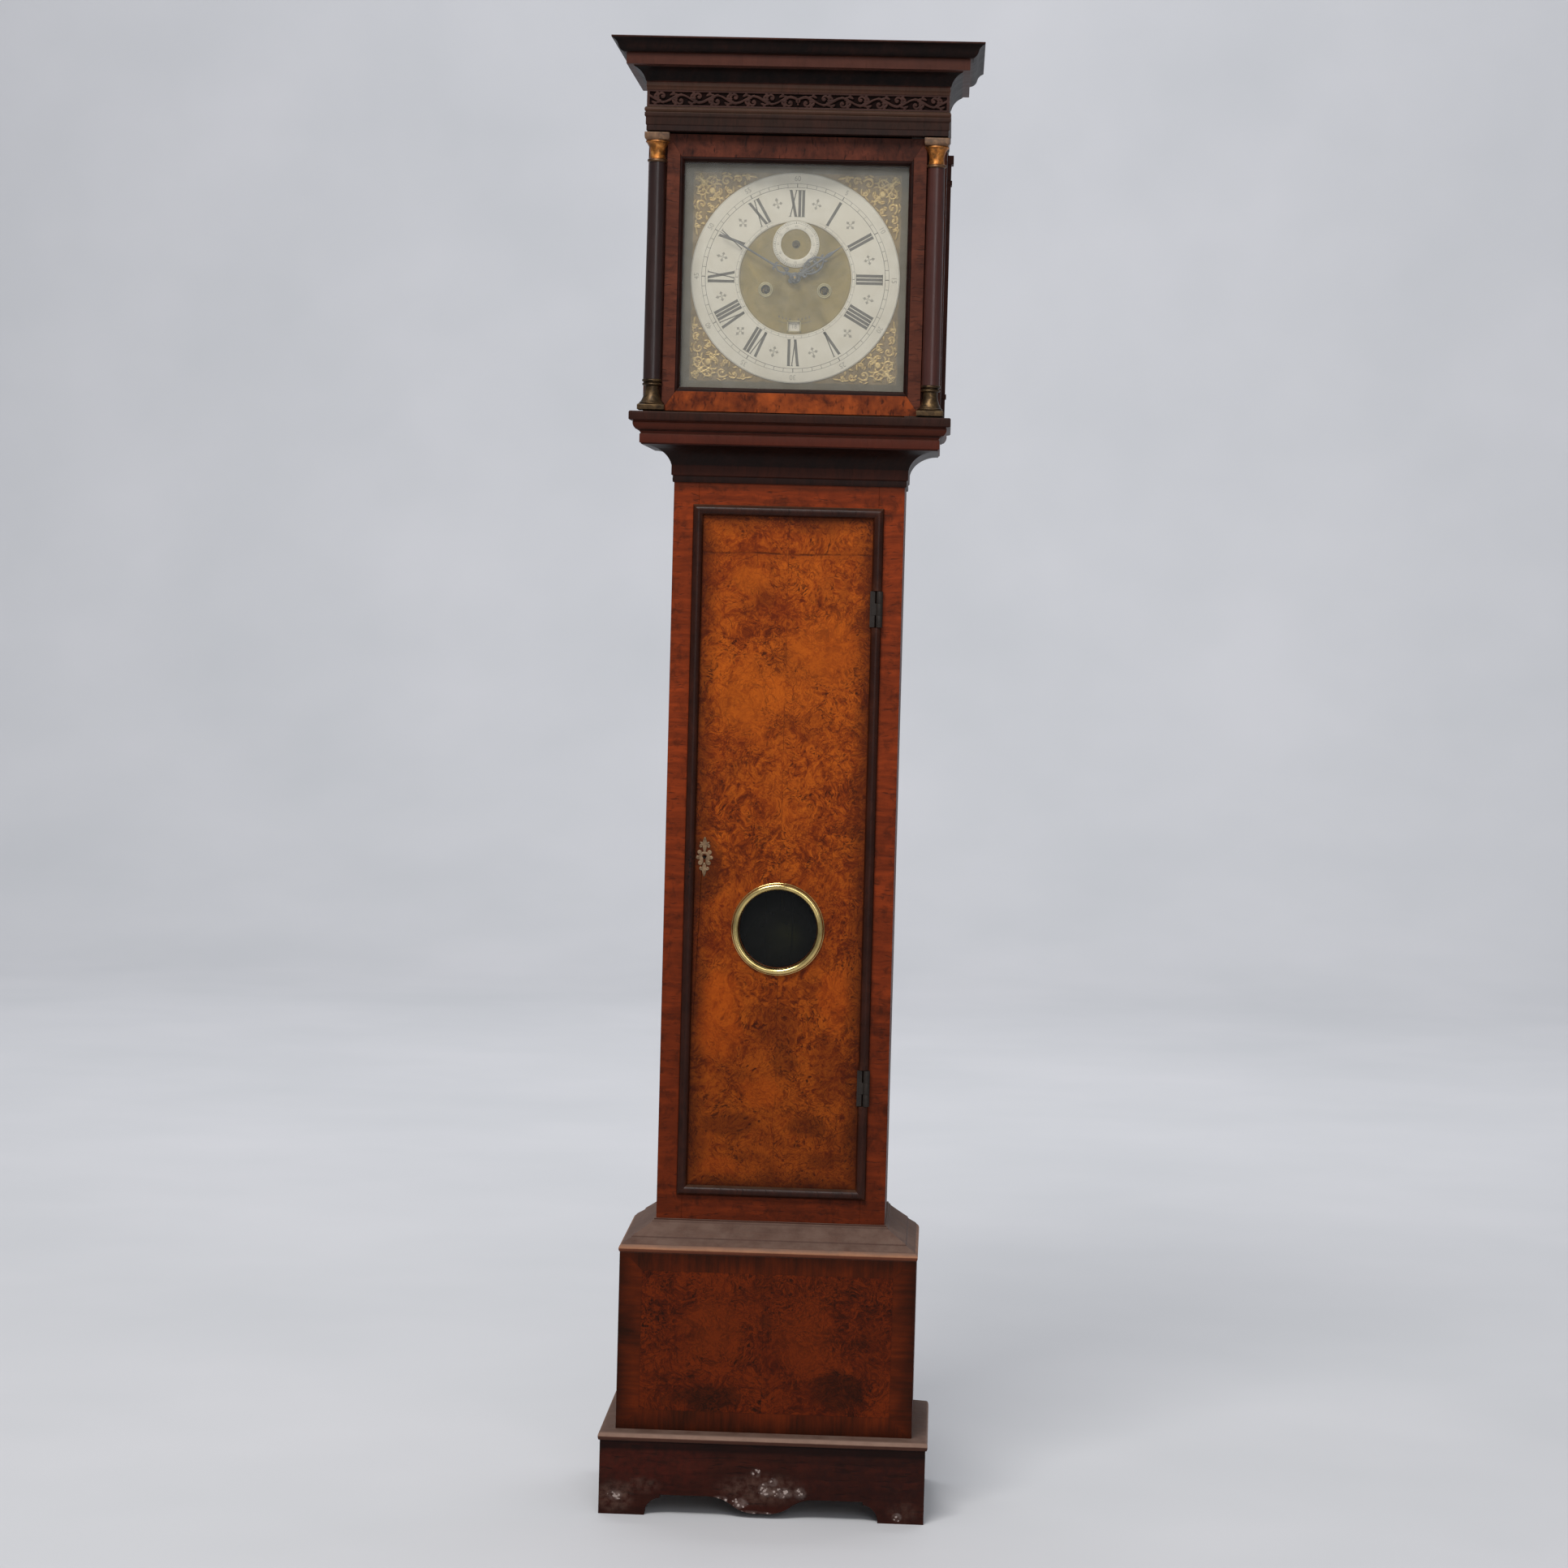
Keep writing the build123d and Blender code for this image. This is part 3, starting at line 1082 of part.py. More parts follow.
with BuildPart() as hour_hand:
    with BuildSketch(at_y(-48.4)):
        with BuildLine():
            Polyline(*hand_outline(HOUR_ANGLE, [(-8, 3), (0, 7.5), (8, 5.5), (12, 2.5), (17, 7), (27, 10.5), (36, 11), (44, 8.5),
                                                (50, 3.5), (54, 4.5), (60, 3), (76, 0.5)]), close=True)
        make_face()
    extrude(amount=1.4)
    with BuildSketch(at_y(-16)):
        with Locations(CENTRE):
            Circle(3.9)
    extrude(amount=34)
    with BuildSketch(at_y(-16.5)):
        with BuildLine():
            Polyline(*[(CENTRE[0] + x, CENTRE[1] + z) for x, z in toothed(64, 2 / 3, toward(CENTRE, MIN_POST))], close=True)
        make_face()
    extrude(amount=2)
    with BuildSketch(at_y(-15)):
        with Locations(CENTRE):
            Circle(2.68)
    extrude(amount=40, mode=Mode.SUBTRACT)
hour_hand.part.label = "hour_hand"
export_step(hour_hand.part, "parts/hour_hand.step")

with BuildPart() as minute_wheel:
    with BuildSketch(at_y(-12)):
        with BuildLine():
            Polyline(*[(MIN_POST[0] + x, MIN_POST[1] + z)
                       for x, z in toothed(45, 0.64, toward(MIN_POST, CENTRE) + 4)], close=True)
        make_face()
    extrude(amount=2)
    with BuildSketch(at_y(-13)):
        with BuildLine():
            Polyline(*[(MIN_POST[0] + x, MIN_POST[1] + z)
                       for x, z in toothed(8, 2 / 3, toward(MIN_POST, CENTRE) + 22.5, 0.6, 1.15, 0.30)], close=True)
        make_face()
    extrude(amount=6.5)
    with BuildSketch(at_y(-11)):
        with Locations(MIN_POST):
            Circle(1.57)
    extrude(amount=12, mode=Mode.SUBTRACT)
minute_wheel.part.label = "minute_wheel"
export_step(minute_wheel.part, "parts/minute_wheel.step")

# ================================================================ escapement and pendulum
PALLET_A = 48.0
# The pallets stop just outside the circle of the tooth tips, so that anchor and wheel can each stand anywhere.
with BuildPart() as anchor_and_crutch:
    for y0, y1, r in ((-7, 62, 2.0), (62, 66, PIVOT_R), (-10, -7, PIVOT_R)):
        with BuildSketch(at_y(y1)):
            with Locations((0, ANCHOR_Z)):
                Circle(r)
        extrude(amount=y1 - y0)
    with BuildSketch(at_y(44.5)):
        with BuildLine():
            tip_r = ESC_TIP + 1.8
            px, pz = tip_r * sin(radians(PALLET_A)), SEC_Z + tip_r * cos(radians(PALLET_A))
            Polyline((0, ANCHOR_Z + 5), (9, ANCHOR_Z + 2), (21.5, ANCHOR_Z - 12), (px + 5.2, pz + 2.2), (px + 0.5, pz - 0.2),
                     (px - 0.5, pz + 0.7), (px + 2.6, pz + 4.5), (16.5, ANCHOR_Z - 13), (7, ANCHOR_Z - 5), (0, ANCHOR_Z - 4.5), close=True)
        make_face()
        mirror(about=Plane.YZ)
    extrude(amount=3)
    with BuildSketch(at_y(60)):                          # crutch arm
        with Locations((0, (ANCHOR_Z + 1652) / 2)):
            Rectangle(4, ANCHOR_Z - 1652)
    extrude(amount=2.5)
    with BuildSketch(Plane.XY.offset(1650)):             # fork round the pendulum rod
        with Locations((0, 67.5)):
            Rectangle(11, 20)
        with Locations((0, 72)):
            Rectangle(5.4, 12, mode=Mode.SUBTRACT)
    extrude(amount=4)
anchor_and_crutch.part.label = "anchor_and_crutch"
export_step(anchor_and_crutch.part, "parts/anchor_and_crutch.step")

with BuildPart() as pendulum:
    with BuildSketch(Plane.XY.offset(1690)):             # suspension spring
        with Locations((0, PEND_Y)):
            Rectangle(0.6, 7)
    extrude(amount=48.7)
    with BuildSketch(Plane.XY.offset(682)):
        with Locations((0, PEND_Y)):
            Circle(2.4)
    extrude(amount=1694 - 682)
    with BuildSketch(Plane(origin=(0, PEND_Y, BOB_Z), x_dir=(1, 0, 0), z_dir=(0, 0, 1))):
        with BuildLine():
            Line((0, -12), (6, -12))
            ThreePointArc((6, -12), (32, -9), (BOB_R, -1.5))
            Line((BOB_R, -1.5), (BOB_R, 1.5))
            ThreePointArc((BOB_R, 1.5), (32, 9), (6, 12))
            Line((6, 12), (0, 12))
            Line((0, 12), (0, -12))
        make_face()
    revolve(axis=Axis((0, 0, BOB_Z), (0, 1, 0)))
    with Locations((0, PEND_Y, 690)):
        Cylinder(7, 5)
pendulum.part.label = "pendulum"
export_step(pendulum.part, "parts/pendulum.step")


# ================================================================ weights and lines
WEIGHT_R, WEIGHT_Z0, WEIGHT_Z1 = 29.0, 130.0, 350.0


def driving_weight(x):
    """Brass-cased weight with hook, stirrup and grooved pulley, centred on x."""
    with BuildPart() as weight:
        with BuildSketch(Plane(origin=(x, LINE_Y, 0), x_dir=(1, 0, 0), z_dir=(0, -1, 0))):
            with BuildLine():
                Line((0, WEIGHT_Z0), (WEIGHT_R - 3, WEIGHT_Z0))
                ThreePointArc((WEIGHT_R - 3, WEIGHT_Z0), (WEIGHT_R - 0.9, WEIGHT_Z0 + 0.9), (WEIGHT_R, WEIGHT_Z0 + 3))
                Line((WEIGHT_R, WEIGHT_Z0 + 3), (WEIGHT_R, WEIGHT_Z1 - 6))
                ThreePointArc((WEIGHT_R, WEIGHT_Z1 - 6), (WEIGHT_R - 9, WEIGHT_Z1 + 1), (5, WEIGHT_Z1 + 4))
                Line((5, WEIGHT_Z1 + 4), (5, WEIGHT_Z1 + 8))
                Line((5, WEIGHT_Z1 + 8), (2.2, WEIGHT_Z1 + 10))
                Line((2.2, WEIGHT_Z1 + 10), (2.2, 392))
                Line((2.2, 392), (0, 392))
                Line((0, 392), (0, WEIGHT_Z0))
            make_face()
        revolve(axis=Axis((x, LINE_Y, 0), (0, 0, 1)))
        with Locations((x, LINE_Y, 391)):
            Box(8, 15, 4)
        with Locations((x, LINE_Y - 6.5, 409), (x, LINE_Y + 6.5, 409)):
            Box(8, 2, 36)
        with BuildSketch(Plane(origin=(x, LINE_Y, PULLEY_Z), x_dir=(1, 0, 0), z_dir=(0, 0, 1))):
            with BuildLine():
                Polyline((0, -5.5), (4, -5.5), (4, -4), (23, -4), (23, -2), (19.9, -1), (19.9, 1), (23, 2), (23, 4),
                         (4, 4), (4, 5.5), (0, 5.5), close=True)
            make_face()
        revolve(axis=Axis((x, 0, PULLEY_Z), (0, 1, 0)))
    return weight.part


GOING_W = WIND_X - BARREL_R - LINE_R + PULLEY_R
STRIKE_W = -WIND_X - BARREL_R - LINE_R + PULLEY_R
going_weight = driving_weight(GOING_W)
going_weight.label = "going_weight"
export_step(going_weight, "parts/going_weight.step")
strike_weight = driving_weight(STRIKE_W)
strike_weight.label = "strike_weight"
export_step(strike_weight, "parts/strike_weight.step")


def gut_line(x):
    """The two runs of gut line: barrel to pulley, pulley to seatboard."""
    with BuildPart() as line:
        with BuildSketch(Plane.XY.offset(PULLEY_Z)):
            with Locations((x - PULLEY_R, LINE_Y)):
                Circle(LINE_R)
        extrude(amount=WIND_Z - PULLEY_Z)
        with BuildSketch(Plane.XY.offset(PULLEY_Z)):
            with Locations((x + PULLEY_R, LINE_Y)):
                Circle(LINE_R)
        extrude(amount=1586 - PULLEY_Z)
    return line.part


going_line = gut_line(GOING_W)
going_line.label = "going_line"
export_step(going_line, "parts/going_line.step")
strike_line = gut_line(STRIKE_W)
strike_line.label = "strike_line"
export_step(strike_line, "parts/strike_line.step")
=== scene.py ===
import math
import random
from math import atan2, cos, degrees, pi, radians, sin, sqrt

import bpy
import numpy as np
from mathutils import Matrix, Vector


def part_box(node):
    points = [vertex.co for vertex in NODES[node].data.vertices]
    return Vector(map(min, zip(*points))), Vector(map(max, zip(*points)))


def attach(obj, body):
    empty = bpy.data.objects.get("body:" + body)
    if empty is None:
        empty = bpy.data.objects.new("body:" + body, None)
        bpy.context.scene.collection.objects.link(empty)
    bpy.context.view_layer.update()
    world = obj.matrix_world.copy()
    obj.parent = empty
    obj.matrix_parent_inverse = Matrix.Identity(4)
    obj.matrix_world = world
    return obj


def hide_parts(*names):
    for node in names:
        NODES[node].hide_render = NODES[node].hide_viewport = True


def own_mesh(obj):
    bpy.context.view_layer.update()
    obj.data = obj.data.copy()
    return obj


# Looks of the longcase clock. Mesh code below works in millimetres, in the row frame, and is scaled to metres
# when an object is made: +X right, -Y towards the viewer, +Z up.

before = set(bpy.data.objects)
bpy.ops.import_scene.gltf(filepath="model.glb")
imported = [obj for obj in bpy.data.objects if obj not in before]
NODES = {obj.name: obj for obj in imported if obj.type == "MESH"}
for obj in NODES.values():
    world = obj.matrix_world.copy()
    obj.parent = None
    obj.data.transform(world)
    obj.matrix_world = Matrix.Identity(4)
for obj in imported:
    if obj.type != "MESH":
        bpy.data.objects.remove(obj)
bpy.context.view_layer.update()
rng = random.Random(1715)


# ================================================================ node helpers
def col(r, g, b):
    """sRGB 0-255 to linear."""
    out = []
    for v in (r, g, b):
        v /= 255.0
        out.append(v / 12.92 if v <= 0.04045 else ((v + 0.055) / 1.055) ** 2.4)
    return (*out, 1.0)


class Mat:
    """One procedural material."""

    def __init__(self, name):
        self.m = bpy.data.materials.new(name)
        self.m.use_nodes = True
        self.t = self.m.node_tree
        self.t.nodes.clear()
        self.out = self.t.nodes.new("ShaderNodeOutputMaterial")
        self.tc = self.t.nodes.new("ShaderNodeTexCoord")
        self.geo = self.t.nodes.new("ShaderNodeNewGeometry")
        self.pos = self.tc.outputs["Object"]

    def put(self, socket, v):
        if v is None:
            return
        if hasattr(v, "links"):
            self.t.links.new(v, socket)
        else:
            socket.default_value = v

    def math(self, op, a, b=None, c=None, clamp=False):
        n = self.t.nodes.new("ShaderNodeMath")
        n.operation = op
        n.use_clamp = clamp
        self.put(n.inputs[0], a)
        self.put(n.inputs[1], b)
        self.put(n.inputs[2], c)
        return n.outputs[0]

    def vmath(self, op, a, b=None, scale=None):
        n = self.t.nodes.new("ShaderNodeVectorMath")
        n.operation = op
        self.put(n.inputs[0], a)
        self.put(n.inputs[1], b)
        if scale is not None:
            self.put(n.inputs["Scale"], scale)
        return n.outputs["Value"] if op in ("LENGTH", "DOT_PRODUCT", "DISTANCE") else n.outputs[0]

    def sep(self, v):
        n = self.t.nodes.new("ShaderNodeSeparateXYZ")
        self.put(n.inputs[0], v)
        return n.outputs

    def comb(self, x=0.0, y=0.0, z=0.0):
        n = self.t.nodes.new("ShaderNodeCombineXYZ")
        for s, v in zip(n.inputs, (x, y, z)):
            self.put(s, v)
        return n.outputs[0]

    def noise(self, vec, scale, detail=4.0, rough=0.55, dist=0.0, out="Fac"):
        n = self.t.nodes.new("ShaderNodeTexNoise")
        self.put(n.inputs["Vector"], vec)
        n.inputs["Scale"].default_value = scale
        n.inputs["Detail"].default_value = detail
        n.inputs["Roughness"].default_value = rough
        n.inputs["Distortion"].default_value = dist
        return n.outputs[out]

    def voro(self, vec, scale, feature="F1", out="Distance", rand=1.0, smooth=None):
        n = self.t.nodes.new("ShaderNodeTexVoronoi")
        n.feature = feature
        self.put(n.inputs["Vector"], vec)
        n.inputs["Scale"].default_value = scale
        n.inputs["Randomness"].default_value = rand
        if smooth is not None:
            n.inputs["Smoothness"].default_value = smooth
        return n.outputs[out]

    def ramp(self, fac, stops, interp="LINEAR"):
        n = self.t.nodes.new("ShaderNodeValToRGB")
        self.put(n.inputs[0], fac)
        cr = n.color_ramp
        cr.interpolation = interp
        while len(cr.elements) > 1:
            cr.elements.remove(cr.elements[-1])
        for i, (p, c) in enumerate(stops):
            e = cr.elements[0] if i == 0 else cr.elements.new(p)
            e.position = p
            e.color = c if hasattr(c, "__len__") else (c, c, c, 1)
        return n.outputs[0]

    def mix(self, fac, a, b, mode="MIX"):
        n = self.t.nodes.new("ShaderNodeMix")
        n.data_type = "RGBA"
        n.blend_type = mode
        self.put(n.inputs[0], fac)
        self.put(n.inputs[6], a)
        self.put(n.inputs[7], b)
        return n.outputs[2]

    def range(self, v, a, b, c=0.0, d=1.0, smooth=False):
        n = self.t.nodes.new("ShaderNodeMapRange")
        if smooth:
            n.interpolation_type = "SMOOTHSTEP"
        self.put(n.inputs[0], v)
        for i, x in enumerate((a, b, c, d)):
            n.inputs[i + 1].default_value = x
        return n.outputs[0]

    def stretch(self, vec, sx, sy, sz):
        return self.vmath("MULTIPLY", vec, (sx, sy, sz))

    def bump(self, height, strength=0.3, dist=0.001, normal=None):
        n = self.t.nodes.new("ShaderNodeBump")
        n.inputs["Strength"].default_value = strength
        n.inputs["Distance"].default_value = dist
        self.put(n.inputs["Height"], height)
        if normal is not None:
            self.put(n.inputs["Normal"], normal)
        return n.outputs[0]

    def surface(self, color, rough=0.4, metal=0.0, normal=None, coat=0.0, coat_rough=0.2, spec=0.5, **extra):
        p = self.t.nodes.new("ShaderNodeBsdfPrincipled")
        self.put(p.inputs["Base Color"], color)
        self.put(p.inputs["Roughness"], rough)
        self.put(p.inputs["Metallic"], metal)
        p.inputs["Coat Weight"].default_value = coat
        p.inputs["Coat Roughness"].default_value = coat_rough
        p.inputs["Specular IOR Level"].default_value = spec
        for k, v in extra.items():
            self.put(p.inputs[k.replace("_", " ")], v)
        if normal is not None:
            self.put(p.inputs["Normal"], normal)
        self.t.links.new(p.outputs[0], self.out.inputs[0])
        return p

    def tinted(self, c, tint, shade_fall=None):
        """Colour times tint; the height range (low height, high height, factor at the low one) darkens it downwards:
        painted shade on lower parts, which get less light.
        """
        c = self.vmath("MULTIPLY", c, tint)
        if shade_fall:
            z = self.sep(self.pos)[2]
            c = self.vmath("SCALE", c, scale=self.range(z, shade_fall[0], shade_fall[1], shade_fall[2], 1.0, smooth=True))
        return c

    # masks
    def up(self, lo=0.6, hi=0.95):
        """1 where the surface faces up."""
        z = self.sep(self.geo.outputs["Normal"])[2]
        return self.range(z, lo, hi)

    def edge_wear(self, lo=0.52, hi=0.60):
        return self.range(self.geo.outputs["Pointiness"], lo, hi)


def burr_walnut(name, light, mid, dark, fleck, seam=0.0, joint_z=None, depth=1.0, gloss=0.36, tone_at=None, band=None,
                band_colors=None, red=None, patches=(), tint=(1, 1, 1), shade_fall=None, back=None):
    """Burr veneer, loosely book-matched about x = seam: cloudy figure, winding dark veins, knots, flecks and fine cracks.
    band is a crossbanded border: (x0, x1, z0, z1) of its inner edge."""
    M = Mat(name)
    x, y, z = M.sep(M.pos)[:3]
    mx = M.math("ABSOLUTE", M.math("SUBTRACT", x, seam))
    side = M.math("GREATER_THAN", x, seam)
    zz = z
    if joint_z is not None:                              # upper leaf is another sheet of veneer
        above = M.math("GREATER_THAN", z, joint_z)
        zz = M.math("ADD", z, M.math("MULTIPLY", above, 0.731))
    p = M.comb(mx, y, zz)
    free = M.comb(x, M.math("MULTIPLY", side, 0.4), zz)
    wob = M.noise(p, 13, 3, 0.5, out="Color")
    wob2 = M.noise(free, 21, 3, 0.55, out="Color")
    warp = M.vmath("ADD", p, M.vmath("SCALE", M.vmath("SUBTRACT", wob, (0.5, 0.5, 0.5)), scale=0.055))
    warp = M.vmath("ADD", warp, M.vmath("SCALE", M.vmath("SUBTRACT", wob2, (0.5, 0.5, 0.5)), scale=0.040))
    cloud = M.noise(warp, 11, 3, 0.55, 0.5)
    grain = M.noise(M.vmath("ADD", warp, (3.1, 1.7, 8.2)), 62, 5, 0.66, 1.1)
    fine = M.noise(M.vmath("ADD", warp, (7.7, 2.2, 1.1)), 165, 4, 0.62, 0.9)
    tone = M.math("ADD", M.math("MULTIPLY", cloud, 0.28), M.math("ADD", M.math("MULTIPLY", grain, 0.42), M.math("MULTIPLY", fine, 0.30)))
    c = M.ramp(tone, [(0.395, dark), (0.46, mid), (0.53, light), (0.62, mid)])
    # winding veins: where the figure crosses its middle value
    v1 = M.math("ABSOLUTE", M.math("SUBTRACT", M.noise(M.vmath("ADD", warp, (2.0, 9.0, 4.0)), 38, 4, 0.6, 1.3), 0.5))
    v2 = M.math("ABSOLUTE", M.math("SUBTRACT", M.noise(M.vmath("ADD", warp, (5.0, 1.0, 7.0)), 80, 3, 0.6, 1.0), 0.5))
    where = M.range(M.noise(M.vmath("ADD", free, (6.0, 3.0, 2.0)), 16, 4, 0.6, 0.6), 0.42, 0.60)
    c = M.mix(M.math("MULTIPLY", M.range(v1, 0.004, 0.030, 0.80 * depth, 0.0), where), c, dark)
    c = M.mix(M.math("MULTIPLY", M.range(v2, 0.003, 0.024, 0.62 * depth, 0.0), M.range(where, 0.0, 1.0, 0.35, 1.0)), c, dark)
    v3 = M.math("ABSOLUTE", M.math("SUBTRACT", M.noise(M.vmath("ADD", warp, (8.0, 3.0, 1.0)), 120, 3, 0.6, 1.2), 0.5))
    c = M.mix(M.math("MULTIPLY", M.range(v3, 0.002, 0.022, 0.60 * depth, 0.0), M.range(where, 0.0, 1.0, 0.45, 1.0)), c, dark)
    # knots
    knot = M.voro(warp, 30, "SMOOTH_F1", rand=1.0, smooth=0.25)
    ring = M.math("SINE", M.math("MULTIPLY", knot, 46.0))
    near = M.range(knot, 0.14, 0.36, 1.0, 0.0)
    c = M.mix(M.math("MULTIPLY", near, M.range(ring, -0.2, 1.0, 0.0, 0.55 * depth)), c, dark)
    pip = M.range(M.voro(warp, 90, "F1"), 0.12, 0.24, 1.0, 0.0)
    clump = M.range(M.noise(M.vmath("ADD", free, (1.0, 7.0, 5.0)), 15, 4, 0.6, 0.4), 0.48, 0.60)
    c = M.mix(M.math("MULTIPLY", pip, M.math("MULTIPLY", clump, 0.9 * depth)), c, fleck)
    # short dark flecks in clusters
    fl = M.noise(M.vmath("ADD", warp, (1.3, 5.5, 2.9)), 250, 3, 0.62, 0.6)
    cluster = M.range(M.noise(M.vmath("ADD", free, (4.0, 4.0, 1.0)), 22, 5, 0.65, 0.8), 0.44, 0.60)
    flm = M.math("MULTIPLY", M.range(fl, 0.52, 0.60), M.math("MULTIPLY", cluster, 0.85 * depth))
    c = M.mix(flm, c, fleck)
    # fine cracks in the veneer
    ck = M.voro(M.vmath("ADD", warp, (9.1, 0.0, 4.4)), 46, "DISTANCE_TO_EDGE")
    ckm = M.math("MULTIPLY", M.range(ck, 0.0, 0.032, 1.0, 0.0), M.range(M.noise(free, 20, 3), 0.50, 0.62, 0.0, 0.7 * depth))
    c = M.mix(ckm, c, fleck)
    # reddish and brown clouds of old polish
    stain = M.range(M.noise(M.vmath("ADD", M.pos, (0.3, 0.0, 0.9)), 7.5, 4, 0.6, 0.5), 0.45, 0.66, 0.0, 0.42)
    c = M.mix(stain, c, red or dark)
    stain2 = M.range(M.noise(M.vmath("ADD", M.pos, (2.3, 1.0, 4.9)), 13, 5, 0.65, 0.5), 0.52, 0.68, 0.0, 0.30 * depth)
    c = M.mix(stain2, c, fleck)
    for px, pz, rx, rz, ink, amount in patches:
        u = M.math("DIVIDE", M.math("SUBTRACT", x, px), rx)
        v = M.math("DIVIDE", M.math("SUBTRACT", z, pz), rz)
        d = M.math("ADD", M.math("MULTIPLY", u, u), M.math("MULTIPLY", v, v))
        d = M.math("ADD", d, M.math("MULTIPLY", M.math("SUBTRACT", M.noise(M.vmath("ADD", M.pos, (px, 0.0, pz)), 26, 5, 0.65), 0.5), 2.6))
        c = M.mix(M.range(d, 0.2, 1.2, amount, 0.0, smooth=True), c, ink)
    broken = M.range(M.noise(M.pos, 26, 3), 0.40, 0.58)
    line = M.range(M.math("ABSOLUTE", M.math("SUBTRACT", x, M.math("ADD", seam, M.math("MULTIPLY", M.math("SUBTRACT", M.noise(M.pos, 9, 2), 0.5), 0.005)))),
                   0.0003, 0.0010, 0.42, 0.0)
    c = M.mix(M.math("MULTIPLY", line, broken), c, fleck)
    h = M.math("SUBTRACT", 0.0, M.math("ADD", M.math("MULTIPLY", ckm, 0.7), M.math("MULTIPLY", flm, 0.35)))
    if joint_z is not None:
        off = M.math("ABSOLUTE", M.math("SUBTRACT", z, M.math("ADD", joint_z, M.math("MULTIPLY", M.math("SUBTRACT", M.noise(M.pos, 14, 4), 0.5), 0.010))))
        jl = M.math("MULTIPLY", M.range(off, 0.0005, 0.0018, 0.75, 0.0), M.range(M.noise(M.pos, 34, 3), 0.36, 0.55))
        c = M.mix(M.range(off, 0.0, 0.013, 0.34, 0.0), c, dark)
        c = M.mix(jl, c, fleck)
        h = M.math("SUBTRACT", h, jl)
    if band is not None:                                 # crossbanded border with a fine dark line where it meets the burr
        x0, x1, z0, z1 = band
        dx = M.math("MINIMUM", M.math("SUBTRACT", x, x0), M.math("SUBTRACT", x1, x))
        dz = M.math("MINIMUM", M.math("SUBTRACT", z, z0), M.math("SUBTRACT", z1, z))
        d = M.math("MINIMUM", dx, dz)
        on_side = M.math("LESS_THAN", dx, dz)
        u = M.math("ADD", M.math("MULTIPLY", on_side, z), M.math("MULTIPLY", M.math("SUBTRACT", 1.0, on_side), x))
        w = M.math("ADD", M.math("MULTIPLY", on_side, x), M.math("MULTIPLY", M.math("SUBTRACT", 1.0, on_side), z))
        q = M.comb(M.math("MULTIPLY", u, 170.0), 0.0, M.math("MULTIPLY", w, 16.0))
        st = M.noise(q, 1.0, 5, 0.6, 0.3)
        st2 = M.noise(M.comb(M.math("MULTIPLY", u, 16.0), 3.0, M.math("MULTIPLY", w, 9.0)), 1.0, 4, 0.6, 0.4)
        bc = M.ramp(M.math("ADD", M.math("MULTIPLY", st, 0.4), M.math("MULTIPLY", st2, 0.6)),
                    [(0.36, band_colors[0]), (0.50, band_colors[1]), (0.64, band_colors[2])])
        edge = M.math("ADD", d, M.math("MULTIPLY", M.math("SUBTRACT", M.noise(M.pos, 40, 3), 0.5), 0.0016))
        c = M.mix(M.range(edge, -0.0004, 0.0004, 1.0, 0.0), c, bc)
        c = M.mix(M.range(M.math("ABSOLUTE", edge), 0.0004, 0.0012, 0.18, 0.0), c, fleck)
    if tone_at is not None:                              # darker towards the edges of the sheet
        x0, x1, z0, z1 = tone_at
        dx = M.math("MINIMUM", M.math("SUBTRACT", x, x0), M.math("SUBTRACT", x1, x))
        dz = M.math("MINIMUM", M.math("SUBTRACT", z, z0), M.math("SUBTRACT", z1, z))
        d = M.math("MINIMUM", dx, dz)
        d = M.math("ADD", d, M.math("MULTIPLY", M.math("SUBTRACT", M.noise(M.pos, 30, 4), 0.5), 0.026))
        c = M.mix(M.range(d, 0.0, 0.026, 0.72, 0.0), c, fleck)
    micro = M.noise(M.pos, 900, 2, 0.5)
    rough = M.math("ADD", gloss, M.math("MULTIPLY", M.noise(M.pos, 40, 4), 0.18))
    n = M.bump(M.math("ADD", h, M.math("MULTIPLY", micro, 0.12)), 0.35, 0.0006)
    n = M.bump(M.noise(M.pos, 11, 3), 0.12, 0.004, n)
    # tint, then painted shade that darkens the lower part when a height range is given
    c = M.tinted(c, tint, shade_fall)
    if back is not None:                                 # plain straight-grained wood behind a plane
        g = M.noise(M.comb(M.math("MULTIPLY", x, 150.0), M.math("MULTIPLY", y, 150.0), M.math("MULTIPLY", z, 7.0)), 1.0, 5, 0.62, 0.3)
        plain = M.mix(M.range(M.noise(M.pos, 8, 4, 0.6, 0.4), 0.42, 0.68, 0.0, 0.5), M.ramp(g, [(0.34, back[1]), (0.64, back[2])]), back[1])
        c = M.mix(M.range(y, back[0] - 0.0004, back[0] + 0.0004), c, plain)
    M.surface(c, rough, normal=n, spec=0.08)
    return M.m


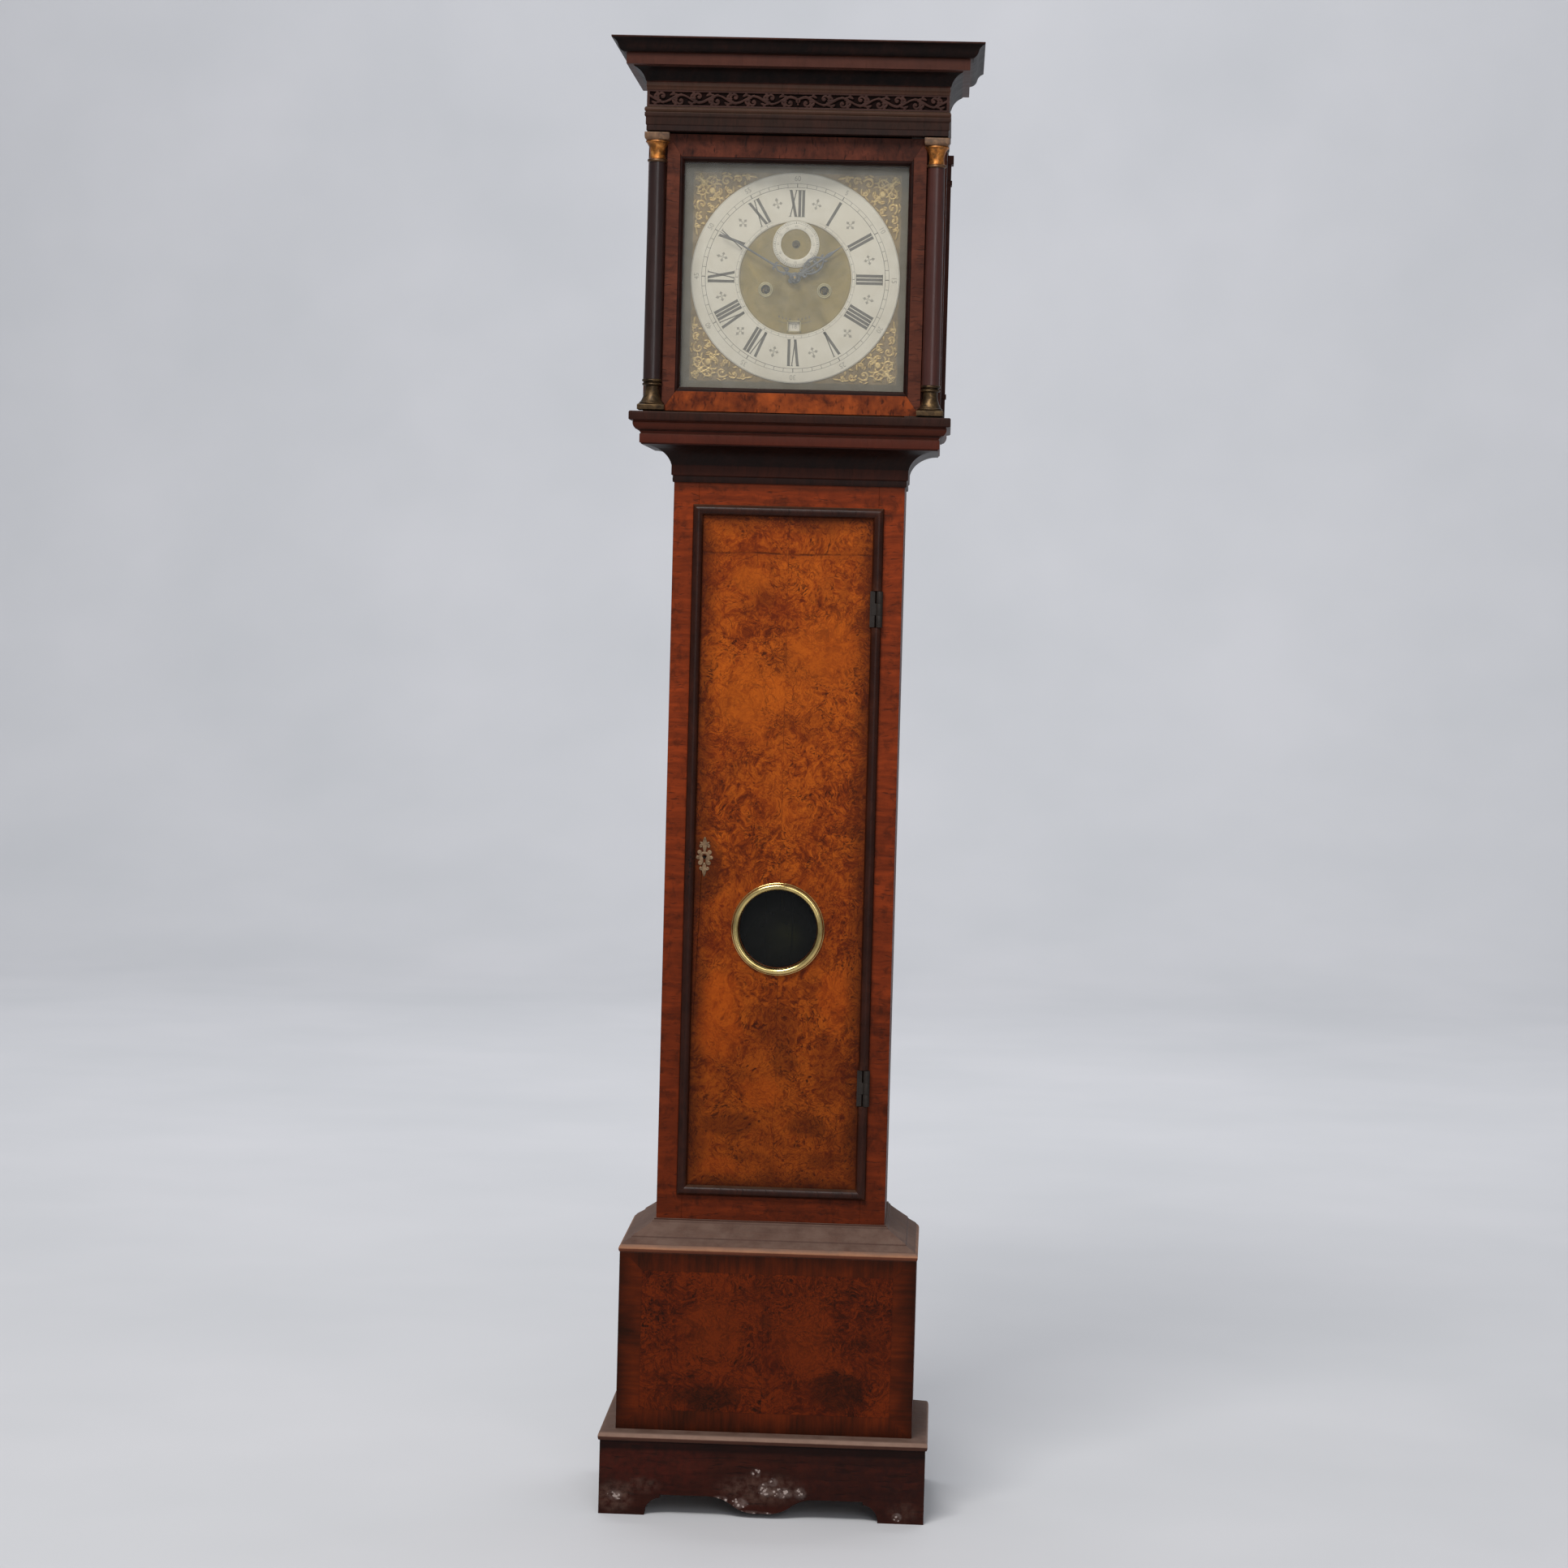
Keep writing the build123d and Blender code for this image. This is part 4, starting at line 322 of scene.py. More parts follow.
def grain_walnut(name, light, dark, line, axis, gloss=0.36, freq=260.0, across=9.0, figure=0.6, dust=0.35, worn=0.25,
                 worn_color=None, mottled=0.35, spots=None, dust_color=None, coat=0.0, up_range=(0.6, 0.95), bands=(), spec=0.09, grain_mix=1.0,
                 tint=(1, 1, 1), shade_fall=None, sides=None):
    """Straight-grained veneer. axis is the direction the grain runs: 'x', 'z', or 'cross' for short grain
    across a moulding that runs round three sides."""
    M = Mat(name)
    x, y, z = M.sep(M.pos)[:3]
    wob = M.math("MULTIPLY", M.math("SUBTRACT", M.noise(M.pos, 16, 3), 0.5), 0.016)
    if axis == "x":
        p = M.comb(M.math("MULTIPLY", x, across), M.math("MULTIPLY", y, freq), M.math("MULTIPLY", M.math("ADD", z, wob), freq))
    elif axis == "z":
        p = M.comb(M.math("MULTIPLY", M.math("ADD", x, wob), freq), M.math("MULTIPLY", y, freq), M.math("MULTIPLY", z, across))
    else:
        s = M.math("ADD", M.math("ADD", x, M.math("MULTIPLY", y, 0.93)), wob)
        p = M.comb(M.math("MULTIPLY", s, freq), 0.0, M.math("MULTIPLY", z, across * 2.2))
    g = M.noise(p, 1.0, 5, 0.6)
    g2 = M.noise(M.vmath("MULTIPLY", p, (0.2, 0.2, 0.6)), 1.0, 4, 0.6, 0.4)
    c = M.ramp(M.math("ADD", M.math("MULTIPLY", g, 0.5), M.math("MULTIPLY", g2, 0.5)), [(0.34, dark), (0.62, light)])
    pores = M.noise(M.vmath("MULTIPLY", p, (3.5, 3.5, 2.5)), 1.0, 2, 0.5)
    pm = M.range(pores, 0.60, 0.70)
    c = M.mix(M.math("MULTIPLY", pm, 0.7 * grain_mix), c, line)
    fig = M.range(M.noise(M.pos, 20, 4, 0.6, 0.8), 0.40, 0.66)
    c = M.mix(M.math("MULTIPLY", fig, figure), c, dark)
    mot = M.range(M.noise(M.vmath("ADD", M.pos, (4.0, 2.0, 1.0)), 60, 5, 0.65, 0.4), 0.5, 0.68)
    c = M.mix(M.math("MULTIPLY", mot, mottled), c, line)
    if worn:
        w = M.math("MULTIPLY", M.edge_wear(0.51, 0.60), M.range(M.noise(M.pos, 90, 4), 0.35, 0.65, 0.0, worn))
        c = M.mix(w, c, worn_color or light)
    if spots:
        for px, pz, rx, rz, ink, amount in spots:
            u = M.math("DIVIDE", M.math("SUBTRACT", x, px), rx)
            v = M.math("DIVIDE", M.math("SUBTRACT", z, pz), rz)
            d = M.math("ADD", M.math("MULTIPLY", u, u), M.math("MULTIPLY", v, v))
            fade = M.range(d, 0.1, 1.0, 1.0, 0.0, smooth=True)
            dots = M.voro(M.vmath("ADD", M.pos, (px, 0.0, pz)), 210, "F1")
            dots = M.math("ADD", dots, M.math("MULTIPLY", M.math("SUBTRACT", M.noise(M.vmath("ADD", M.pos, (pz, 0.4, px)), 330, 3, 0.55), 0.5), 0.9))
            hit = M.math("SUBTRACT", M.math("MULTIPLY", fade, 0.46), dots)
            k = M.math("MULTIPLY", M.range(hit, 0.0, 0.14, 0.0, amount * 0.85), M.range(fade, 0.05, 0.25))
            if amount < 0.72:
                k = 0.0
                fade = M.math("MULTIPLY", fade, 2.6)
            rub = M.math("MULTIPLY", fade, M.range(M.noise(M.vmath("ADD", M.pos, (pz, 1.0, px)), 120, 4, 0.6), 0.35, 0.65, 0.0, 0.26 * amount))
            c = M.mix(rub, c, ink)
            c = M.mix(k, c, ink)
    # colour bands at given heights; on the mouldings and frame they hold painted shade, painted shadows and painted
    # highlights
    for z0, z1, soft, ink, amount in bands:
        zz = M.math("ADD", z, M.math("MULTIPLY", M.math("SUBTRACT", M.noise(M.pos, 60, 3), 0.5), soft))
        k = M.math("MULTIPLY", M.range(zz, z0 - soft, z0 + soft), M.range(zz, z1 - soft, z1 + soft, 1.0, 0.0))
        k = M.math("MULTIPLY", k, M.range(M.noise(M.pos, 45, 5, 0.65), 0.25, 0.60, amount * 0.72, amount))
        c = M.mix(k, c, ink)
    if sides is not None:                                # painted shade on the left column, painted light on the right one
        c = M.mix(M.range(x, -0.02, 0.02), M.tinted(c, sides[0], None), M.tinted(c, sides[1], None))
    rough = M.math("ADD", gloss, M.math("MULTIPLY", M.noise(M.pos, 55, 4), 0.2))
    if dust:
        du = M.math("MULTIPLY", M.up(*up_range), M.range(M.noise(M.pos, 36, 5, 0.65), 0.2, 0.62, 0.35 * dust, dust))
        c = M.mix(du, c, dust_color or col(120, 106, 94))
        rough = M.math("ADD", rough, M.math("MULTIPLY", du, 0.35), clamp=True)
    n = M.bump(M.math("SUBTRACT", M.math("MULTIPLY", g, 0.5), pm), 0.30, 0.0005)
    n = M.bump(M.noise(M.pos, 24, 3), 0.12, 0.002, n)
    # tint, then painted shade that darkens the lower part when a height range is given
    M.surface(M.tinted(c, tint, shade_fall), rough, normal=n, coat=coat, coat_rough=0.25, spec=spec)
    return M.m


def oak(name, light=col(118, 84, 52), dark=col(74, 50, 30)):
    M = Mat(name)
    p = M.stretch(M.pos, 180, 180, 8)
    g = M.noise(p, 1.0, 5, 0.65, 0.3)
    c = M.ramp(g, [(0.32, dark), (0.66, light)])
    ray = M.range(M.noise(M.stretch(M.pos, 500, 500, 60), 1.0, 2), 0.62, 0.7)
    c = M.mix(M.math("MULTIPLY", ray, 0.6), c, col(52, 36, 24))
    st = M.range(M.noise(M.pos, 9, 4, 0.6, 0.5), 0.45, 0.7, 0, 0.6)
    c = M.mix(st, c, col(60, 44, 32))
    c = M.mix(M.math("MULTIPLY", M.up(), 0.5), c, col(132, 120, 106))
    M.surface(c, M.range(M.noise(M.pos, 60, 3), 0.2, 0.8, 0.6, 0.85), normal=M.bump(M.math("SUBTRACT", g, ray), 0.4, 0.0007), spec=0.3)
    return M.m


def metal(name, bright, dull, rough=(0.25, 0.5), scale=60.0, tarnish=0.5, brushed=None, grime=None, spec=0.5, pit=0.15, metal=1.0, hue=None, zone=None, front=None):
    """Aged metal: clouded tarnish, grime in hollows, brush or turning marks, fine pitting."""
    M = Mat(name)
    cloud = M.noise(M.pos, scale, 5, 0.62, 0.6)
    t = M.range(cloud, 0.35, 0.68, 0.0, tarnish)
    c = M.mix(t, bright, dull)
    if hue is not None:
        c = M.mix(M.range(M.noise(M.pos, scale * 0.37, 3, 0.5, 0.8), 0.45, 0.7, 0, 0.6), c, hue)
    if front is not None:                                # another metal in front of a plane
        y = M.sep(M.pos)[1]
        c = M.mix(M.range(y, front[0] - 0.001, front[0] + 0.001, 0.95, 0.0), c, front[1])
    if zone is not None:                                 # another tone outside a square about (0, zone height); on the dial plate it is painted shade next to the door frame
        x, y, z = M.sep(M.pos)[:3]
        out = M.math("MAXIMUM", M.math("ABSOLUTE", x), M.math("ABSOLUTE", M.math("SUBTRACT", z, zone[0])))
        out = M.math("ADD", out, M.math("MULTIPLY", M.math("SUBTRACT", M.noise(M.pos, 70, 4), 0.5), 0.005))
        c = M.mix(M.range(out, zone[1] - 0.001, zone[1] + 0.001, 0.0, 0.85), c, zone[2])
    hollow = M.range(M.geo.outputs["Pointiness"], 0.40, 0.505, 1.0, 0.0)
    c = M.mix(M.math("MULTIPLY", hollow, 0.85 if grime else 0.0), c, grime or dull)
    speck = M.range(M.noise(M.pos, 1500, 3, 0.6), 0.62, 0.72)
    c = M.mix(M.math("MULTIPLY", speck, pit * 2), c, grime or dull)
    r = M.range(M.noise(M.pos, scale * 2.5, 4), 0.3, 0.7, *rough)
    h = M.math("MULTIPLY", M.noise(M.pos, 700, 3), 0.5)
    if brushed == "turned_y":
        x, y, z = M.sep(M.pos)[:3]
        h = M.noise(M.comb(0.0, M.math("MULTIPLY", y, 2600.0), 0.0), 1.0, 2)
    elif brushed == "vertical":
        h = M.noise(M.stretch(M.pos, 2400, 2400, 30), 1.0, 3)
    elif brushed == "grain":
        h = M.noise(M.stretch(M.pos, 60, 2400, 2400), 1.0, 3)
    M.surface(c, r, metal, M.bump(M.math("SUBTRACT", h, M.math("MULTIPLY", speck, pit)), 0.25, 0.0003), spec=spec)
    return M.m


def mount_metal():
    """Cast brass of the caps and bases: lacquer left gold in the middle, dull grey-brown on the blocks."""
    M = Mat("column_brass")
    x, y, z = M.sep(M.pos)[:3]
    cl = M.noise(M.pos, 95, 5, 0.62, 0.6)
    gold = M.ramp(cl, [(0.36, col(120, 76, 36)), (0.55, col(190, 120, 56)), (0.7, col(214, 152, 84))])
    pale = M.ramp(cl, [(0.38, col(48, 37, 26)), (0.56, col(84, 65, 43)), (0.72, col(122, 98, 64))])
    dull = M.ramp(cl, [(0.36, col(56, 44, 36)), (0.65, col(92, 76, 62))])
    low = M.math("LESS_THAN", z, 1.65)
    c = M.mix(low, gold, pale)
    block = M.range(z, 1.8262, 1.8282)
    ring = M.range(z, 1.8046, 1.8036)
    c = M.mix(M.math("MULTIPLY", M.math("ADD", block, M.math("MULTIPLY", ring, M.math("GREATER_THAN", z, 1.7))), 0.85, clamp=True), c, dull)
    hollow = M.range(M.geo.outputs["Pointiness"], 0.40, 0.505, 0.85, 0.0)
    c = M.mix(hollow, c, col(48, 36, 24))
    side = M.range(M.noise(M.pos, 180, 4), 0.5, 0.66, 0.0, 0.6)
    c = M.mix(side, c, col(74, 58, 40))
    M.surface(c, M.range(cl, 0.3, 0.7, 0.32, 0.5), M.range(block, 0.0, 1.0, 0.85, 0.35), M.bump(M.noise(M.pos, 600, 3), 0.25, 0.0003))
    return M.m


# ================================================================ mesh helpers
def build(name, verts, faces, mat, body, slot=None, replaces=(), angle=32, bevel=None, seg=2, weld=False, mats=None, index=None):
    me = bpy.data.meshes.new(name)
    me.from_pydata([tuple(c * 0.001 for c in v) for v in verts], [], faces)
    me.validate(clean_customdata=False)
    me.update()
    ob = bpy.data.objects.new(name, me)
    bpy.context.scene.collection.objects.link(ob)
    for mm in (mats or [mat]):
        me.materials.append(mm)
    if index is not None:
        for p, i in zip(me.polygons, index):
            p.material_index = i
    for p in me.polygons:
        p.use_smooth = True
    if angle is not None:
        me.set_sharp_from_angle(angle=radians(angle))
    if bevel:
        b = ob.modifiers.new("edge", "BEVEL")
        b.width = bevel * 0.001
        b.segments = seg
        b.limit_method = "ANGLE"
        b.angle_limit = radians(28)
        b.harden_normals = False
    if body:
        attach(ob, body)
    if replaces:
        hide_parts(*replaces)
    return ob


class Soup:
    """Collects pieces of mesh into one object."""

    def __init__(self):
        self.v, self.f, self.i = [], [], []

    def add(self, verts, faces, mat=0):
        o = len(self.v)
        self.v += [tuple(p) for p in verts]
        self.f += [tuple(o + k for k in f) for f in faces]
        self.i += [mat] * len(faces)
        return self

    def to(self, name, mat, body, **kw):
        if kw.get("mats"):
            kw["index"] = self.i
        return build(name, self.v, self.f, mat, body, **kw)


def arc(p0, p1, p2, n=8):
    """Points on the circle through three 2-D points, from p0 (left out) to p2."""
    ax, ay = p0
    bx, by = p1
    cx, cy = p2
    d = 2 * (ax * (by - cy) + bx * (cy - ay) + cx * (ay - by))
    if abs(d) < 1e-9:
        return [p2]
    ux = ((ax * ax + ay * ay) * (by - cy) + (bx * bx + by * by) * (cy - ay) + (cx * cx + cy * cy) * (ay - by)) / d
    uy = ((ax * ax + ay * ay) * (cx - bx) + (bx * bx + by * by) * (ax - cx) + (cx * cx + cy * cy) * (bx - ax)) / d
    r = sqrt((ax - ux) ** 2 + (ay - uy) ** 2)
    a0, a1, a2 = (atan2(p[1] - uy, p[0] - ux) for p in (p0, p1, p2))
    d1, d2 = (a1 - a0) % (2 * pi), (a2 - a0) % (2 * pi)
    if d1 > d2:
        d2 -= 2 * pi
    return [(ux + r * cos(a0 + d2 * k / n), uy + r * sin(a0 + d2 * k / n)) for k in range(1, n + 1)]


def outline(start, *steps, n=8):
    pts = [start]
    for s in steps:
        if isinstance(s[0], tuple):
            pts += arc(pts[-1], s[0], s[1], n)
        else:
            pts.append(s)
    if abs(pts[-1][0] - pts[0][0]) + abs(pts[-1][1] - pts[0][1]) < 1e-6:
        pts.pop()
    return pts


def soften(pts, r=0.6, closed=True, keep_x_below=0.6):
    """Rounds the sharp corners of an outline, but not those on the hidden back edge."""
    out = []
    n = len(pts)
    for i, p in enumerate(pts):
        a, b = np.array(pts[i - 1]), np.array(pts[(i + 1) % n])
        q = np.array(p, float)
        u, v = a - q, b - q
        lu, lv = np.linalg.norm(u), np.linalg.norm(v)
        if (not closed and i in (0, n - 1)) or lu < 1e-6 or lv < 1e-6 or p[0] < keep_x_below:
            out.append(tuple(p))
            continue
        turn = pi - math.acos(max(-1, min(1, float(u @ v) / lu / lv)))
        if turn < 0.35:
            out.append(tuple(p))
            continue
        t = min(r, lu * 0.4, lv * 0.4)
        p0, p1 = q + u / lu * t, q + v / lv * t
        for k in range(4):
            s = k / 3
            out.append(tuple(p0 * (1 - s) ** 2 + 2 * q * s * (1 - s) + p1 * s * s))
    return out


def ripple(*k):
    s = sum(sin(v * f + ph) for v, f, ph in zip(k, (0.031, 0.047, 0.023), (0.4, 1.9, 2.7)))
    return s / 3


def moulding(soup, profile, x_ref, y_ref, y_back, step=9.0, wobble=0.12, mat=0):
    """Sweeps a (outward, height) outline round three sides with mitred corners."""
    stations = []
    L = y_back - y_ref
    for k in range(int(L // step) + 1, 0, -1):
        stations.append(("L", L * k / (int(L // step) + 1)))
    stations.append(("CL", 0))
    nf = int(2 * x_ref // step)
    for k in range(1, nf):
        stations.append(("F", -x_ref + 2 * x_ref * k / nf))
    stations.append(("CR", 0))
    for k in range(1, int(L // step) + 2):
        stations.append(("R", L * k / (int(L // step) + 1)))
    verts, faces, m = [], [], len(profile)
    for kind, t in stations:
        for j, (o, h) in enumerate(profile):
            w = 0.0 if o < 1.0 else wobble * ripple(t * 7 + (0 if kind == "F" else 91), j * 3.1, h)
            oo, hh = o + w, h
            if kind == "L":
                verts.append((-(x_ref + oo), y_ref + t, hh))
            elif kind == "R":
                verts.append((x_ref + oo, y_ref + t, hh))
            elif kind == "CL":
                verts.append((-(x_ref + o), y_ref - o, hh))
            elif kind == "CR":
                verts.append((x_ref + o, y_ref - o, hh))
            else:
                verts.append((t, y_ref - oo, hh))
    for s in range(len(stations) - 1):
        for j in range(m):
            a, b = s * m + j, s * m + (j + 1) % m
            faces.append((a, b, b + m, a + m))
    faces.append(tuple(range(m - 1, -1, -1)))
    faces.append(tuple((len(stations) - 1) * m + j for j in range(m)))
    soup.add(verts, faces, mat)
    return soup


def lathe(soup, centre, profile, axis="z", n=64, mat=0, wobble=0.0, cap=True, a0=0.0):
    """Turns a (radius, along) outline. Axis z stands up, axis y runs back from the dial."""
    verts, faces, m = [], [], len(profile)
    cx, cy, cz = centre
    for k in range(n):
        a = a0 + 2 * pi * k / n
        for r, h in profile:
            rr = r
            if axis == "z":
                verts.append((cx + rr * cos(a), cy + rr * sin(a), cz + h))
            else:
                verts.append((cx + rr * cos(a), cy + h, cz + rr * sin(a)))
    for k in range(n):
        for j in range(m - 1):
            a, b = k * m + j, ((k + 1) % n) * m + j
            f = (a, b, b + 1, a + 1)
            faces.append(f if axis == "z" else tuple(reversed(f)))
    soup.add(verts, faces, mat)
    return soup


def slab(soup, lo, hi, r=0.0, mat=0):
    """Box with optional chamfered edges."""
    (x0, y0, z0), (x1, y1, z1) = lo, hi
    if r <= 0:
        v = [(x, y, z) for z in (z0, z1) for y in (y0, y1) for x in (x0, x1)]
        f = [(0, 2, 3, 1), (4, 5, 7, 6), (0, 1, 5, 4), (2, 6, 7, 3), (0, 4, 6, 2), (1, 3, 7, 5)]
        soup.add(v, f, mat)
        return soup
    v, idx = [], {}
    for ix, x in enumerate((x0, x1)):
        for iy, y in enumerate((y0, y1)):
            for iz, z in enumerate((z0, z1)):
                sx, sy, sz = (1 if ix == 0 else -1), (1 if iy == 0 else -1), (1 if iz == 0 else -1)
                for k, d in enumerate(((0, r, r), (r, 0, r), (r, r, 0))):
                    idx[ix, iy, iz, k] = len(v)
                    v.append((x + sx * d[0], y + sy * d[1], z + sz * d[2]))
    f = []
    g = lambda *a: idx[a]
    for ix in (0, 1):
        q = [g(ix, 0, 0, 0), g(ix, 1, 0, 0), g(ix, 1, 1, 0), g(ix, 0, 1, 0)]
        f.append(tuple(q if ix else q[::-1]))
    for iy in (0, 1):
        q = [g(0, iy, 0, 1), g(1, iy, 0, 1), g(1, iy, 1, 1), g(0, iy, 1, 1)]
        f.append(tuple(q[::-1] if iy else q))
    for iz in (0, 1):
        q = [g(0, 0, iz, 2), g(1, 0, iz, 2), g(1, 1, iz, 2), g(0, 1, iz, 2)]
        f.append(tuple(q if iz else q[::-1]))
    for iy in (0, 1):
        for iz in (0, 1):
            q = [g(0, iy, iz, 1), g(1, iy, iz, 1), g(1, iy, iz, 2), g(0, iy, iz, 2)]
            f.append(tuple(q if iy != iz else q[::-1]))
    for ix in (0, 1):
        for iz in (0, 1):
            q = [g(ix, 0, iz, 0), g(ix, 1, iz, 0), g(ix, 1, iz, 2), g(ix, 0, iz, 2)]
            f.append(tuple(q if ix == iz else q[::-1]))
    for ix in (0, 1):
        for iy in (0, 1):
            q = [g(ix, iy, 0, 0), g(ix, iy, 1, 0), g(ix, iy, 1, 1), g(ix, iy, 0, 1)]
            f.append(tuple(q if ix != iy else q[::-1]))
    for ix in (0, 1):
        for iy in (0, 1):
            for iz in (0, 1):
                q = [g(ix, iy, iz, 0), g(ix, iy, iz, 1), g(ix, iy, iz, 2)]
                f.append(tuple(q if (ix + iy + iz) % 2 else q[::-1]))
    soup.add(v, f, mat)
    return soup


class Sheet:
    """A flat ornament drawn as a distance-like field on a grid, then cut out and domed."""

    def __init__(self, x0, x1, z0, z1, h):
        self.x0, self.z0, self.h = x0, z0, h
        self.nx, self.nz = int(round((x1 - x0) / h)) + 1, int(round((z1 - z0) / h)) + 1
        self.X = x0 + np.arange(self.nx)[None, :] * h
        self.Z = z0 + np.arange(self.nz)[:, None] * h
        self.F = np.full((self.nz, self.nx), -99.0)

    def disk(self, x, z, r):
        m = r + 2.5
        i0, i1 = max(0, int((x - m - self.x0) / self.h)), min(self.nx, int((x + m - self.x0) / self.h) + 2)
        j0, j1 = max(0, int((z - m - self.z0) / self.h)), min(self.nz, int((z + m - self.z0) / self.h) + 2)
        if i0 >= i1 or j0 >= j1:
            return
        d = r - np.sqrt((self.X[:, i0:i1] - x) ** 2 + (self.Z[j0:j1] - z) ** 2)
        np.maximum(self.F[j0:j1, i0:i1], d, out=self.F[j0:j1, i0:i1])

    def stroke(self, pts, widths):
        """pts: list of (x, z); widths: half widths, one per point."""
        for (p, q, a, b) in zip(pts[:-1], pts[1:], widths[:-1], widths[1:]):
            d = sqrt((q[0] - p[0]) ** 2 + (q[1] - p[1]) ** 2)
            k = max(1, int(d / max(0.25, min(a, b) * 0.35)))
            for i in range(k):
                t = i / k
                self.disk(p[0] + (q[0] - p[0]) * t, p[1] + (q[1] - p[1]) * t, a + (b - a) * t)

    def spiral(self, cx, cz, r0, a0, turn, w0, w1, r1=0.6, bud=0.0):
        n = 26
        pts = [(cx + (r0 + (r1 - r0) * (k / n) ** 0.85) * cos(a0 + turn * k / n),
                cz + (r0 + (r1 - r0) * (k / n) ** 0.85) * sin(a0 + turn * k / n)) for k in range(n + 1)]
        self.stroke(pts, [w0 + (w1 - w0) * k / n for k in range(n + 1)])
        if bud:
            self.disk(cx, cz, bud)

    def leaf(self, x, z, ang, length, w, curl=0.0):
        n = 9
        pts, ws = [], []
        a, px, pz = ang, x, z
        for k in range(n + 1):
            t = k / n
            pts.append((px, pz))
            ws.append(max(0.12, w * sin(pi * (0.12 + 0.86 * t)) ** 0.8))
            px += length / n * cos(a)
            pz += length / n * sin(a)
            a += curl / n
        self.stroke(pts, ws)

    def keep(self, field):
        self.F = np.minimum(self.F, field)

    def cut(self, soup, y, thick, dome, w, back=True, mat=0, flip_x=False, flip_z=None, base=0.25):
        """Front of the ornament stands dome + base in front of y; edges drop to base."""
        F, h = self.F, self.h
        H = base + dome * np.clip(F / w, 0, 1) ** 0.6
        vid, verts, faces, rim = {}, [], [], []

        def node(j, i):
            k = (0, j, i)
            if k not in vid:
                vid[k] = len(verts)
                verts.append((self.x0 + i * h, y - H[j, i], self.z0 + j * h))
            return vid[k]

        def cross(j0, i0, j1, i1):
            k = (1, min(j0, j1), min(i0, i1), 0 if j0 == j1 else 1)
            if k not in vid:
                a, b = F[j0, i0], F[j1, i1]
                t = a / (a - b)
                vid[k] = len(verts)
                verts.append((self.x0 + (i0 + (i1 - i0) * t) * h, y - base, self.z0 + (j0 + (j1 - j0) * t) * h))
            return vid[k]

        I = F > 0
        any_in = I[:-1, :-1] | I[1:, :-1] | I[:-1, 1:] | I[1:, 1:]
        for j, i in zip(*np.nonzero(any_in)):
            c = [(j, i), (j, i + 1), (j + 1, i + 1), (j + 1, i)]
            s = [bool(I[q]) for q in c]
            if all(s):
                faces.append(tuple(node(*q) for q in c))
                continue
            if sum(s) == 2 and s[0] == s[2]:
                for k in range(4):
                    if s[k]:
                        a, b = cross(*c[k], *c[(k + 1) % 4]), cross(*c[k], *c[k - 1])
                        faces.append((node(*c[k]), a, b))
                        rim.append((a, b))
                continue
            poly, edge = [], []
            for k in range(4):
                q, r = c[k], c[(k + 1) % 4]
                if s[k]:
                    poly.append(node(*q))
                if s[k] != s[(k + 1) % 4]:
                    v = cross(*q, *r)
                    poly.append(v)
                    edge.append((v, s[k]))
            if len(poly) > 2:
                faces.append(tuple(poly))
                if len(edge) == 2:
                    a, b = edge
                    rim.append((a[0], b[0]) if a[1] else (b[0], a[0]))
        # the sheet's own border, where the field is still positive
        def border(seq):
            for p, q in zip(seq[:-1], seq[1:]):
                if I[p] and I[q]:
                    rim.append((node(*p), node(*q)))
        border([(0, i) for i in range(self.nx)][::1])
        border([(j, self.nx - 1) for j in range(self.nz)])
        border([(self.nz - 1, i) for i in range(self.nx - 1, -1, -1)])
        border([(j, 0) for j in range(self.nz - 1, -1, -1)])
        low = {}
        yb = y + thick

        def under(v):
            if v not in low:
                low[v] = len(verts)
                verts.append((verts[v][0], yb, verts[v][2]))
            return low[v]

        side = [(b, a, under(a), under(b)) for a, b in rim]
        if back:
            for f in list(faces):
                faces.append(tuple(under(v) for v in reversed(f)))
        faces += side
        if flip_x:
            verts = [(-v[0], v[1], v[2]) for v in verts]
            faces = [tuple(reversed(f)) for f in faces]
        if flip_z is not None:
            verts = [(v[0], v[1], 2 * flip_z - v[2]) for v in verts]
            faces = [tuple(reversed(f)) for f in faces]
        soup.add(verts, faces, mat)
        return soup


def flat_poly(soup, pts, y, mat=0):
    """Flat n-gon in the dial plane facing the viewer; pts are (x, z)."""
    area = sum(a[0] * b[1] - b[0] * a[1] for a, b in zip(pts, pts[1:] + pts[:1]))
    if area < 0:
        pts = pts[::-1]
    soup.add([(x, y, z) for x, z in pts], [tuple(range(len(pts)))], mat)


def flat_ring(soup, cx, cz, r0, r1, y, n=180, mat=0, a0=0.0, a1=2 * pi):
    full = abs(a1 - a0 - 2 * pi) < 1e-6
    k = n if full else n + 1
    v, f = [], []
    for i in range(k):
        a = a0 + (a1 - a0) * i / n
        v += [(cx + r0 * cos(a), y, cz + r0 * sin(a)), (cx + r1 * cos(a), y, cz + r1 * sin(a))]
    for i in range(n):
        a, b = 2 * i, (2 * ((i + 1) % k))
        f.append((a, a + 1, b + 1, b))
    soup.add(v, f, mat)


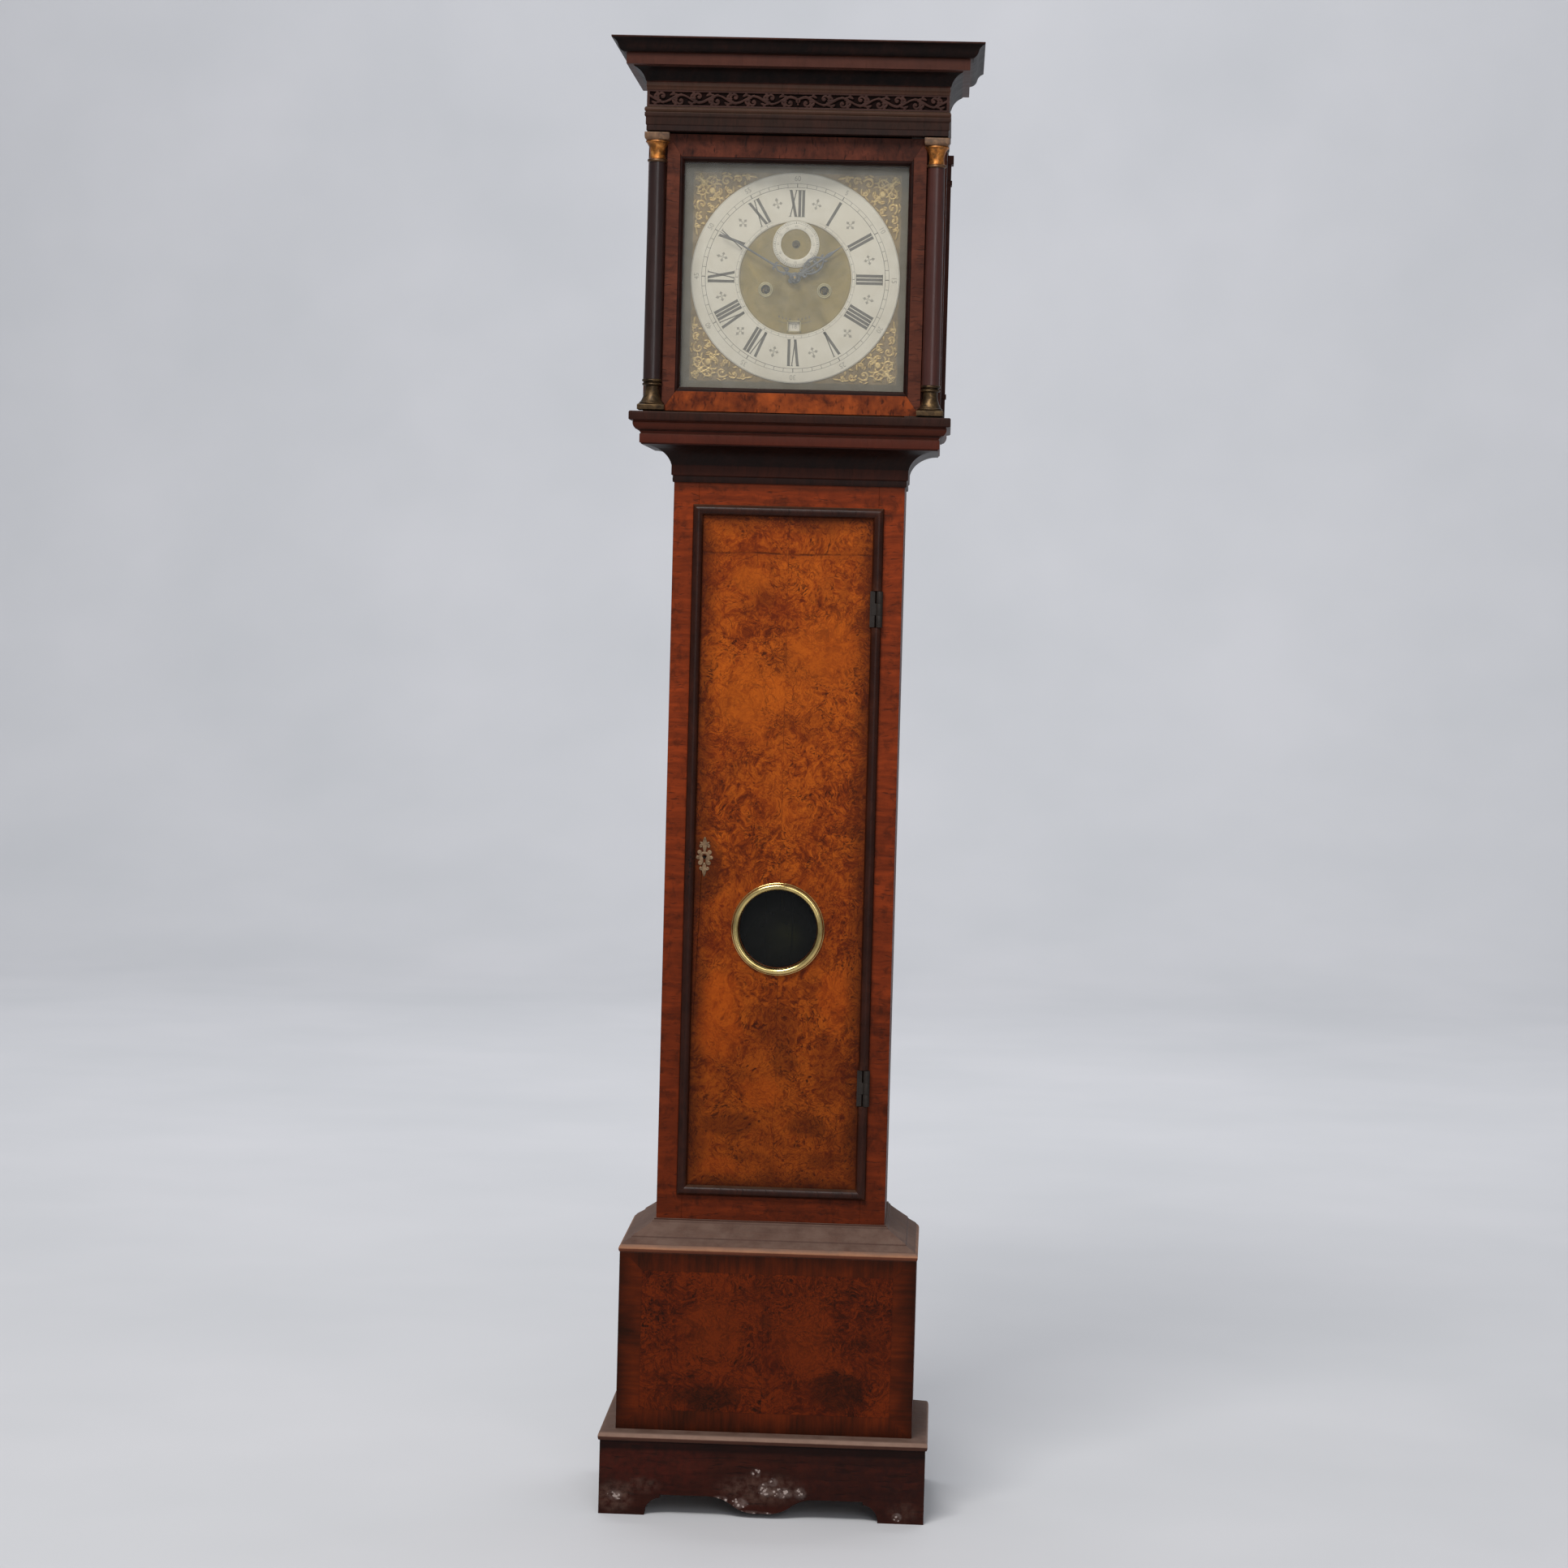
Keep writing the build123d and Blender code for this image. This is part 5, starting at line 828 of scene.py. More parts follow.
# ================================================================ materials
mat = {}
BACK_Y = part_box("trunk_door_panel")[0][1] + 0.002
# Painted shade: the door darkens downwards from 1.05 m to 0.44 m, where it gets less light.
mat["door"] = burr_walnut("door_burr", col(176, 92, 26), col(142, 66, 17), col(92, 36, 11), col(50, 20, 9), seam=0.0015,
                          joint_z=1.288, back=(BACK_Y, col(62, 36, 20), col(100, 62, 34)), tint=(0.95, 0.80, 0.58), shade_fall=(0.44, 1.05, 0.65), tone_at=(-0.1135, 0.1135, 0.4365, 1.337), red=col(112, 42, 14),
                          patches=[(-0.10, 0.86, 0.03, 0.05, col(58, 22, 10), 0.7), (0.055, 1.16, 0.05, 0.06, col(178, 92, 24), 0.35),
                                   (-0.045, 1.09, 0.05, 0.06, col(182, 94, 24), 0.30), (-0.052, 1.255, 0.03, 0.02, col(182, 96, 26), 0.35),
                                   (0.0, 0.66, 0.04, 0.04, col(74, 26, 11), 0.45), (0.03, 1.06, 0.04, 0.02, col(88, 34, 12), 0.3),
                                   (-0.03, 1.225, 0.018, 0.014, col(88, 34, 12), 0.35), (0.075, 0.60, 0.03, 0.05, col(84, 30, 12), 0.4),
                                   (0.0, 0.790, 0.115, 0.080, col(100, 36, 13), 0.42), (-0.075, 0.665, 0.034, 0.060, col(190, 88, 20), 0.42),
                                   (0.080, 0.690, 0.026, 0.050, col(186, 84, 20), 0.30), (-0.060, 0.520, 0.040, 0.018, col(66, 24, 11), 0.5),
                                   (-0.020, 0.565, 0.034, 0.026, col(184, 84, 20), 0.34), (0.044, 0.520, 0.030, 0.016, col(70, 26, 11), 0.45),
                                   (0.066, 0.475, 0.034, 0.014, col(62, 22, 11), 0.5), (-0.070, 0.462, 0.030, 0.014, col(176, 80, 22), 0.32),
                                   (0.012, 0.610, 0.020, 0.030, col(60, 22, 11), 0.42)])
mat["base_burr"] = burr_walnut("base_burr", col(118, 46, 14), col(92, 33, 12), col(56, 20, 9), col(28, 13, 8), seam=-0.004,
                               gloss=0.38, tint=(0.76, 0.68, 0.40), tone_at=(-0.1985, 0.1985, 0.108, 0.352), red=col(84, 28, 11),
                               band=(-0.168, 0.168, 0.138, 0.326), band_colors=(col(52, 22, 11), col(84, 32, 13), col(110, 43, 15)),
                               patches=[(-0.07, 0.25, 0.045, 0.04, col(122, 50, 16), 0.35), (0.055, 0.24, 0.05, 0.05, col(120, 48, 15), 0.3),
                                        (0.0, 0.262, 0.009, 0.010, col(40, 20, 13), 0.42), (0.10, 0.17, 0.04, 0.03, col(40, 17, 10), 0.6),
                                        (-0.08, 0.155, 0.06, 0.02, col(38, 18, 11), 0.6), (0.145, 0.118, 0.045, 0.012, col(140, 62, 26), 0.55),
                                        (0.045, 0.118, 0.022, 0.010, col(24, 14, 10), 0.8)])
# Painted shade darkens the frame downwards from 1.0 m; the dark band at 1.372-1.40 m is a painted shadow under the
# throat moulding.
mat["stile"] = grain_walnut("case_crossband", col(122, 50, 22), col(74, 28, 13), col(34, 14, 8), "x", freq=130, across=15,
                            figure=0.55, dust=0.0, worn=0.15, mottled=0.6, tint=(1.28, 1.10, 0.70), shade_fall=(0.39, 1.0, 0.60), bands=((1.372, 1.40, 0.003, col(50, 22, 12), 0.6),))
mat["side"] = grain_walnut("case_side_veneer", col(98, 44, 22), col(60, 26, 14), col(34, 15, 9), "z", freq=90, across=6,
                           figure=0.55, dust=0.0, worn=0.1, tint=(0.92, 0.8, 0.6))
# Near-black for painted shade. Throat and ledge bands, bottom to top: painted shade under the bead and in the cavetto
# of the throat, lighter painted light on its fillet and upper fascia and on the ledge's ogee, which face the lamp; the
# band on the ledge nosing is its own darker brown.
SHADE_DARK = col(15, 10, 8)
mat["moulding"] = grain_walnut("crossgrain_moulding", col(72, 34, 22), col(40, 19, 14), col(20, 10, 8), "cross", freq=200,
                               across=8, figure=0.5, dust=0.5, worn=0.35, worn_color=col(112, 62, 40), spec=0.12, tint=(0.66, 0.54, 0.42),
                               bands=((1.4025, 1.4285, 0.0012, SHADE_DARK, 0.75), (1.4290, 1.4455, 0.0008, col(104, 48, 34), 0.55),
                                      (1.4475, 1.4585, 0.0008, col(92, 44, 30), 0.6), (1.4595, 1.4712, 0.0008, col(46, 28, 22), 0.55),
                                      (1.3885, 1.4020, 0.0008, col(66, 34, 26), 0.4), (1.378, 1.3885, 0.0006, SHADE_DARK, 0.6)))
mat["lip"] = grain_walnut("door_lip", col(66, 34, 24), col(38, 19, 14), col(20, 10, 8), "cross", freq=150, across=9, figure=0.5,
                          dust=0.35, worn=0.30, worn_color=col(120, 78, 60), spec=0.16, gloss=0.26, tint=(0.66, 0.52, 0.40),
                          spots=[(-0.121, 0.867, 0.010, 0.030, col(20, 12, 9), 1.0)])
# Cornice bands, bottom to top: a greyer brown on the architrave, lighter painted light on the architrave's ovolo, the
# fillets above the fret and the corona, which face the lamp, and painted shade in the cavetto and on the cyma, which
# face down away from it.
mat["cornice"] = grain_walnut("cornice_moulding", col(96, 48, 36), col(52, 25, 19), col(26, 13, 10), "cross", freq=200,
                              across=8, figure=0.45, dust=0.6, worn=0.3, worn_color=col(118, 72, 52), tint=(0.46, 0.50, 0.48),
                              bands=((1.9377, 1.9555, 0.0008, col(17, 12, 11), 0.92), (1.9225, 1.9372, 0.0006, col(112, 66, 56), 0.6),
                                     (1.9045, 1.9215, 0.0008, col(13, 9, 8), 0.94), (1.8930, 1.9030, 0.0006, col(92, 62, 48), 0.6),
                                     (1.8636, 1.8716, 0.0006, col(92, 64, 50), 0.65), (1.8480, 1.8630, 0.0008, col(54, 40, 34), 0.65),
                                     (1.8390, 1.8480, 0.0008, col(50, 42, 40), 0.65)))
# Slope and capping bands: a worn pale edge with a painted highlight on the nosing's upper half, a darker tan on its
# lower half as painted shade below the highlight, painted shade at the small step and in the crease against the trunk;
# on the plinth capping, painted shade on the lower half of the nosing and a painted highlight on its upper half.
mat["slope"] = grain_walnut("base_top_veneer", col(88, 60, 48), col(60, 40, 32), col(36, 22, 18), "x", freq=150,
                            across=6, figure=0.35, dust=0.85, worn=0.55, worn_color=col(150, 112, 84),
                            dust_color=col(124, 112, 101), up_range=(0.15, 0.75), tint=(0.78, 0.62, 0.60), mottled=0.5,
                            bands=((0.3546, 0.3600, 0.0006, col(194, 152, 116), 0.85), (0.3500, 0.3544, 0.0006, col(122, 76, 54), 0.75), (0.3655, 0.3700, 0.0006, col(62, 42, 34), 0.45),
                                   (0.3850, 0.3905, 0.0006, col(70, 48, 38), 0.6), (0.0992, 0.1040, 0.0006, col(84, 62, 52), 0.5),
                                   (0.1045, 0.1100, 0.0006, col(176, 158, 140), 0.75)))
SCUFF = col(246, 236, 226)
RUB = col(150, 124, 108)
# The dark band at 0.088-0.101 m is a painted shadow under the capping moulding; the scuffs and rubs are real wear.
mat["plinth"] = grain_walnut("plinth_veneer", col(82, 36, 24), col(50, 23, 16), col(26, 13, 10), "x", freq=100, across=9, tint=(0.50, 0.44, 0.44),
                             figure=0.6, dust=0.0, worn=0.35, worn_color=col(112, 80, 60),
                             bands=((0.088, 0.101, 0.002, col(24, 13, 10), 0.8),),
                             spots=[(0.15, 0.05, 0.15, 0.09, col(44, 26, 26), 0.71), (-0.15, 0.07, 0.10, 0.05, col(128, 46, 30), 0.35),
                                    (0.000, 0.040, 0.070, 0.026, RUB, 0.50), (-0.196, 0.024, 0.030, 0.026, RUB, 0.60),
                                    (-0.160, 0.040, 0.030, 0.014, RUB, 0.35), (0.190, 0.016, 0.026, 0.018, RUB, 0.25),
                                    (-0.054, 0.022, 0.016, 0.009, SCUFF, 0.95), (-0.028, 0.020, 0.014, 0.009, SCUFF, 0.95),
                                    (0.006, 0.040, 0.012, 0.012, SCUFF, 0.75), (0.028, 0.036, 0.018, 0.009, SCUFF, 0.85),
                                    (0.052, 0.036, 0.010, 0.010, SCUFF, 0.74), (0.182, 0.009, 0.008, 0.007, SCUFF, 0.9),
                                    (-0.196, 0.026, 0.012, 0.010, SCUFF, 0.73), (-0.020, 0.006, 0.05, 0.006, SCUFF, 0.73),
                                    (-0.008, 0.062, 0.008, 0.008, SCUFF, 0.74), (0.016, 0.050, 0.008, 0.007, SCUFF, 0.74)])
mat["hood_side"] = grain_walnut("hood_side_veneer", col(84, 40, 28), col(52, 25, 18), col(30, 14, 11), "z", freq=120, across=7,
                                figure=0.5, dust=0.0, worn=0.15, tint=(0.72, 0.64, 0.55))
mat["hood_door_rail"] = grain_walnut("hood_door_bottom_rail", col(206, 98, 38), col(106, 44, 21), col(50, 20, 13), "z", freq=70, tint=(0.54, 0.53, 0.58), mottled=0.7,
                                     across=30, figure=0.75, dust=0.0, worn=0.2, worn_color=col(176, 100, 54))
mat["hood_door_top"] = grain_walnut("hood_door_top_rail", col(128, 58, 42), col(66, 29, 22), col(34, 14, 12), "z", freq=90, tint=(0.49, 0.60, 0.54),
                                    across=26, figure=0.7, mottled=0.6, dust=0.0, worn=0.15, worn_color=col(128, 70, 50))
mat["hood_door_stile"] = grain_walnut("hood_door_stile_veneer", col(108, 50, 36), col(72, 32, 24), col(38, 16, 13), "x", freq=140, tint=(0.76, 0.94, 0.86), mottled=0.6,
                                      across=16, figure=0.55, dust=0.0, worn=0.15, worn_color=col(132, 76, 54))
mat["sight"] = grain_walnut("sight_moulding", col(52, 26, 20), col(32, 16, 13), col(18, 9, 8), "x", freq=150, across=14, tint=(0.6, 0.5, 0.45),
                            figure=0.4, dust=0.3, worn=0.2, worn_color=col(90, 54, 42))
# Painted shade on the left column and painted light on the right one, through the sides tints.
mat["column"] = grain_walnut("column_wood", col(74, 44, 38), col(56, 33, 29), col(38, 22, 20), "z", freq=120, across=5, gloss=0.24,
                             figure=0.35, dust=0.0, worn=0.0, coat=0.08, spec=0.3, tint=(0.62, 0.54, 0.54), mottled=0.2, grain_mix=0.4, sides=((0.55, 0.66, 0.70), (1.45, 1.30, 1.25)))
mat["fret"] = grain_walnut("fret_wood", col(84, 60, 52), col(58, 40, 35), col(34, 21, 19), "x", freq=220, across=20, gloss=0.45, tint=(0.58, 0.50, 0.50),
                           figure=0.35, dust=0.5, worn=0.35, worn_color=col(112, 80, 66))
mat["fret_ground"] = grain_walnut("fret_ground", col(22, 9, 7), col(12, 6, 5), col(8, 4, 4), "x", freq=220, across=20, gloss=0.7,
                                  figure=0.3, dust=0.0, worn=0.0, spec=0.05, coat=0.0)
mat["mask"] = grain_walnut("dial_mask_wood", col(70, 38, 28), col(46, 25, 20), col(28, 15, 12), "z", freq=150, across=10, gloss=0.5,
                           figure=0.4, dust=0.3, worn=0.1)
mat["oak"] = oak("carcass_oak")
mat["gilt"] = metal("gilt_brass", col(238, 208, 140), col(176, 144, 86), (0.3, 0.5), 90, 0.6, grime=col(92, 72, 42), metal=0.5)
mat["collar"] = metal("collar_brass", col(196, 186, 148), col(160, 150, 112), (0.35, 0.55), 90, 0.6, grime=col(96, 88, 62), metal=0.4)
mat["mount"] = mount_metal()
mat["bezel"] = metal("bezel_brass", col(222, 196, 130), col(120, 100, 58), (0.14, 0.26), 24, 0.7, grime=col(70, 54, 28), pit=0.03)
mat["dial"] = metal("matted_brass", col(176, 156, 98), col(130, 116, 74), (0.55, 0.75), 22, 0.9, grime=col(98, 88, 60), pit=0.3, metal=0.25)
# zone: painted shade on the outer strip of the dial plate, next to the door frame.
mat["dial_edge"] = metal("dull_dial_edge", col(158, 132, 84), col(112, 92, 58), (0.55, 0.75), 60, 0.8, grime=col(74, 68, 50), pit=0.3, metal=0.25,
                         zone=(1.655, 0.1385, col(90, 80, 58)))
mat["silver"] = metal("silvered_brass", col(246, 241, 228), col(226, 218, 200), (0.45, 0.62), 26, 0.55, grime=col(160, 148, 122), metal=0.08, pit=0.1)
mat["wax_pale"] = metal("worn_wax", col(176, 171, 160), col(150, 145, 134), (0.4, 0.6), 200, 0.6, metal=0.0, pit=0.1)
mat["wax"] = metal("black_wax", col(92, 90, 86), col(110, 106, 100), (0.4, 0.6), 200, 0.6, metal=0.0, pit=0.1)
mat["blued"] = metal("blued_steel", col(112, 116, 122), col(98, 96, 94), (0.3, 0.5), 80, 0.6, grime=col(66, 66, 68), hue=col(96, 104, 118), metal=0.35)
mat["brass"] = metal("movement_brass", col(206, 170, 98), col(150, 116, 62), (0.25, 0.45), 60, 0.5, grime=col(84, 62, 34), brushed="vertical")
mat["barrel"] = metal("barrel_brass", col(206, 170, 98), col(150, 116, 62), (0.25, 0.45), 60, 0.5, grime=col(84, 62, 34), brushed="vertical",
                      metal=0.7, front=(-0.0115, col(58, 52, 40)))
# Dark brass for painted shade in the winding holes and round the seconds hole.
mat["soot"] = metal("painted_hole_shade", col(96, 88, 64), col(72, 66, 50), (0.6, 0.8), 120, 0.6, grime=col(50, 44, 34), metal=0.1)
mat["bell"] = metal("bell_metal", col(190, 164, 112), col(140, 112, 70), (0.22, 0.4), 50, 0.5, grime=col(90, 70, 42))
mat["dark_brass"] = metal("dark_brass", col(40, 32, 27), col(24, 19, 16), (0.45, 0.65), 90, 0.7, grime=col(16, 12, 10), metal=0.1, spec=0.25)
mat["escutcheon"] = metal("aged_escutcheon", col(140, 112, 84), col(82, 64, 46), (0.4, 0.6), 150, 0.9, grime=col(30, 24, 18), metal=0.3, spec=0.3)
mat["steel"] = metal("bright_steel", col(170, 170, 172), col(110, 108, 106), (0.25, 0.45), 70, 0.5, grime=col(60, 54, 48))
mat["iron"] = metal("dark_iron", col(74, 70, 66), col(50, 44, 40), (0.5, 0.7), 80, 0.7, grime=col(60, 40, 28))
mat["weight"] = metal("weight_brass", col(200, 164, 96), col(146, 112, 62), (0.2, 0.4), 40, 0.5, grime=col(80, 60, 34), brushed="vertical")


def gut_material():
    M = Mat("twisted_gut")
    x, y, z = M.sep(M.pos)[:3]
    tw = M.math("SINE", M.math("ADD", M.math("MULTIPLY", z, 2600.0), M.math("MULTIPLY", x, 3000.0)))
    c = M.ramp(M.noise(M.pos, 90, 4), [(0.3, col(120, 92, 54)), (0.7, col(176, 144, 92))])
    c = M.mix(M.range(tw, 0.2, 1.0, 0.0, 0.5), c, col(84, 62, 38))
    M.surface(c, 0.5, normal=M.bump(tw, 0.5, 0.0003))
    return M.m


def glass_material(name, veil, tint, streak_scale=9.0, rough=0.03, ior_gloss=0.08, dark=0.0):
    """Old window glass: mostly clear, a thin dusty veil with wiping streaks, and a faint reflection."""
    M = Mat(name)
    tr = M.t.nodes.new("ShaderNodeBsdfTransparent")
    tr.inputs[0].default_value = tint
    df = M.t.nodes.new("ShaderNodeBsdfDiffuse")
    dust = M.ramp(M.noise(M.pos, 60, 4), [(0.3, col(176, 176, 170)), (0.7, col(200, 200, 194))])
    M.put(df.inputs[0], dust)
    gl = M.t.nodes.new("ShaderNodeBsdfGlossy")
    gl.inputs["Roughness"].default_value = rough
    wav = M.noise(M.stretch(M.pos, 1.0, 1.0, 0.35), 16, 2)
    nb = M.bump(wav, 0.12, 0.002)
    M.put(gl.inputs["Normal"], nb)
    st = M.noise(M.stretch(M.pos, 1.0, 1.0, 0.3), streak_scale, 4, 0.6, 0.8)
    f = M.range(st, 0.3, 0.7, veil * 0.8, veil * 1.15)
    mx = M.t.nodes.new("ShaderNodeMixShader")
    M.put(mx.inputs[0], f)
    M.t.links.new(tr.outputs[0], mx.inputs[1])
    M.t.links.new(df.outputs[0], mx.inputs[2])
    fr = M.t.nodes.new("ShaderNodeFresnel")
    fr.inputs[0].default_value = 1.45
    mx2 = M.t.nodes.new("ShaderNodeMixShader")
    M.put(mx2.inputs[0], M.math("MULTIPLY", fr.outputs[0], ior_gloss / 0.04, clamp=True))
    M.t.links.new(mx.outputs[0], mx2.inputs[1])
    M.t.links.new(gl.outputs[0], mx2.inputs[2])
    M.t.links.new(mx2.outputs[0], M.out.inputs[0])
    return M.m


mat["gut"] = gut_material()
mat["hood_glass"] = glass_material("hood_glass", 0.13, (0.985, 0.98, 0.965, 1), ior_gloss=0.02)
mat["lenticle_glass"] = glass_material("lenticle_glass", 0.010, (0.34, 0.38, 0.38, 1), ior_gloss=0.03)


def polish(node, key, bevel=None, weld=True):
    """A CAD node keeps its shape and gets a finish; its edges are eased."""
    o = NODES[node]
    o.data.materials.clear()
    o.data.materials.append(mat[key])
    if bevel:
        if weld:
            w = o.modifiers.new("weld", "WELD")
            w.merge_threshold = 0.00001
        b = o.modifiers.new("edge", "BEVEL")
        b.width = bevel * 0.001
        b.segments = 2
        b.limit_method = "ANGLE"
        b.angle_limit = radians(32)
    return o


for n in ("backboard", "trunk_sides_inner"):
    if n in NODES:
        polish(n, "oak", 0.6)
for n in ("base_floor_board", "seatboard", "hood_top_board"):
    polish(n, "oak", 0.8)
polish("trunk_sides", "side", 0.6)
polish("trunk_front_frame", "stile", 0.5)
polish("base_front_panel", "base_burr", 0.8)
polish("base_sides", "side", 0.7)
polish("plinth_boards", "plinth", 0.9)
polish("hood_sides", "hood_side", 0.6)
polish("dial_mask", "mask", 0.5)
polish("trunk_door_panel", "door", 0.4)
polish("trunk_lock_case", "iron", 0.4)
polish("lock_bolt", "steel", 0.3)
polish("case_hinge_leaves", "dark_brass", 0.25)
polish("door_hinge_leaves", "dark_brass", 0.25)
polish("hood_door_hinges", "dark_brass", 0.2)
polish("hood_door_glass", "hood_glass")
polish("lenticle_glass", "lenticle_glass")
for n in ("front_plate", "back_plate", "movement_pillars", "back_cock", "third_wheel", "centre_wheel", "going_great_wheel",
          "strike_great_wheel", "pin_wheel", "minute_wheel", "pendulum"):
    polish(n, "brass")
for n in ("front_plate", "back_plate", "back_cock"):
    pass
polish("going_barrel", "barrel")
polish("strike_barrel", "barrel")
polish("escape_wheel", "barrel")
polish("bell", "bell")
for n in ("anchor_and_crutch", "hammer"):
    polish(n, "steel")
polish("date_ring", "silver")
for n in ("going_weight", "strike_weight"):
    polish(n, "weight")

# ================================================================ case mouldings
BASE_HW, TRUNK_HW = 198.5, 154.0
CAPPING = soften(outline((0, 99.5), (20.5, 99.5), ((21.8, 105), (20.3, 109.5)), (19, 110.3), (0, 111.5)), 0.8)
s = moulding(Soup(), CAPPING, BASE_HW, -100, 145)
s.to("plinth_moulding_piece", mat["slope"], "case", slot="case_moulding", replaces=["plinth_moulding"])

SLOPE = soften(outline((0, 350), (44.5, 350), ((46.2, 354.5), (44, 359)), (42.6, 359.8), (41.6, 361.4), (30.5, 367.6),
                       (29.6, 369.8), ((17, 377.6), (5.5, 385.2)), (4.6, 387.2), (2.6, 387.8), (2.5, 390), (0, 390), n=10), 0.6)
s = moulding(Soup(), SLOPE, TRUNK_HW, -55, 145)
s.to("base_top_moulding_piece", mat["slope"], "case", slot="case_moulding", replaces=["base_top_moulding"])

THROAT = soften(outline((0, 1380), (2, 1380), (2.4, 1384), (2, 1388.2), (4, 1389.5), (4, 1402),
                        ((8.0, 1411.5), (15.4, 1419.4)), ((28, 1425.9), (42.4, 1428.0)), (42.6, 1429.6), (44.5, 1430.0), (44.5, 1441.4),
                        (43.4, 1442.0), (43.2, 1443.4), (44.5, 1444.0), (44.5, 1446), (0, 1446), n=9), 0.5)
s = moulding(Soup(), THROAT, TRUNK_HW, -55, 145)
s.to("throat_moulding_piece", mat["moulding"], "case", slot="case_moulding", replaces=["throat_moulding"])

LEDGE = soften(outline((0, 1446), (44.0, 1446), (44.0, 1446.9), (46.2, 1447.4), ((49.2, 1451.0), (50.4, 1456.6)), (49.6, 1457.4), (49.6, 1458.4),
                       (54.0, 1458.9), (55.4, 1460.0), (55.5, 1469.4), (54.3, 1471), (0, 1471), n=7), 0.4)
s = moulding(Soup(), LEDGE, 157, -58, 143)
s.to("hood_base_moulding_piece", mat["moulding"], "hood", slot="case_moulding", replaces=["hood_base_moulding"])

EN_X, EN_Y = 184.0, -85.0
ARCH = soften(outline((0, 1840), (15, 1840), (15, 1847), (16, 1848), (16, 1857), (17.5, 1859), (17.5, 1863.5),
                      (16, 1864), ((17.9, 1867.5), (16, 1871)), (13.4, 1871.4), (12.2, 1871.4), (12.2, 1893), (0, 1893), n=6), 0.5)
s = moulding(Soup(), ARCH, EN_X, EN_Y, 143)
slab(s, (-183.9, EN_Y + 0.1, 1840), (183.9, -46, 1864))
s.to("hood_entablature_piece", mat["cornice"], "hood", slot="case_moulding", replaces=["hood_entablature"])

CORNICE = soften(outline((0, 1893), (15.5, 1893), (15.5, 1896.5), (16.3, 1898.5), (15.5, 1903.5), (17, 1904.5), ((21.6, 1914.4), (31, 1921.3)),
                         (32.5, 1923), (41, 1923), (41.0, 1937), (43, 1937.5), ((48.5, 1940.5), (51.5, 1946)),
                         ((54, 1951), (58.5, 1954.2)), (60, 1955), (60, 1957.5), (0, 1957.5), n=8), 0.6)
s = moulding(Soup(), CORNICE, EN_X, EN_Y, 143)
s.to("cornice_piece", mat["cornice"], "hood", slot="case_moulding", replaces=["cornice"])


# ================================================================ frieze fret
def rinceau(sheet, x0, x1, zc, amp, wave, mirror_at=None):
    """Running scroll with leaves along a band."""
    n = int((x1 - x0) / 0.8)
    ph = lambda x: (x - x0) / wave * 2 * pi
    pts = [(x0 + (x1 - x0) * k / n, zc + amp * 0.55 * sin(ph(x0 + (x1 - x0) * k / n))) for k in range(n + 1)]
    sheet.stroke(pts, [1.5 + 0.3 * sin(i * 0.13) for i in range(len(pts))])
    k = 0
    x = x0 + wave / 4
    while x < x1 + wave:
        s = 1 if k % 2 == 0 else -1
        cx, cz = x + wave * 0.02, zc - s * amp * 0.30
        sheet.spiral(cx, cz, amp * 0.92, s * pi * 0.55, -s * 2 * pi * 1.05, 1.6, 1.2, r1=1.2, bud=2.0)
        for q, (da, ln) in enumerate(((0.9, 6.4), (0.25, 7.6), (-0.45, 6.4))):
            sheet.leaf(cx + amp * 0.5 * cos(s * da), cz + s * amp * 0.7 * sin(da), s * (1.05 - q * 0.75), ln, 1.9, -s * 0.9)
        sheet.leaf(x - wave * 0.26, zc + s * amp * 0.3, s * 2.2, 7.4, 1.8, s * 0.8)
        sheet.leaf(x - wave * 0.20, zc - s * amp * 0.5, -s * 2.5, 6.4, 1.7, -s * 0.9)
        sheet.leaf(x + wave * 0.16, zc + s * amp * 0.62, s * 0.5, 7.0, 1.6, s * 1.1)
        x += wave / 2
        k += 1


Z0, Z1 = 1871.5, 1893.0
fr = Sheet(-0.4, 199, Z0, Z1, 0.42)
rinceau(fr, -2, 200, (Z0 + Z1) / 2, 8.6, 48.0)
for i in range(fr.nx):                                  # top and bottom rails of the fret
    pass
fr.F = np.maximum(fr.F, 1.9 - np.abs(fr.Z - (Z0 + 0.4)) + 0 * fr.X)
fr.F = np.maximum(fr.F, 1.9 - np.abs(fr.Z - (Z1 - 0.4)) + 0 * fr.X)
fr.F = np.maximum(fr.F, 3.0 - np.abs(fr.X - 198.5) + 0 * fr.Z)
fr.disk(0, (Z0 + Z1) / 2, 3.2)
s = Soup()
fr.cut(s, -99.2, 1.6, 0.55, 1.0, base=0.2)
fr.cut(s, -99.2, 1.6, 0.55, 1.0, base=0.2, flip_x=True)
side = Sheet(-97, 143, Z0, Z1, 0.5)
rinceau(side, -98, 146, (Z0 + Z1) / 2, 8.6, 48.0)
side.F = np.maximum(side.F, 1.9 - np.abs(side.Z - (Z0 + 0.4)) + 0 * side.X)
side.F = np.maximum(side.F, 1.9 - np.abs(side.Z - (Z1 - 0.4)) + 0 * side.X)
side.F = np.maximum(side.F, 3.0 - np.abs(side.X + 97) + 0 * side.Z)
side.F = np.maximum(side.F, 3.0 - np.abs(side.X - 143) + 0 * side.Z)
t = Soup()
side.cut(t, 0, 1.6, 0.55, 1.0, base=0.2)
for sg in (1, -1):
    vv = [(sg * (198.2 - v[1]), v[0], v[2]) for v in t.v]
    s.add(vv, [f if sg > 0 else tuple(reversed(f)) for f in t.f])
s.to("frieze_fret_piece", mat["fret"], "hood", slot="fret_wood", replaces=["frieze_fret"], angle=50)
g = Soup()
slab(g, (-196.4, -97.4, Z0), (196.4, -96.6, Z1))
slab(g, (196.2, -97.0, Z0), (196.8, 143, Z1))
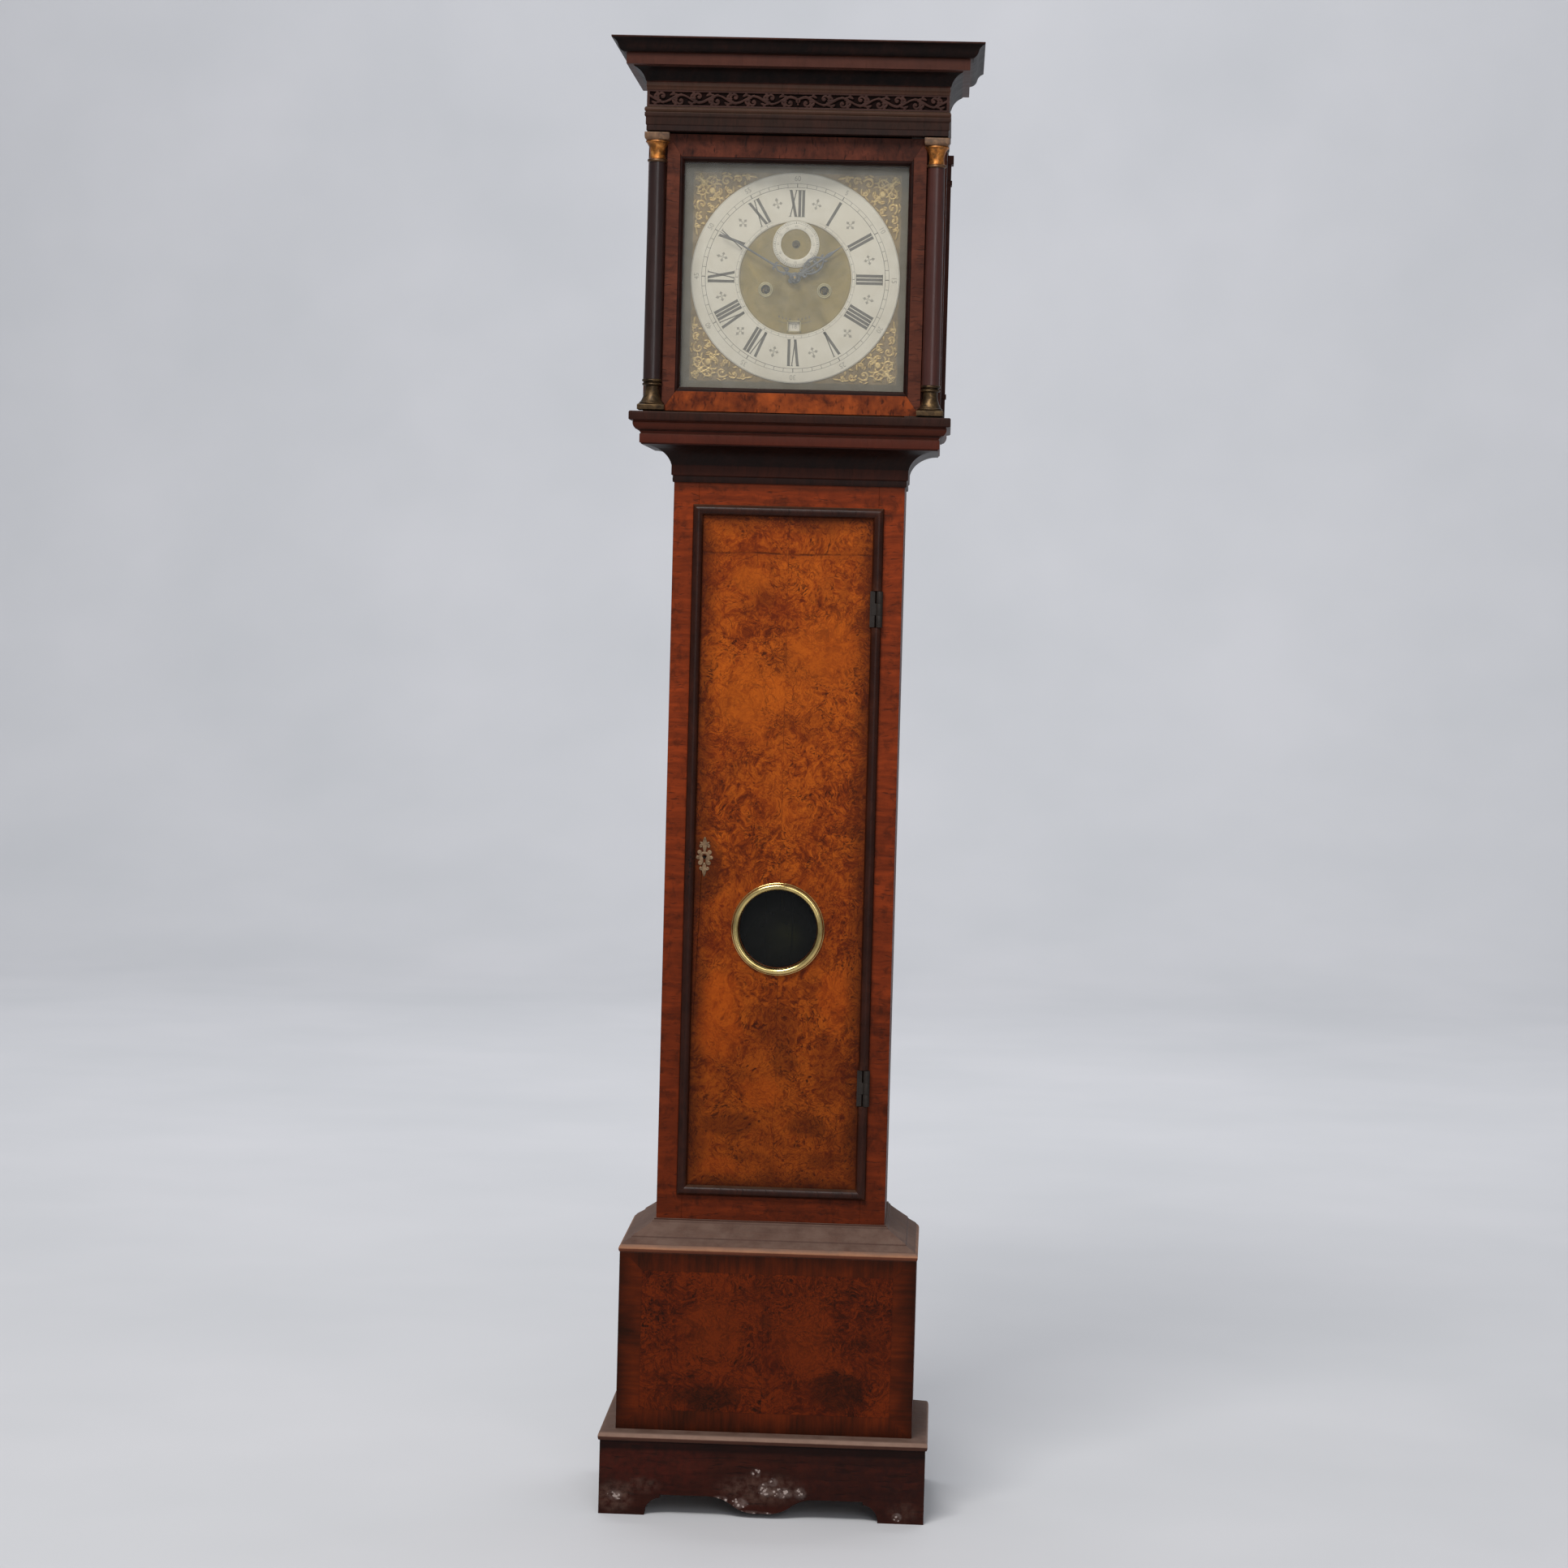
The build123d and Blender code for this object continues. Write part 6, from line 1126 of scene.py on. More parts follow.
slab(g, (-196.8, -97.0, Z0), (-196.2, 143, Z1))
g.to("fret_ground_piece", mat["fret_ground"], "hood", slot="fret_wood")

# ================================================================ hood door
SIGHT, SZ0, SZ1 = 148.5, 1505.5, 1802.5
HZ0, HZ1 = 1473.5, 1838.0
# stiles and rails with a small ovolo round the sight, mitred veneer
d = Soup()


def door_bar(soup, axis, sgn, mat_i):
    """One side of the door frame: section (t across from the sight edge, y) mitred at both ends."""
    out_x, out_z0, out_z1 = 171.5, HZ0, HZ1
    sec = [(0.0, -72.0), (0.0, -79.5), (0.5, -80.6), (1.4, -81.0), (2.0, -82.4), (3.2, -83.4), (4.6, -83.6), (5.2, -83.3),
           (6.0, -84.0), (7.0, -84.0), (1e3, -84.0), (1e3, -63.0), (6.0, -63.0), (6.0, -72.0)]
    wid = (out_x - SIGHT) if axis == "z" else ((SZ0 - out_z0) if sgn < 0 else (out_z1 - SZ1))
    m = len(sec)
    v = []
    steps = 24
    for e in range(steps + 1):
        for tt, yy in sec:
            t0 = min(tt, wid)
            if axis == "z":                          # stile: runs the full height
                other0 = SZ0 - (SZ0 - out_z0) * min(1, t0 / wid)
                other1 = SZ1 + (out_z1 - SZ1) * min(1, t0 / wid)
                z = other0 + (other1 - other0) * e / steps
                v.append((sgn * (SIGHT + t0), yy, z))
            else:
                hw = SIGHT + (out_x - SIGHT) * min(1, t0 / wid)
                x = -hw + 2 * hw * e / steps
                z = SZ0 - t0 if sgn < 0 else SZ1 + t0
                v.append((x, yy, z))
    f = []
    flip = (axis == "z" and sgn > 0) or (axis == "x" and sgn < 0)
    for e in range(steps):
        for j in range(m):
            a, b = e * m + j, e * m + (j + 1) % m
            q = (a, b, b + m, a + m)
            f.append(tuple(reversed(q)) if flip else q)
    cap0, cap1 = tuple(range(m)), tuple(steps * m + j for j in range(m))
    f.append(cap0 if flip else tuple(reversed(cap0)))
    f.append(tuple(reversed(cap1)) if flip else cap1)
    soup.add(v, f, mat_i)
    first = len(soup.i) - len(f)
    for e in range(steps):
        for j in range(m):
            if j < 8 or j >= m - 2:                      # moulding and rebate round the sight
                soup.i[first + e * m + j] = 2


door_bar(d, "z", 1, 1)
door_bar(d, "z", -1, 1)
door_bar(d, "x", 1, 3)
door_bar(d, "x", -1, 0)
for sg in (1, -1):
    x0, x1 = (171.5, 197) if sg > 0 else (-197, -171.5)
    slab(d, (x0, -73, HZ0), (x1, -63, HZ1), 0.5, 1)
d.to("hood_door_frame_piece", None, "hood_door", slot="hood_door_walnut", replaces=["hood_door_frame"], bevel=0.35,
     mats=[mat["hood_door_rail"], mat["hood_door_stile"], mat["sight"], mat["hood_door_top"]])

# columns with entasis
CX, CY = 184.5, -86.0
colp = []
for k in range(41):
    t = k / 40
    colp.append((12.05 - 0.15 * t - 1.1 * t ** 2.4, 1513.4 + t * 287.2))
s = Soup()
for sg in (1, -1):
    lathe(s, (sg * CX, CY, 0), colp, n=56)
s.to("hood_columns_piece", mat["column"], "hood_door", slot="column_wood", replaces=["hood_columns"])


def square_ring(soup, cx, cy, prof, mat_i=0):
    """Square block with a moulded edge: prof is (half width, height)."""
    v, f, m = [], [], len(prof)
    for sx, sy in ((-1, -1), (1, -1), (1, 1), (-1, 1)):
        for w, h in prof:
            v.append((cx + sx * w, cy + sy * w, h))
    for k in range(4):
        for j in range(m - 1):
            a, b = k * m + j, ((k + 1) % 4) * m + j
            f.append((a, b, b + 1, a + 1))
    f.append(tuple(k * m for k in range(3, -1, -1)))
    f.append(tuple(k * m + m - 1 for k in range(4)))
    soup.add(v, f, mat_i)


s = Soup()
for sg in (1, -1):
    cx = sg * CX
    square_ring(s, cx, CY, [(17.9, 1473.5), (18.0, 1474.2), (18.0, 1479.6), (17.6, 1480.2), (16.6, 1480.6), (16.0, 1481.4)])
    bell_prof = [(0.5, 1481.2), (15.6, 1481.2)] + arc((15.6, 1481.2), (16.6, 1482.6), (15.2, 1484.0), 5) + \
        arc((15.2, 1484.0), (11.4, 1491.5), (9.7, 1503.6), 12) + [(9.7, 1505.0), (11.2, 1505.6)] + \
        arc((11.2, 1505.6), (13.0, 1507.4), (11.4, 1509.2), 6) + [(10.8, 1509.8), (10.8, 1510.6)] + \
        arc((10.8, 1510.6), (13.4, 1512.2), (11.6, 1514.4), 6) + [(0.5, 1514.4)]
    lathe(s, (cx, CY, 0), bell_prof, n=56)
    cap_prof = [(0.5, 1799.6), (11.2, 1799.6)] + arc((11.2, 1799.6), (13.2, 1801.8), (11.2, 1804.0), 6) + [(10.2, 1804.6), (10.0, 1807.0)] + \
        arc((10.0, 1807.0), (10.6, 1817.0), (14.6, 1825.0), 12) + arc((14.6, 1825.0), (15.9, 1826.6), (14.8, 1828.0), 4) + [(0.5, 1828.0)]
    lathe(s, (cx, CY, 0), cap_prof, n=56)
    square_ring(s, cx, CY, [(14.2, 1827.8), (15.4, 1828.6), (16.2, 1830.2), (16.5, 1832.4), (16.5, 1837.4), (16.0, 1838.0)])
s.to("column_mounts_piece", mat["mount"], "hood_door", slot="gilt_brass", replaces=["column_mounts"], bevel=0.25)

# ================================================================ trunk door trim
LO, LI, LZ0, LZ1 = 127.5, 113.5, 422.5, 1351.0
KN = [(574.5, 24.6), (1217.0, 24.6)]
half = [(0.0, -55.0), (0.0, -57.2)]
half += arc((0.0, -57.2), (7.0, -64.2), (14.0, -57.2), 14)
half += [(14.0, -56.0), (8.5, -56.0), (8.5, -55.0)]


def lip(soup, side):
    """side: 'L', 'R', 'T', 'B'; the section runs from the inner edge outward and is mitred at the corners."""
    m = len(half)
    if side in "LR":
        spans = [(0.0, 1.0)]
        if side == "R":
            cuts = [((z - dz - LZ0) / (LZ1 - LZ0), (z + dz - LZ0) / (LZ1 - LZ0)) for z, dz in KN]
            spans = [(0.0, cuts[0][0]), (cuts[0][1], cuts[1][0]), (cuts[1][1], 1.0)]
    else:
        spans = [(0.0, 1.0)]
    for s0, s1 in spans:
        steps = max(2, int((s1 - s0) * (LZ1 - LZ0 if side in "LR" else 2 * LO) / 12))
        v, f = [], []
        for e in range(steps + 1):
            u = s0 + (s1 - s0) * e / steps
            for t, y in half:
                if side in "LR":
                    z = LZ0 + (LZ1 - LZ0) * u
                    lo, hi = LZ0 + (14 - t), LZ1 - (14 - t)
                    z = min(max(z, lo), hi) if 0 < u < 1 else (lo if u <= 0 else hi)
                    yy = y - 0.12 * ripple(z * 5, t, 3)
                    v.append(((LI + t) * (1 if side == "R" else -1), yy if y < -57 else y, z))
                else:
                    xx = -LO + 2 * LO * u
                    lim = LI + t
                    xx = min(max(xx, -lim), lim) if 0 < u < 1 else (-lim if u <= 0 else lim)
                    z = (LZ1 - 14 + t) if side == "T" else (LZ0 + 14 - t)
                    yy = y - 0.12 * ripple(xx * 5, t, 9)
                    v.append((xx, yy if y < -57 else y, z))
        flip = side in "RB"
        for e in range(steps):
            for j in range(m):
                a, b = e * m + j, e * m + (j + 1) % m
                q = (a, a + m, b + m, b)
                f.append(tuple(reversed(q)) if flip else q)
        c0, c1 = tuple(range(m)), tuple(steps * m + j for j in range(m))
        f.append(c0 if not flip else tuple(reversed(c0)))
        f.append(tuple(reversed(c1)) if not flip else c1)
        soup.add(v, f)


s = Soup()
for k in "LRTB":
    lip(s, k)
s.to("trunk_door_moulding_piece", mat["lip"], "trunk_door", slot="case_moulding", replaces=["trunk_door_moulding"])

# lenticle bezel
LZ = 785.0
bz = [(52.6, 9.0), (52.6, -1.0), (53.0, -1.8)] + arc((53.0, -1.8), (57.2, -7.0), (61.4, -1.8), 14) + \
    [(61.6, -0.8), (62.3, -0.5), (62.5, 0.0), (53.8, 0.0), (53.8, 9.0)]
s = lathe(Soup(), (0, -55, LZ), bz + [bz[0]], axis="y", n=128)
s.to("lenticle_bezel_piece", mat["bezel"], "trunk_door", slot="gilt_brass", replaces=["lenticle_bezel"], angle=40)

# pierced escutcheon
EX, EZ = -101.0, 879.0
e = Sheet(EX - 13, EX + 13, EZ - 27.5, EZ + 27.5, 0.25)
e.disk(EX, EZ, 7.6)
for sg in (1, -1):
    e.disk(EX + sg * 6.6, EZ + 6.8, 3.0)
    e.disk(EX + sg * 5.4, EZ - 7.6, 3.1)
    e.disk(EX + sg * 8.8, EZ - 0.4, 2.5)
    e.spiral(EX + sg * 4.6, EZ + 14.5, 3.2, (pi if sg > 0 else 0) - sg * 0.3, -sg * 4.4, 1.2, 0.8, r1=1.0, bud=1.3)
    e.spiral(EX + sg * 4.0, EZ - 14.5, 3.0, (pi if sg > 0 else 0) + sg * 0.3, sg * 4.4, 1.2, 0.8, r1=1.0, bud=1.3)
    e.leaf(EX + sg * 1.0, EZ + 16, pi / 2 - sg * 0.6, 7.0, 1.5, -sg * 0.7)
e.leaf(EX, EZ + 8, pi / 2, 20, 3.0)
e.leaf(EX, EZ - 8, -pi / 2, 18, 3.0)
key = np.maximum(2.9 - np.sqrt((e.X - EX) ** 2 + (e.Z - EZ - 1.5) ** 2), 1.5 - np.maximum(np.abs(e.X - EX), np.abs(e.Z - EZ + 2.6) - 3.2))
e.keep(-key)
e.keep(np.minimum(12.0 - np.abs(e.X - EX), 27.0 - np.abs(e.Z - EZ)))
s = Soup()
e.cut(s, -55.4, 0.4, 0.55, 1.2, base=0.25)
s.v = [(EX + (x - EX) * 1.02, y, z) for x, y, z in s.v]
s.to("escutcheon_piece", mat["escutcheon"], "trunk_door", slot="gilt_brass", replaces=["escutcheon"], angle=50)

# ================================================================ dial
DZ = 1655.0
YF = -42.0
SECZ = 1700.0


def pol(r, deg, cz=DZ, cx=0.0):
    """Clockwise angle from twelve."""
    return cx + r * sin(radians(deg)), cz + r * cos(radians(deg))


RO, RI = 139.5, 75.0
# dial plate: border, matted centre, apertures, with ringed winding holes
holes = [(39.2, 1639.2, 6.0), (-39.2, 1639.2, 6.0), (0, DZ, 4.6), (0, SECZ, 3.4)]
pl = Sheet(-152.5, 152.5, DZ - 152.5, DZ + 152.5, 1.25)
pl.F[:] = 1.0
for hx, hz, hr in holes:
    pl.F = np.minimum(pl.F, np.sqrt((pl.X - hx) ** 2 + (pl.Z - hz) ** 2) - hr)
pl.F = np.minimum(pl.F, np.maximum(np.abs(pl.X) - 7.5, np.abs(pl.Z - DZ + 64) - 6.0))
s = Soup()
pl.cut(s, YF, 3.0, 0.0, 1.0, base=0.0)
for sg in (1, -1):
    for dz in (62, -62):
        lathe(s, (sg * 60, 0, DZ + dz), [(0.4, -39), (3.2, -39), (3.2, -12), (4.4, -12), (4.4, -10), (0.4, -10)], axis="y", n=20)
s.to("dial_plate_piece", mat["dial"], "case", slot="dial_brass", replaces=["dial_plate"], angle=40)

# dull border outside the chapter ring
b = Soup()
n = 240
v, f = [], []
for i in range(n):
    a = 2 * pi * i / n
    q = max(abs(cos(a)), abs(sin(a)))
    v += [(RO * 0.99 * cos(a), YF - 0.05, DZ + RO * 0.99 * sin(a)), (152.4 / q * cos(a), YF - 0.05, DZ + 152.4 / q * sin(a))]
for i in range(n):
    a, c = 2 * i, 2 * ((i + 1) % n)
    f.append((a, a + 1, c + 1, c))
b.add(v, f)
b.to("dial_border_piece", mat["dial_edge"], "case", slot="dial_brass", angle=None)

# turned rings round the winding holes, the centre hole, and the edge of the date aperture
r = Soup()
for hx in (39.2, -39.2):
    prof = [(6.0, 0.0), (6.0, -0.9)] + arc((6.0, -0.9), (7.0, -1.5), (8.0, -0.7), 5) + arc((8.0, -0.7), (9.0, -1.2), (10.2, 0.0), 6)
    lathe(r, (hx, YF, 1639.2), prof, axis="y", n=64)
lathe(r, (0, YF, DZ), [(5.0, 0.0), (5.0, -0.7), (7.4, -0.9), (8.2, 0.0)], axis="y", n=64)
for (x0, z0, x1, z1) in ((-9.4, -71.8, -7.5, -56.2), (7.5, -71.8, 9.4, -56.2), (-9.4, -71.8, 9.4, -70.0), (-9.4, -58.0, 9.4, -56.2)):
    slab(r, (x0, YF - 0.8, DZ + z0), (x1, YF, DZ + z1), 0.3)
r.to("dial_turned_rings", mat["collar"], "case", slot="gilt_brass", angle=40)

# engraved arc and leaves above the date aperture, and a plain line round the centre
g = Soup()
flat_ring(g, 0, DZ, 60.4, 60.9, YF - 0.06, n=40, a0=radians(-112), a1=radians(-68))
for k in range(-4, 5):
    if k:
        x, z = pol(56.5, 180 + k * 5.2)
        u, w = pol(53.2, 180 + k * 5.2 + (1.6 if k > 0 else -1.6))
        dx, dz = (u - x) * 0.25, (w - z) * 0.25
        flat_poly(g, [(x, z), (x + (u - x) / 2 - dz, z + (w - z) / 2 + dx), (u, w), (x + (u - x) / 2 + dz, z + (w - z) / 2 - dx)], YF - 0.06)
flat_ring(g, 0, DZ, 73.6, 74.0, YF - 0.06)
# painted shade: a dark ring round the seconds hole and dark tubes lining the winding holes
so = Soup()
flat_ring(so, 0, SECZ, 3.3, 5.4, YF - 0.07, n=60)
so.to("seconds_centre_painted_shade", mat["soot"], "case", slot="dial_brass", angle=None)
so = Soup()
for hx in (39.2, -39.2):
    lathe(so, (hx, YF, 1639.2), [(5.9, 0.2), (5.8, 14.0), (5.0, 14.0)], axis="y", n=48)
so.to("winding_hole_painted_shade", mat["soot"], "case", slot="dial_brass", angle=40)
g.to("dial_engraving", mat["wax"], "case", slot="dial_brass", angle=None)

# chapter ring with a gap for the seconds ring
SO, SI = 31.0, 20.2
c = Sheet(-RO - 0.5, RO + 0.5, DZ - RO - 0.5, DZ + RO + 0.5, 1.0)
rr = np.sqrt(c.X ** 2 + (c.Z - DZ) ** 2)
c.F = np.minimum(RO - rr, rr - RI)
c.F = np.minimum(c.F, np.sqrt(c.X ** 2 + (c.Z - SECZ) ** 2) - SO - 0.3)
s = Soup()
c.cut(s, YF, 0.0, 0.35, 1.2, base=1.25, back=False)
s.to("chapter_ring_piece", mat["silver"], "case", slot="silvered", replaces=["chapter_ring"], angle=None)
s = Soup()
lathe(s, (0, YF, SECZ), [(SI, 0.0), (SI, -1.3), (SI + 0.5, -1.6), (SO - 0.5, -1.6), (SO, -1.3), (SO, 0.0)], axis="y", n=120)
s.to("seconds_ring_piece", mat["silver"], "case", slot="silvered", replaces=["seconds_ring"])

# engraved figures, filled with black wax
w = Soup()
YW = YF - 1.64


def rad_bar(deg, off, r0, r1, half_w0, half_w1=None, cz=DZ, soup=None):
    """Bar running outward; off shifts it sideways (clockwise) at its middle."""
    half_w1 = half_w0 if half_w1 is None else half_w1
    ux, uz = sin(radians(deg)), cos(radians(deg))
    tx, tz = uz, -ux
    P = lambda rr_, o: (ux * rr_ + tx * o, cz + uz * rr_ + tz * o)
    flat_poly(soup or w, [P(r0, off - half_w0), P(r0, off + half_w0), P(r1, off + half_w1), P(r1, off - half_w1)], YW)


def slant(deg, r0, o0, r1, o1, wd):
    ux, uz = sin(radians(deg)), cos(radians(deg))
    tx, tz = uz, -ux
    P = lambda rr_, o: (ux * rr_ + tx * o, DZ + uz * rr_ + tz * o)
    flat_poly(w, [P(r0, o0 - wd), P(r0, o0 + wd), P(r1, o1 + wd), P(r1, o1 - wd)], YW)


def serif(deg, r, o0, o1):
    rad_bar(deg, (o0 + o1) / 2, r - 0.35, r + 0.35, (o1 - o0) / 2)


N0, N1 = 81.2, 116.8
ROMAN = {12: "XII", 1: "I", 2: "II", 3: "III", 4: "IIII", 5: "V", 6: "VI", 7: "VII", 8: "VIII", 9: "IX", 10: "X", 11: "XI"}
WIDTH = {"I": 4.9, "V": 12.0, "X": 12.0}
for hour, text in ROMAN.items():
    deg = hour * 30.0
    total = sum(WIDTH[ch] for ch in text)
    off = -total / 2
    first = off
    for ch in text:
        mid = off + WIDTH[ch] / 2
        if ch == "I":
            rad_bar(deg, mid, N0, N1, 1.85, 1.95)
            serif(deg, N0 + 0.3, mid - 2.4, mid + 2.4)
            serif(deg, N1 - 0.3, mid - 2.4, mid + 2.4)
        elif ch == "V":                              # point towards the centre of the dial
            slant(deg, N1, mid - 3.6, N0, mid + 0.4, 1.85)
            slant(deg, N1, mid + 4.2, N0, mid + 0.3, 0.7)
            serif(deg, N1 - 0.3, mid - 6.0, mid - 1.6)
            serif(deg, N1 - 0.3, mid + 2.4, mid + 5.8)
        else:
            slant(deg, N1, mid - 3.6, N0, mid + 3.6, 1.85)
            slant(deg, N1, mid + 3.9, N0, mid - 3.9, 0.7)
            for q in (N0 + 0.3, N1 - 0.3):
                serif(deg, q, mid - 6.0, mid - 2.2)
                serif(deg, q, mid + 2.2, mid + 6.0)
        off += WIDTH[ch]
# minute track: two circles joined by lines, then Arabic numerals every five minutes
flat_ring(w, 0, DZ, 119.8, 120.4, YW)
flat_ring(w, 0, DZ, 124.9, 125.3, YW)
for k in range(60):
    if k % 5 == 0:
        rad_bar(k * 6, 0, 120.2, 125.0, 0.55)
    else:
        rad_bar(k * 6, 0, 120.2, 125.0, 0.28)
flat_ring(w, 0, DZ, 138.3, 138.6, YW)
# quarter-hour track on the inner edge
flat_ring(w, 0, DZ, 76.2, 76.5, YW, n=150, a0=radians(90 + 24.5), a1=radians(90 + 335.5))
flat_ring(w, 0, DZ, 79.6, 79.85, YW, n=150, a0=radians(90 + 22.5), a1=radians(90 + 337.5))
for k in range(48):
    if 3 < k < 45:
        rad_bar(k * 7.5, 0, 76.4, 79.7, 0.35 if k % 4 == 0 else 0.18)
# half-hour marks: a cross with a fleur top
w2 = Soup()
for k in range(12):
    deg = k * 30 + 15
    R = 101.0
    for a in (0, 90, 180, 270):
        cxp, czp = pol(R, deg)
        ang = radians(deg + a)
        ux, uz = sin(ang), cos(ang)
        tx, tz = uz, -ux
        ln = 8.6 if a == 0 else 7.0
        pts = [(cxp + ux * r_ + tx * o_, czp + uz * r_ + tz * o_) for r_, o_ in
               ((0.6, -0.5), (0.6, 0.5), (ln * 0.42, 0.6), (ln * 0.6, 2.3), (ln, 0.0), (ln * 0.6, -2.3), (ln * 0.42, -0.6))]
        flat_poly(w2, pts, YW)
w2.to("half_hour_marks", mat["wax_pale"], "case", slot="silvered", angle=None)
# seconds ring
flat_ring(w, 0, SECZ, 29.6, 29.9, YW, n=120)
flat_ring(w, 0, SECZ, 27.2, 27.45, YW, n=120)
for k in range(60):
    rad_bar(k * 6, 0, 27.3, 29.8, 0.32 if k % 5 == 0 else 0.15, cz=SECZ)
w.to("dial_figures", mat["wax"], "case", slot="silvered", angle=None)


def numerals(name, values, radius, size, cz, y, ink="wax", body="case", turned=1):
    """Arabic numerals round a circle, as flat engraved outlines; turned is -1 where their feet point outward."""
    made = Soup()
    for i, txt in values:
        cu = bpy.data.curves.new(name + str(i), "FONT")
        cu.body = txt
        cu.size = size
        cu.align_x, cu.align_y = "CENTER", "CENTER"
        cu.resolution_u = 3
        ob = bpy.data.objects.new(name + str(i), cu)
        bpy.context.scene.collection.objects.link(ob)
        bpy.context.view_layer.update()
        me = bpy.data.meshes.new_from_object(ob)
        a = radians(i)
        ca, sa = cos(a), sin(a)
        vs = []
        for q in me.vertices:
            x, z = q.co.x * 0.92 * turned, q.co.y * turned
            vs.append((x * ca + z * sa + radius * sa, y, cz - x * sa + z * ca + radius * ca))
        made.add(vs, [tuple(p.vertices) for p in me.polygons])
        bpy.data.objects.remove(ob)
        bpy.data.curves.remove(cu)
        bpy.data.meshes.remove(me)
    made.to(name, mat[ink], body, slot="silvered", angle=None)


numerals("minute_numerals", [(k * 30, str(60 if k == 0 else k * 5)) for k in range(12)], 131.6, 9.6, DZ, YW, ink="wax_pale")
numerals("seconds_numerals", [(k * 30, str(60 if k == 0 else k * 5)) for k in range(12)], 23.8, 4.4, SECZ, YW, ink="wax_pale")
numerals("date_numerals", [(180 + (d - 18) * 360 / 31, str(d)) for d in range(1, 32)], 64.0, 8.0, DZ, -38.5, ink="wax_pale",
         body="date_ring_body", turned=-1)

# ---------------------------------------------------------------- spandrels
sp = Sheet(52.0, 139.5, DZ + 52.0, DZ + 139.5, 0.42)
S0 = 138.0


def P2(u, v, m):
    """u along x from the corner, v along z from the corner, both inward."""
    if m:
        u, v = v, u
    return S0 - u, DZ + S0 - v


def s_spiral(u, v, r0, a0, turn, w0, w1, r1, bud, m):
    if m:
        x, z = P2(u, v, True)
        a0, turn = pi / 2 - a0, -turn
    else:
        x, z = P2(u, v, False)
    sp.spiral(x, z, r0, a0, turn, w0, w1, r1, bud)


def s_leaf(u, v, ang, length, wd, curl, m):
    x, z = P2(u, v, m)
    if m:
        ang, curl = pi / 2 - ang, -curl
    sp.leaf(x, z, ang, length, wd, curl)


rng = np.random.RandomState(23)
scatter = [(u + rng.uniform(-2, 2), v + rng.uniform(-2, 2), rng.uniform(0, 2 * pi), rng.uniform(5.5, 8.5), rng.uniform(1.3, 1.9),
            rng.choice((-1.0, 1.0)) * rng.uniform(0.6, 1.1)) for u in range(3, 84, 8) for v in range(3, 50, 8) if u >= v]
for m in (False, True):
    s_spiral(25, 12.0, 8.4, 0.2, 7.6, 1.8, 1.2, 1.1, 2.2, m)
    s_spiral(43, 11.0, 7.8, 2.6, -7.2, 1.8, 1.1, 1.1, 2.0, m)
    s_spiral(59, 8.0, 5.8, 0.5, 6.6, 1.6, 1.0, 1.0, 1.8, m)
    s_spiral(71, 5.2, 3.8, 2.8, -6.0, 1.4, 0.9, 0.9, 1.4, m)
    s_spiral(34, 29, 6.2, 4.0, 6.4, 1.6, 1.1, 1.0, 1.8, m)
    s_spiral(48, 24, 4.8, 1.0, -6.0, 1.5, 1.0, 0.9, 1.6, m)
    for u, v, a, ln, wd, cu in scatter:
        s_leaf(u, v, a, ln, wd, cu, m)
    s_leaf(10, 10, pi, 16, 2.1, 0.9, m)
    s_leaf(74, 4.0, pi, 11, 1.7, 0.4, m)
    for q in range(5):
        s_leaf(24 + q * 2.0, 17.5 - q * 0.9, pi * 0.75 + q * 0.28, 6.5, 1.2, 0.6, m)
sp.leaf(*P2(3.5, 3.5, False), -pi * 0.75, 24, 3.0)
sp.disk(*P2(24.5, 24.5, False), 5.0)
sp.disk(*P2(13, 13, False), 3.6)
dist = np.sqrt(sp.X ** 2 + (sp.Z - DZ) ** 2)
sp.keep(dist - (RO + 1.2))
sp.keep(np.minimum(S0 + 0.6 - sp.X, DZ + S0 + 0.6 - sp.Z) + 0.5 * np.sin(sp.X * 0.7) * np.sin(sp.Z * 0.7))
s = Soup()
for fx in (False, True):
    for fz in (None, DZ):
        sp.cut(s, YF - 0.2, 0.2, 1.7, 1.9, back=False, base=0.35, flip_x=fx, flip_z=fz)
s.to("spandrels_piece", mat["gilt"], "case", slot="gilt_brass", replaces=["spandrels"], angle=60)


# ---------------------------------------------------------------- hands
def hand(name, node, body, deg, y_front, length, draw, thick, tail=12.0, wide=16.0, pipe=None):
    h = Sheet(-wide, wide, -tail, length, 0.3)
    draw(h)
    t = Soup()
    h.cut(t, 0, thick, 0.45, 0.9, base=0.15)
    a = radians(deg)
    ca, sa = cos(a), sin(a)
    v = [(x * ca + z * sa, y_front + y, DZ - x * sa + z * ca) for x, y, z in t.v]
    s_ = Soup().add(v, t.f)
    if pipe:
        pipe(s_)
    return s_.to(name, mat["blued"], body, slot="blued_steel", replaces=[node], angle=50)


def draw_minute(h):
    h.stroke([(0, -5), (0, 4)], [3.0, 4.6])
    h.disk(0, 0, 6.2)
    h.stroke([(0, 4), (0, 12)], [3.2, 1.7])
    for sg in (1, -1):
        h.spiral(sg * 3.2, 14.5, 3.0, pi / 2 + (pi if sg < 0 else 0) - sg * 0.4, -sg * 4.6, 1.1, 0.8, r1=0.9, bud=1.1)
        h.stroke([(0, 12), (sg * 3.4, 19), (sg * 3.9, 24), (0, 31)], [1.1, 1.0, 1.0, 1.1])
        h.spiral(sg * 3.0, 30.5, 2.2, -sg * 0.4 + (pi if sg < 0 else 0), sg * 4.2, 0.9, 0.7, r1=0.7, bud=0.9)
    h.disk(0, 33, 1.9)
    h.stroke([(0, 31), (0, 60), (0, 108), (0, 117.6)], [1.5, 1.25, 0.85, 0.3])


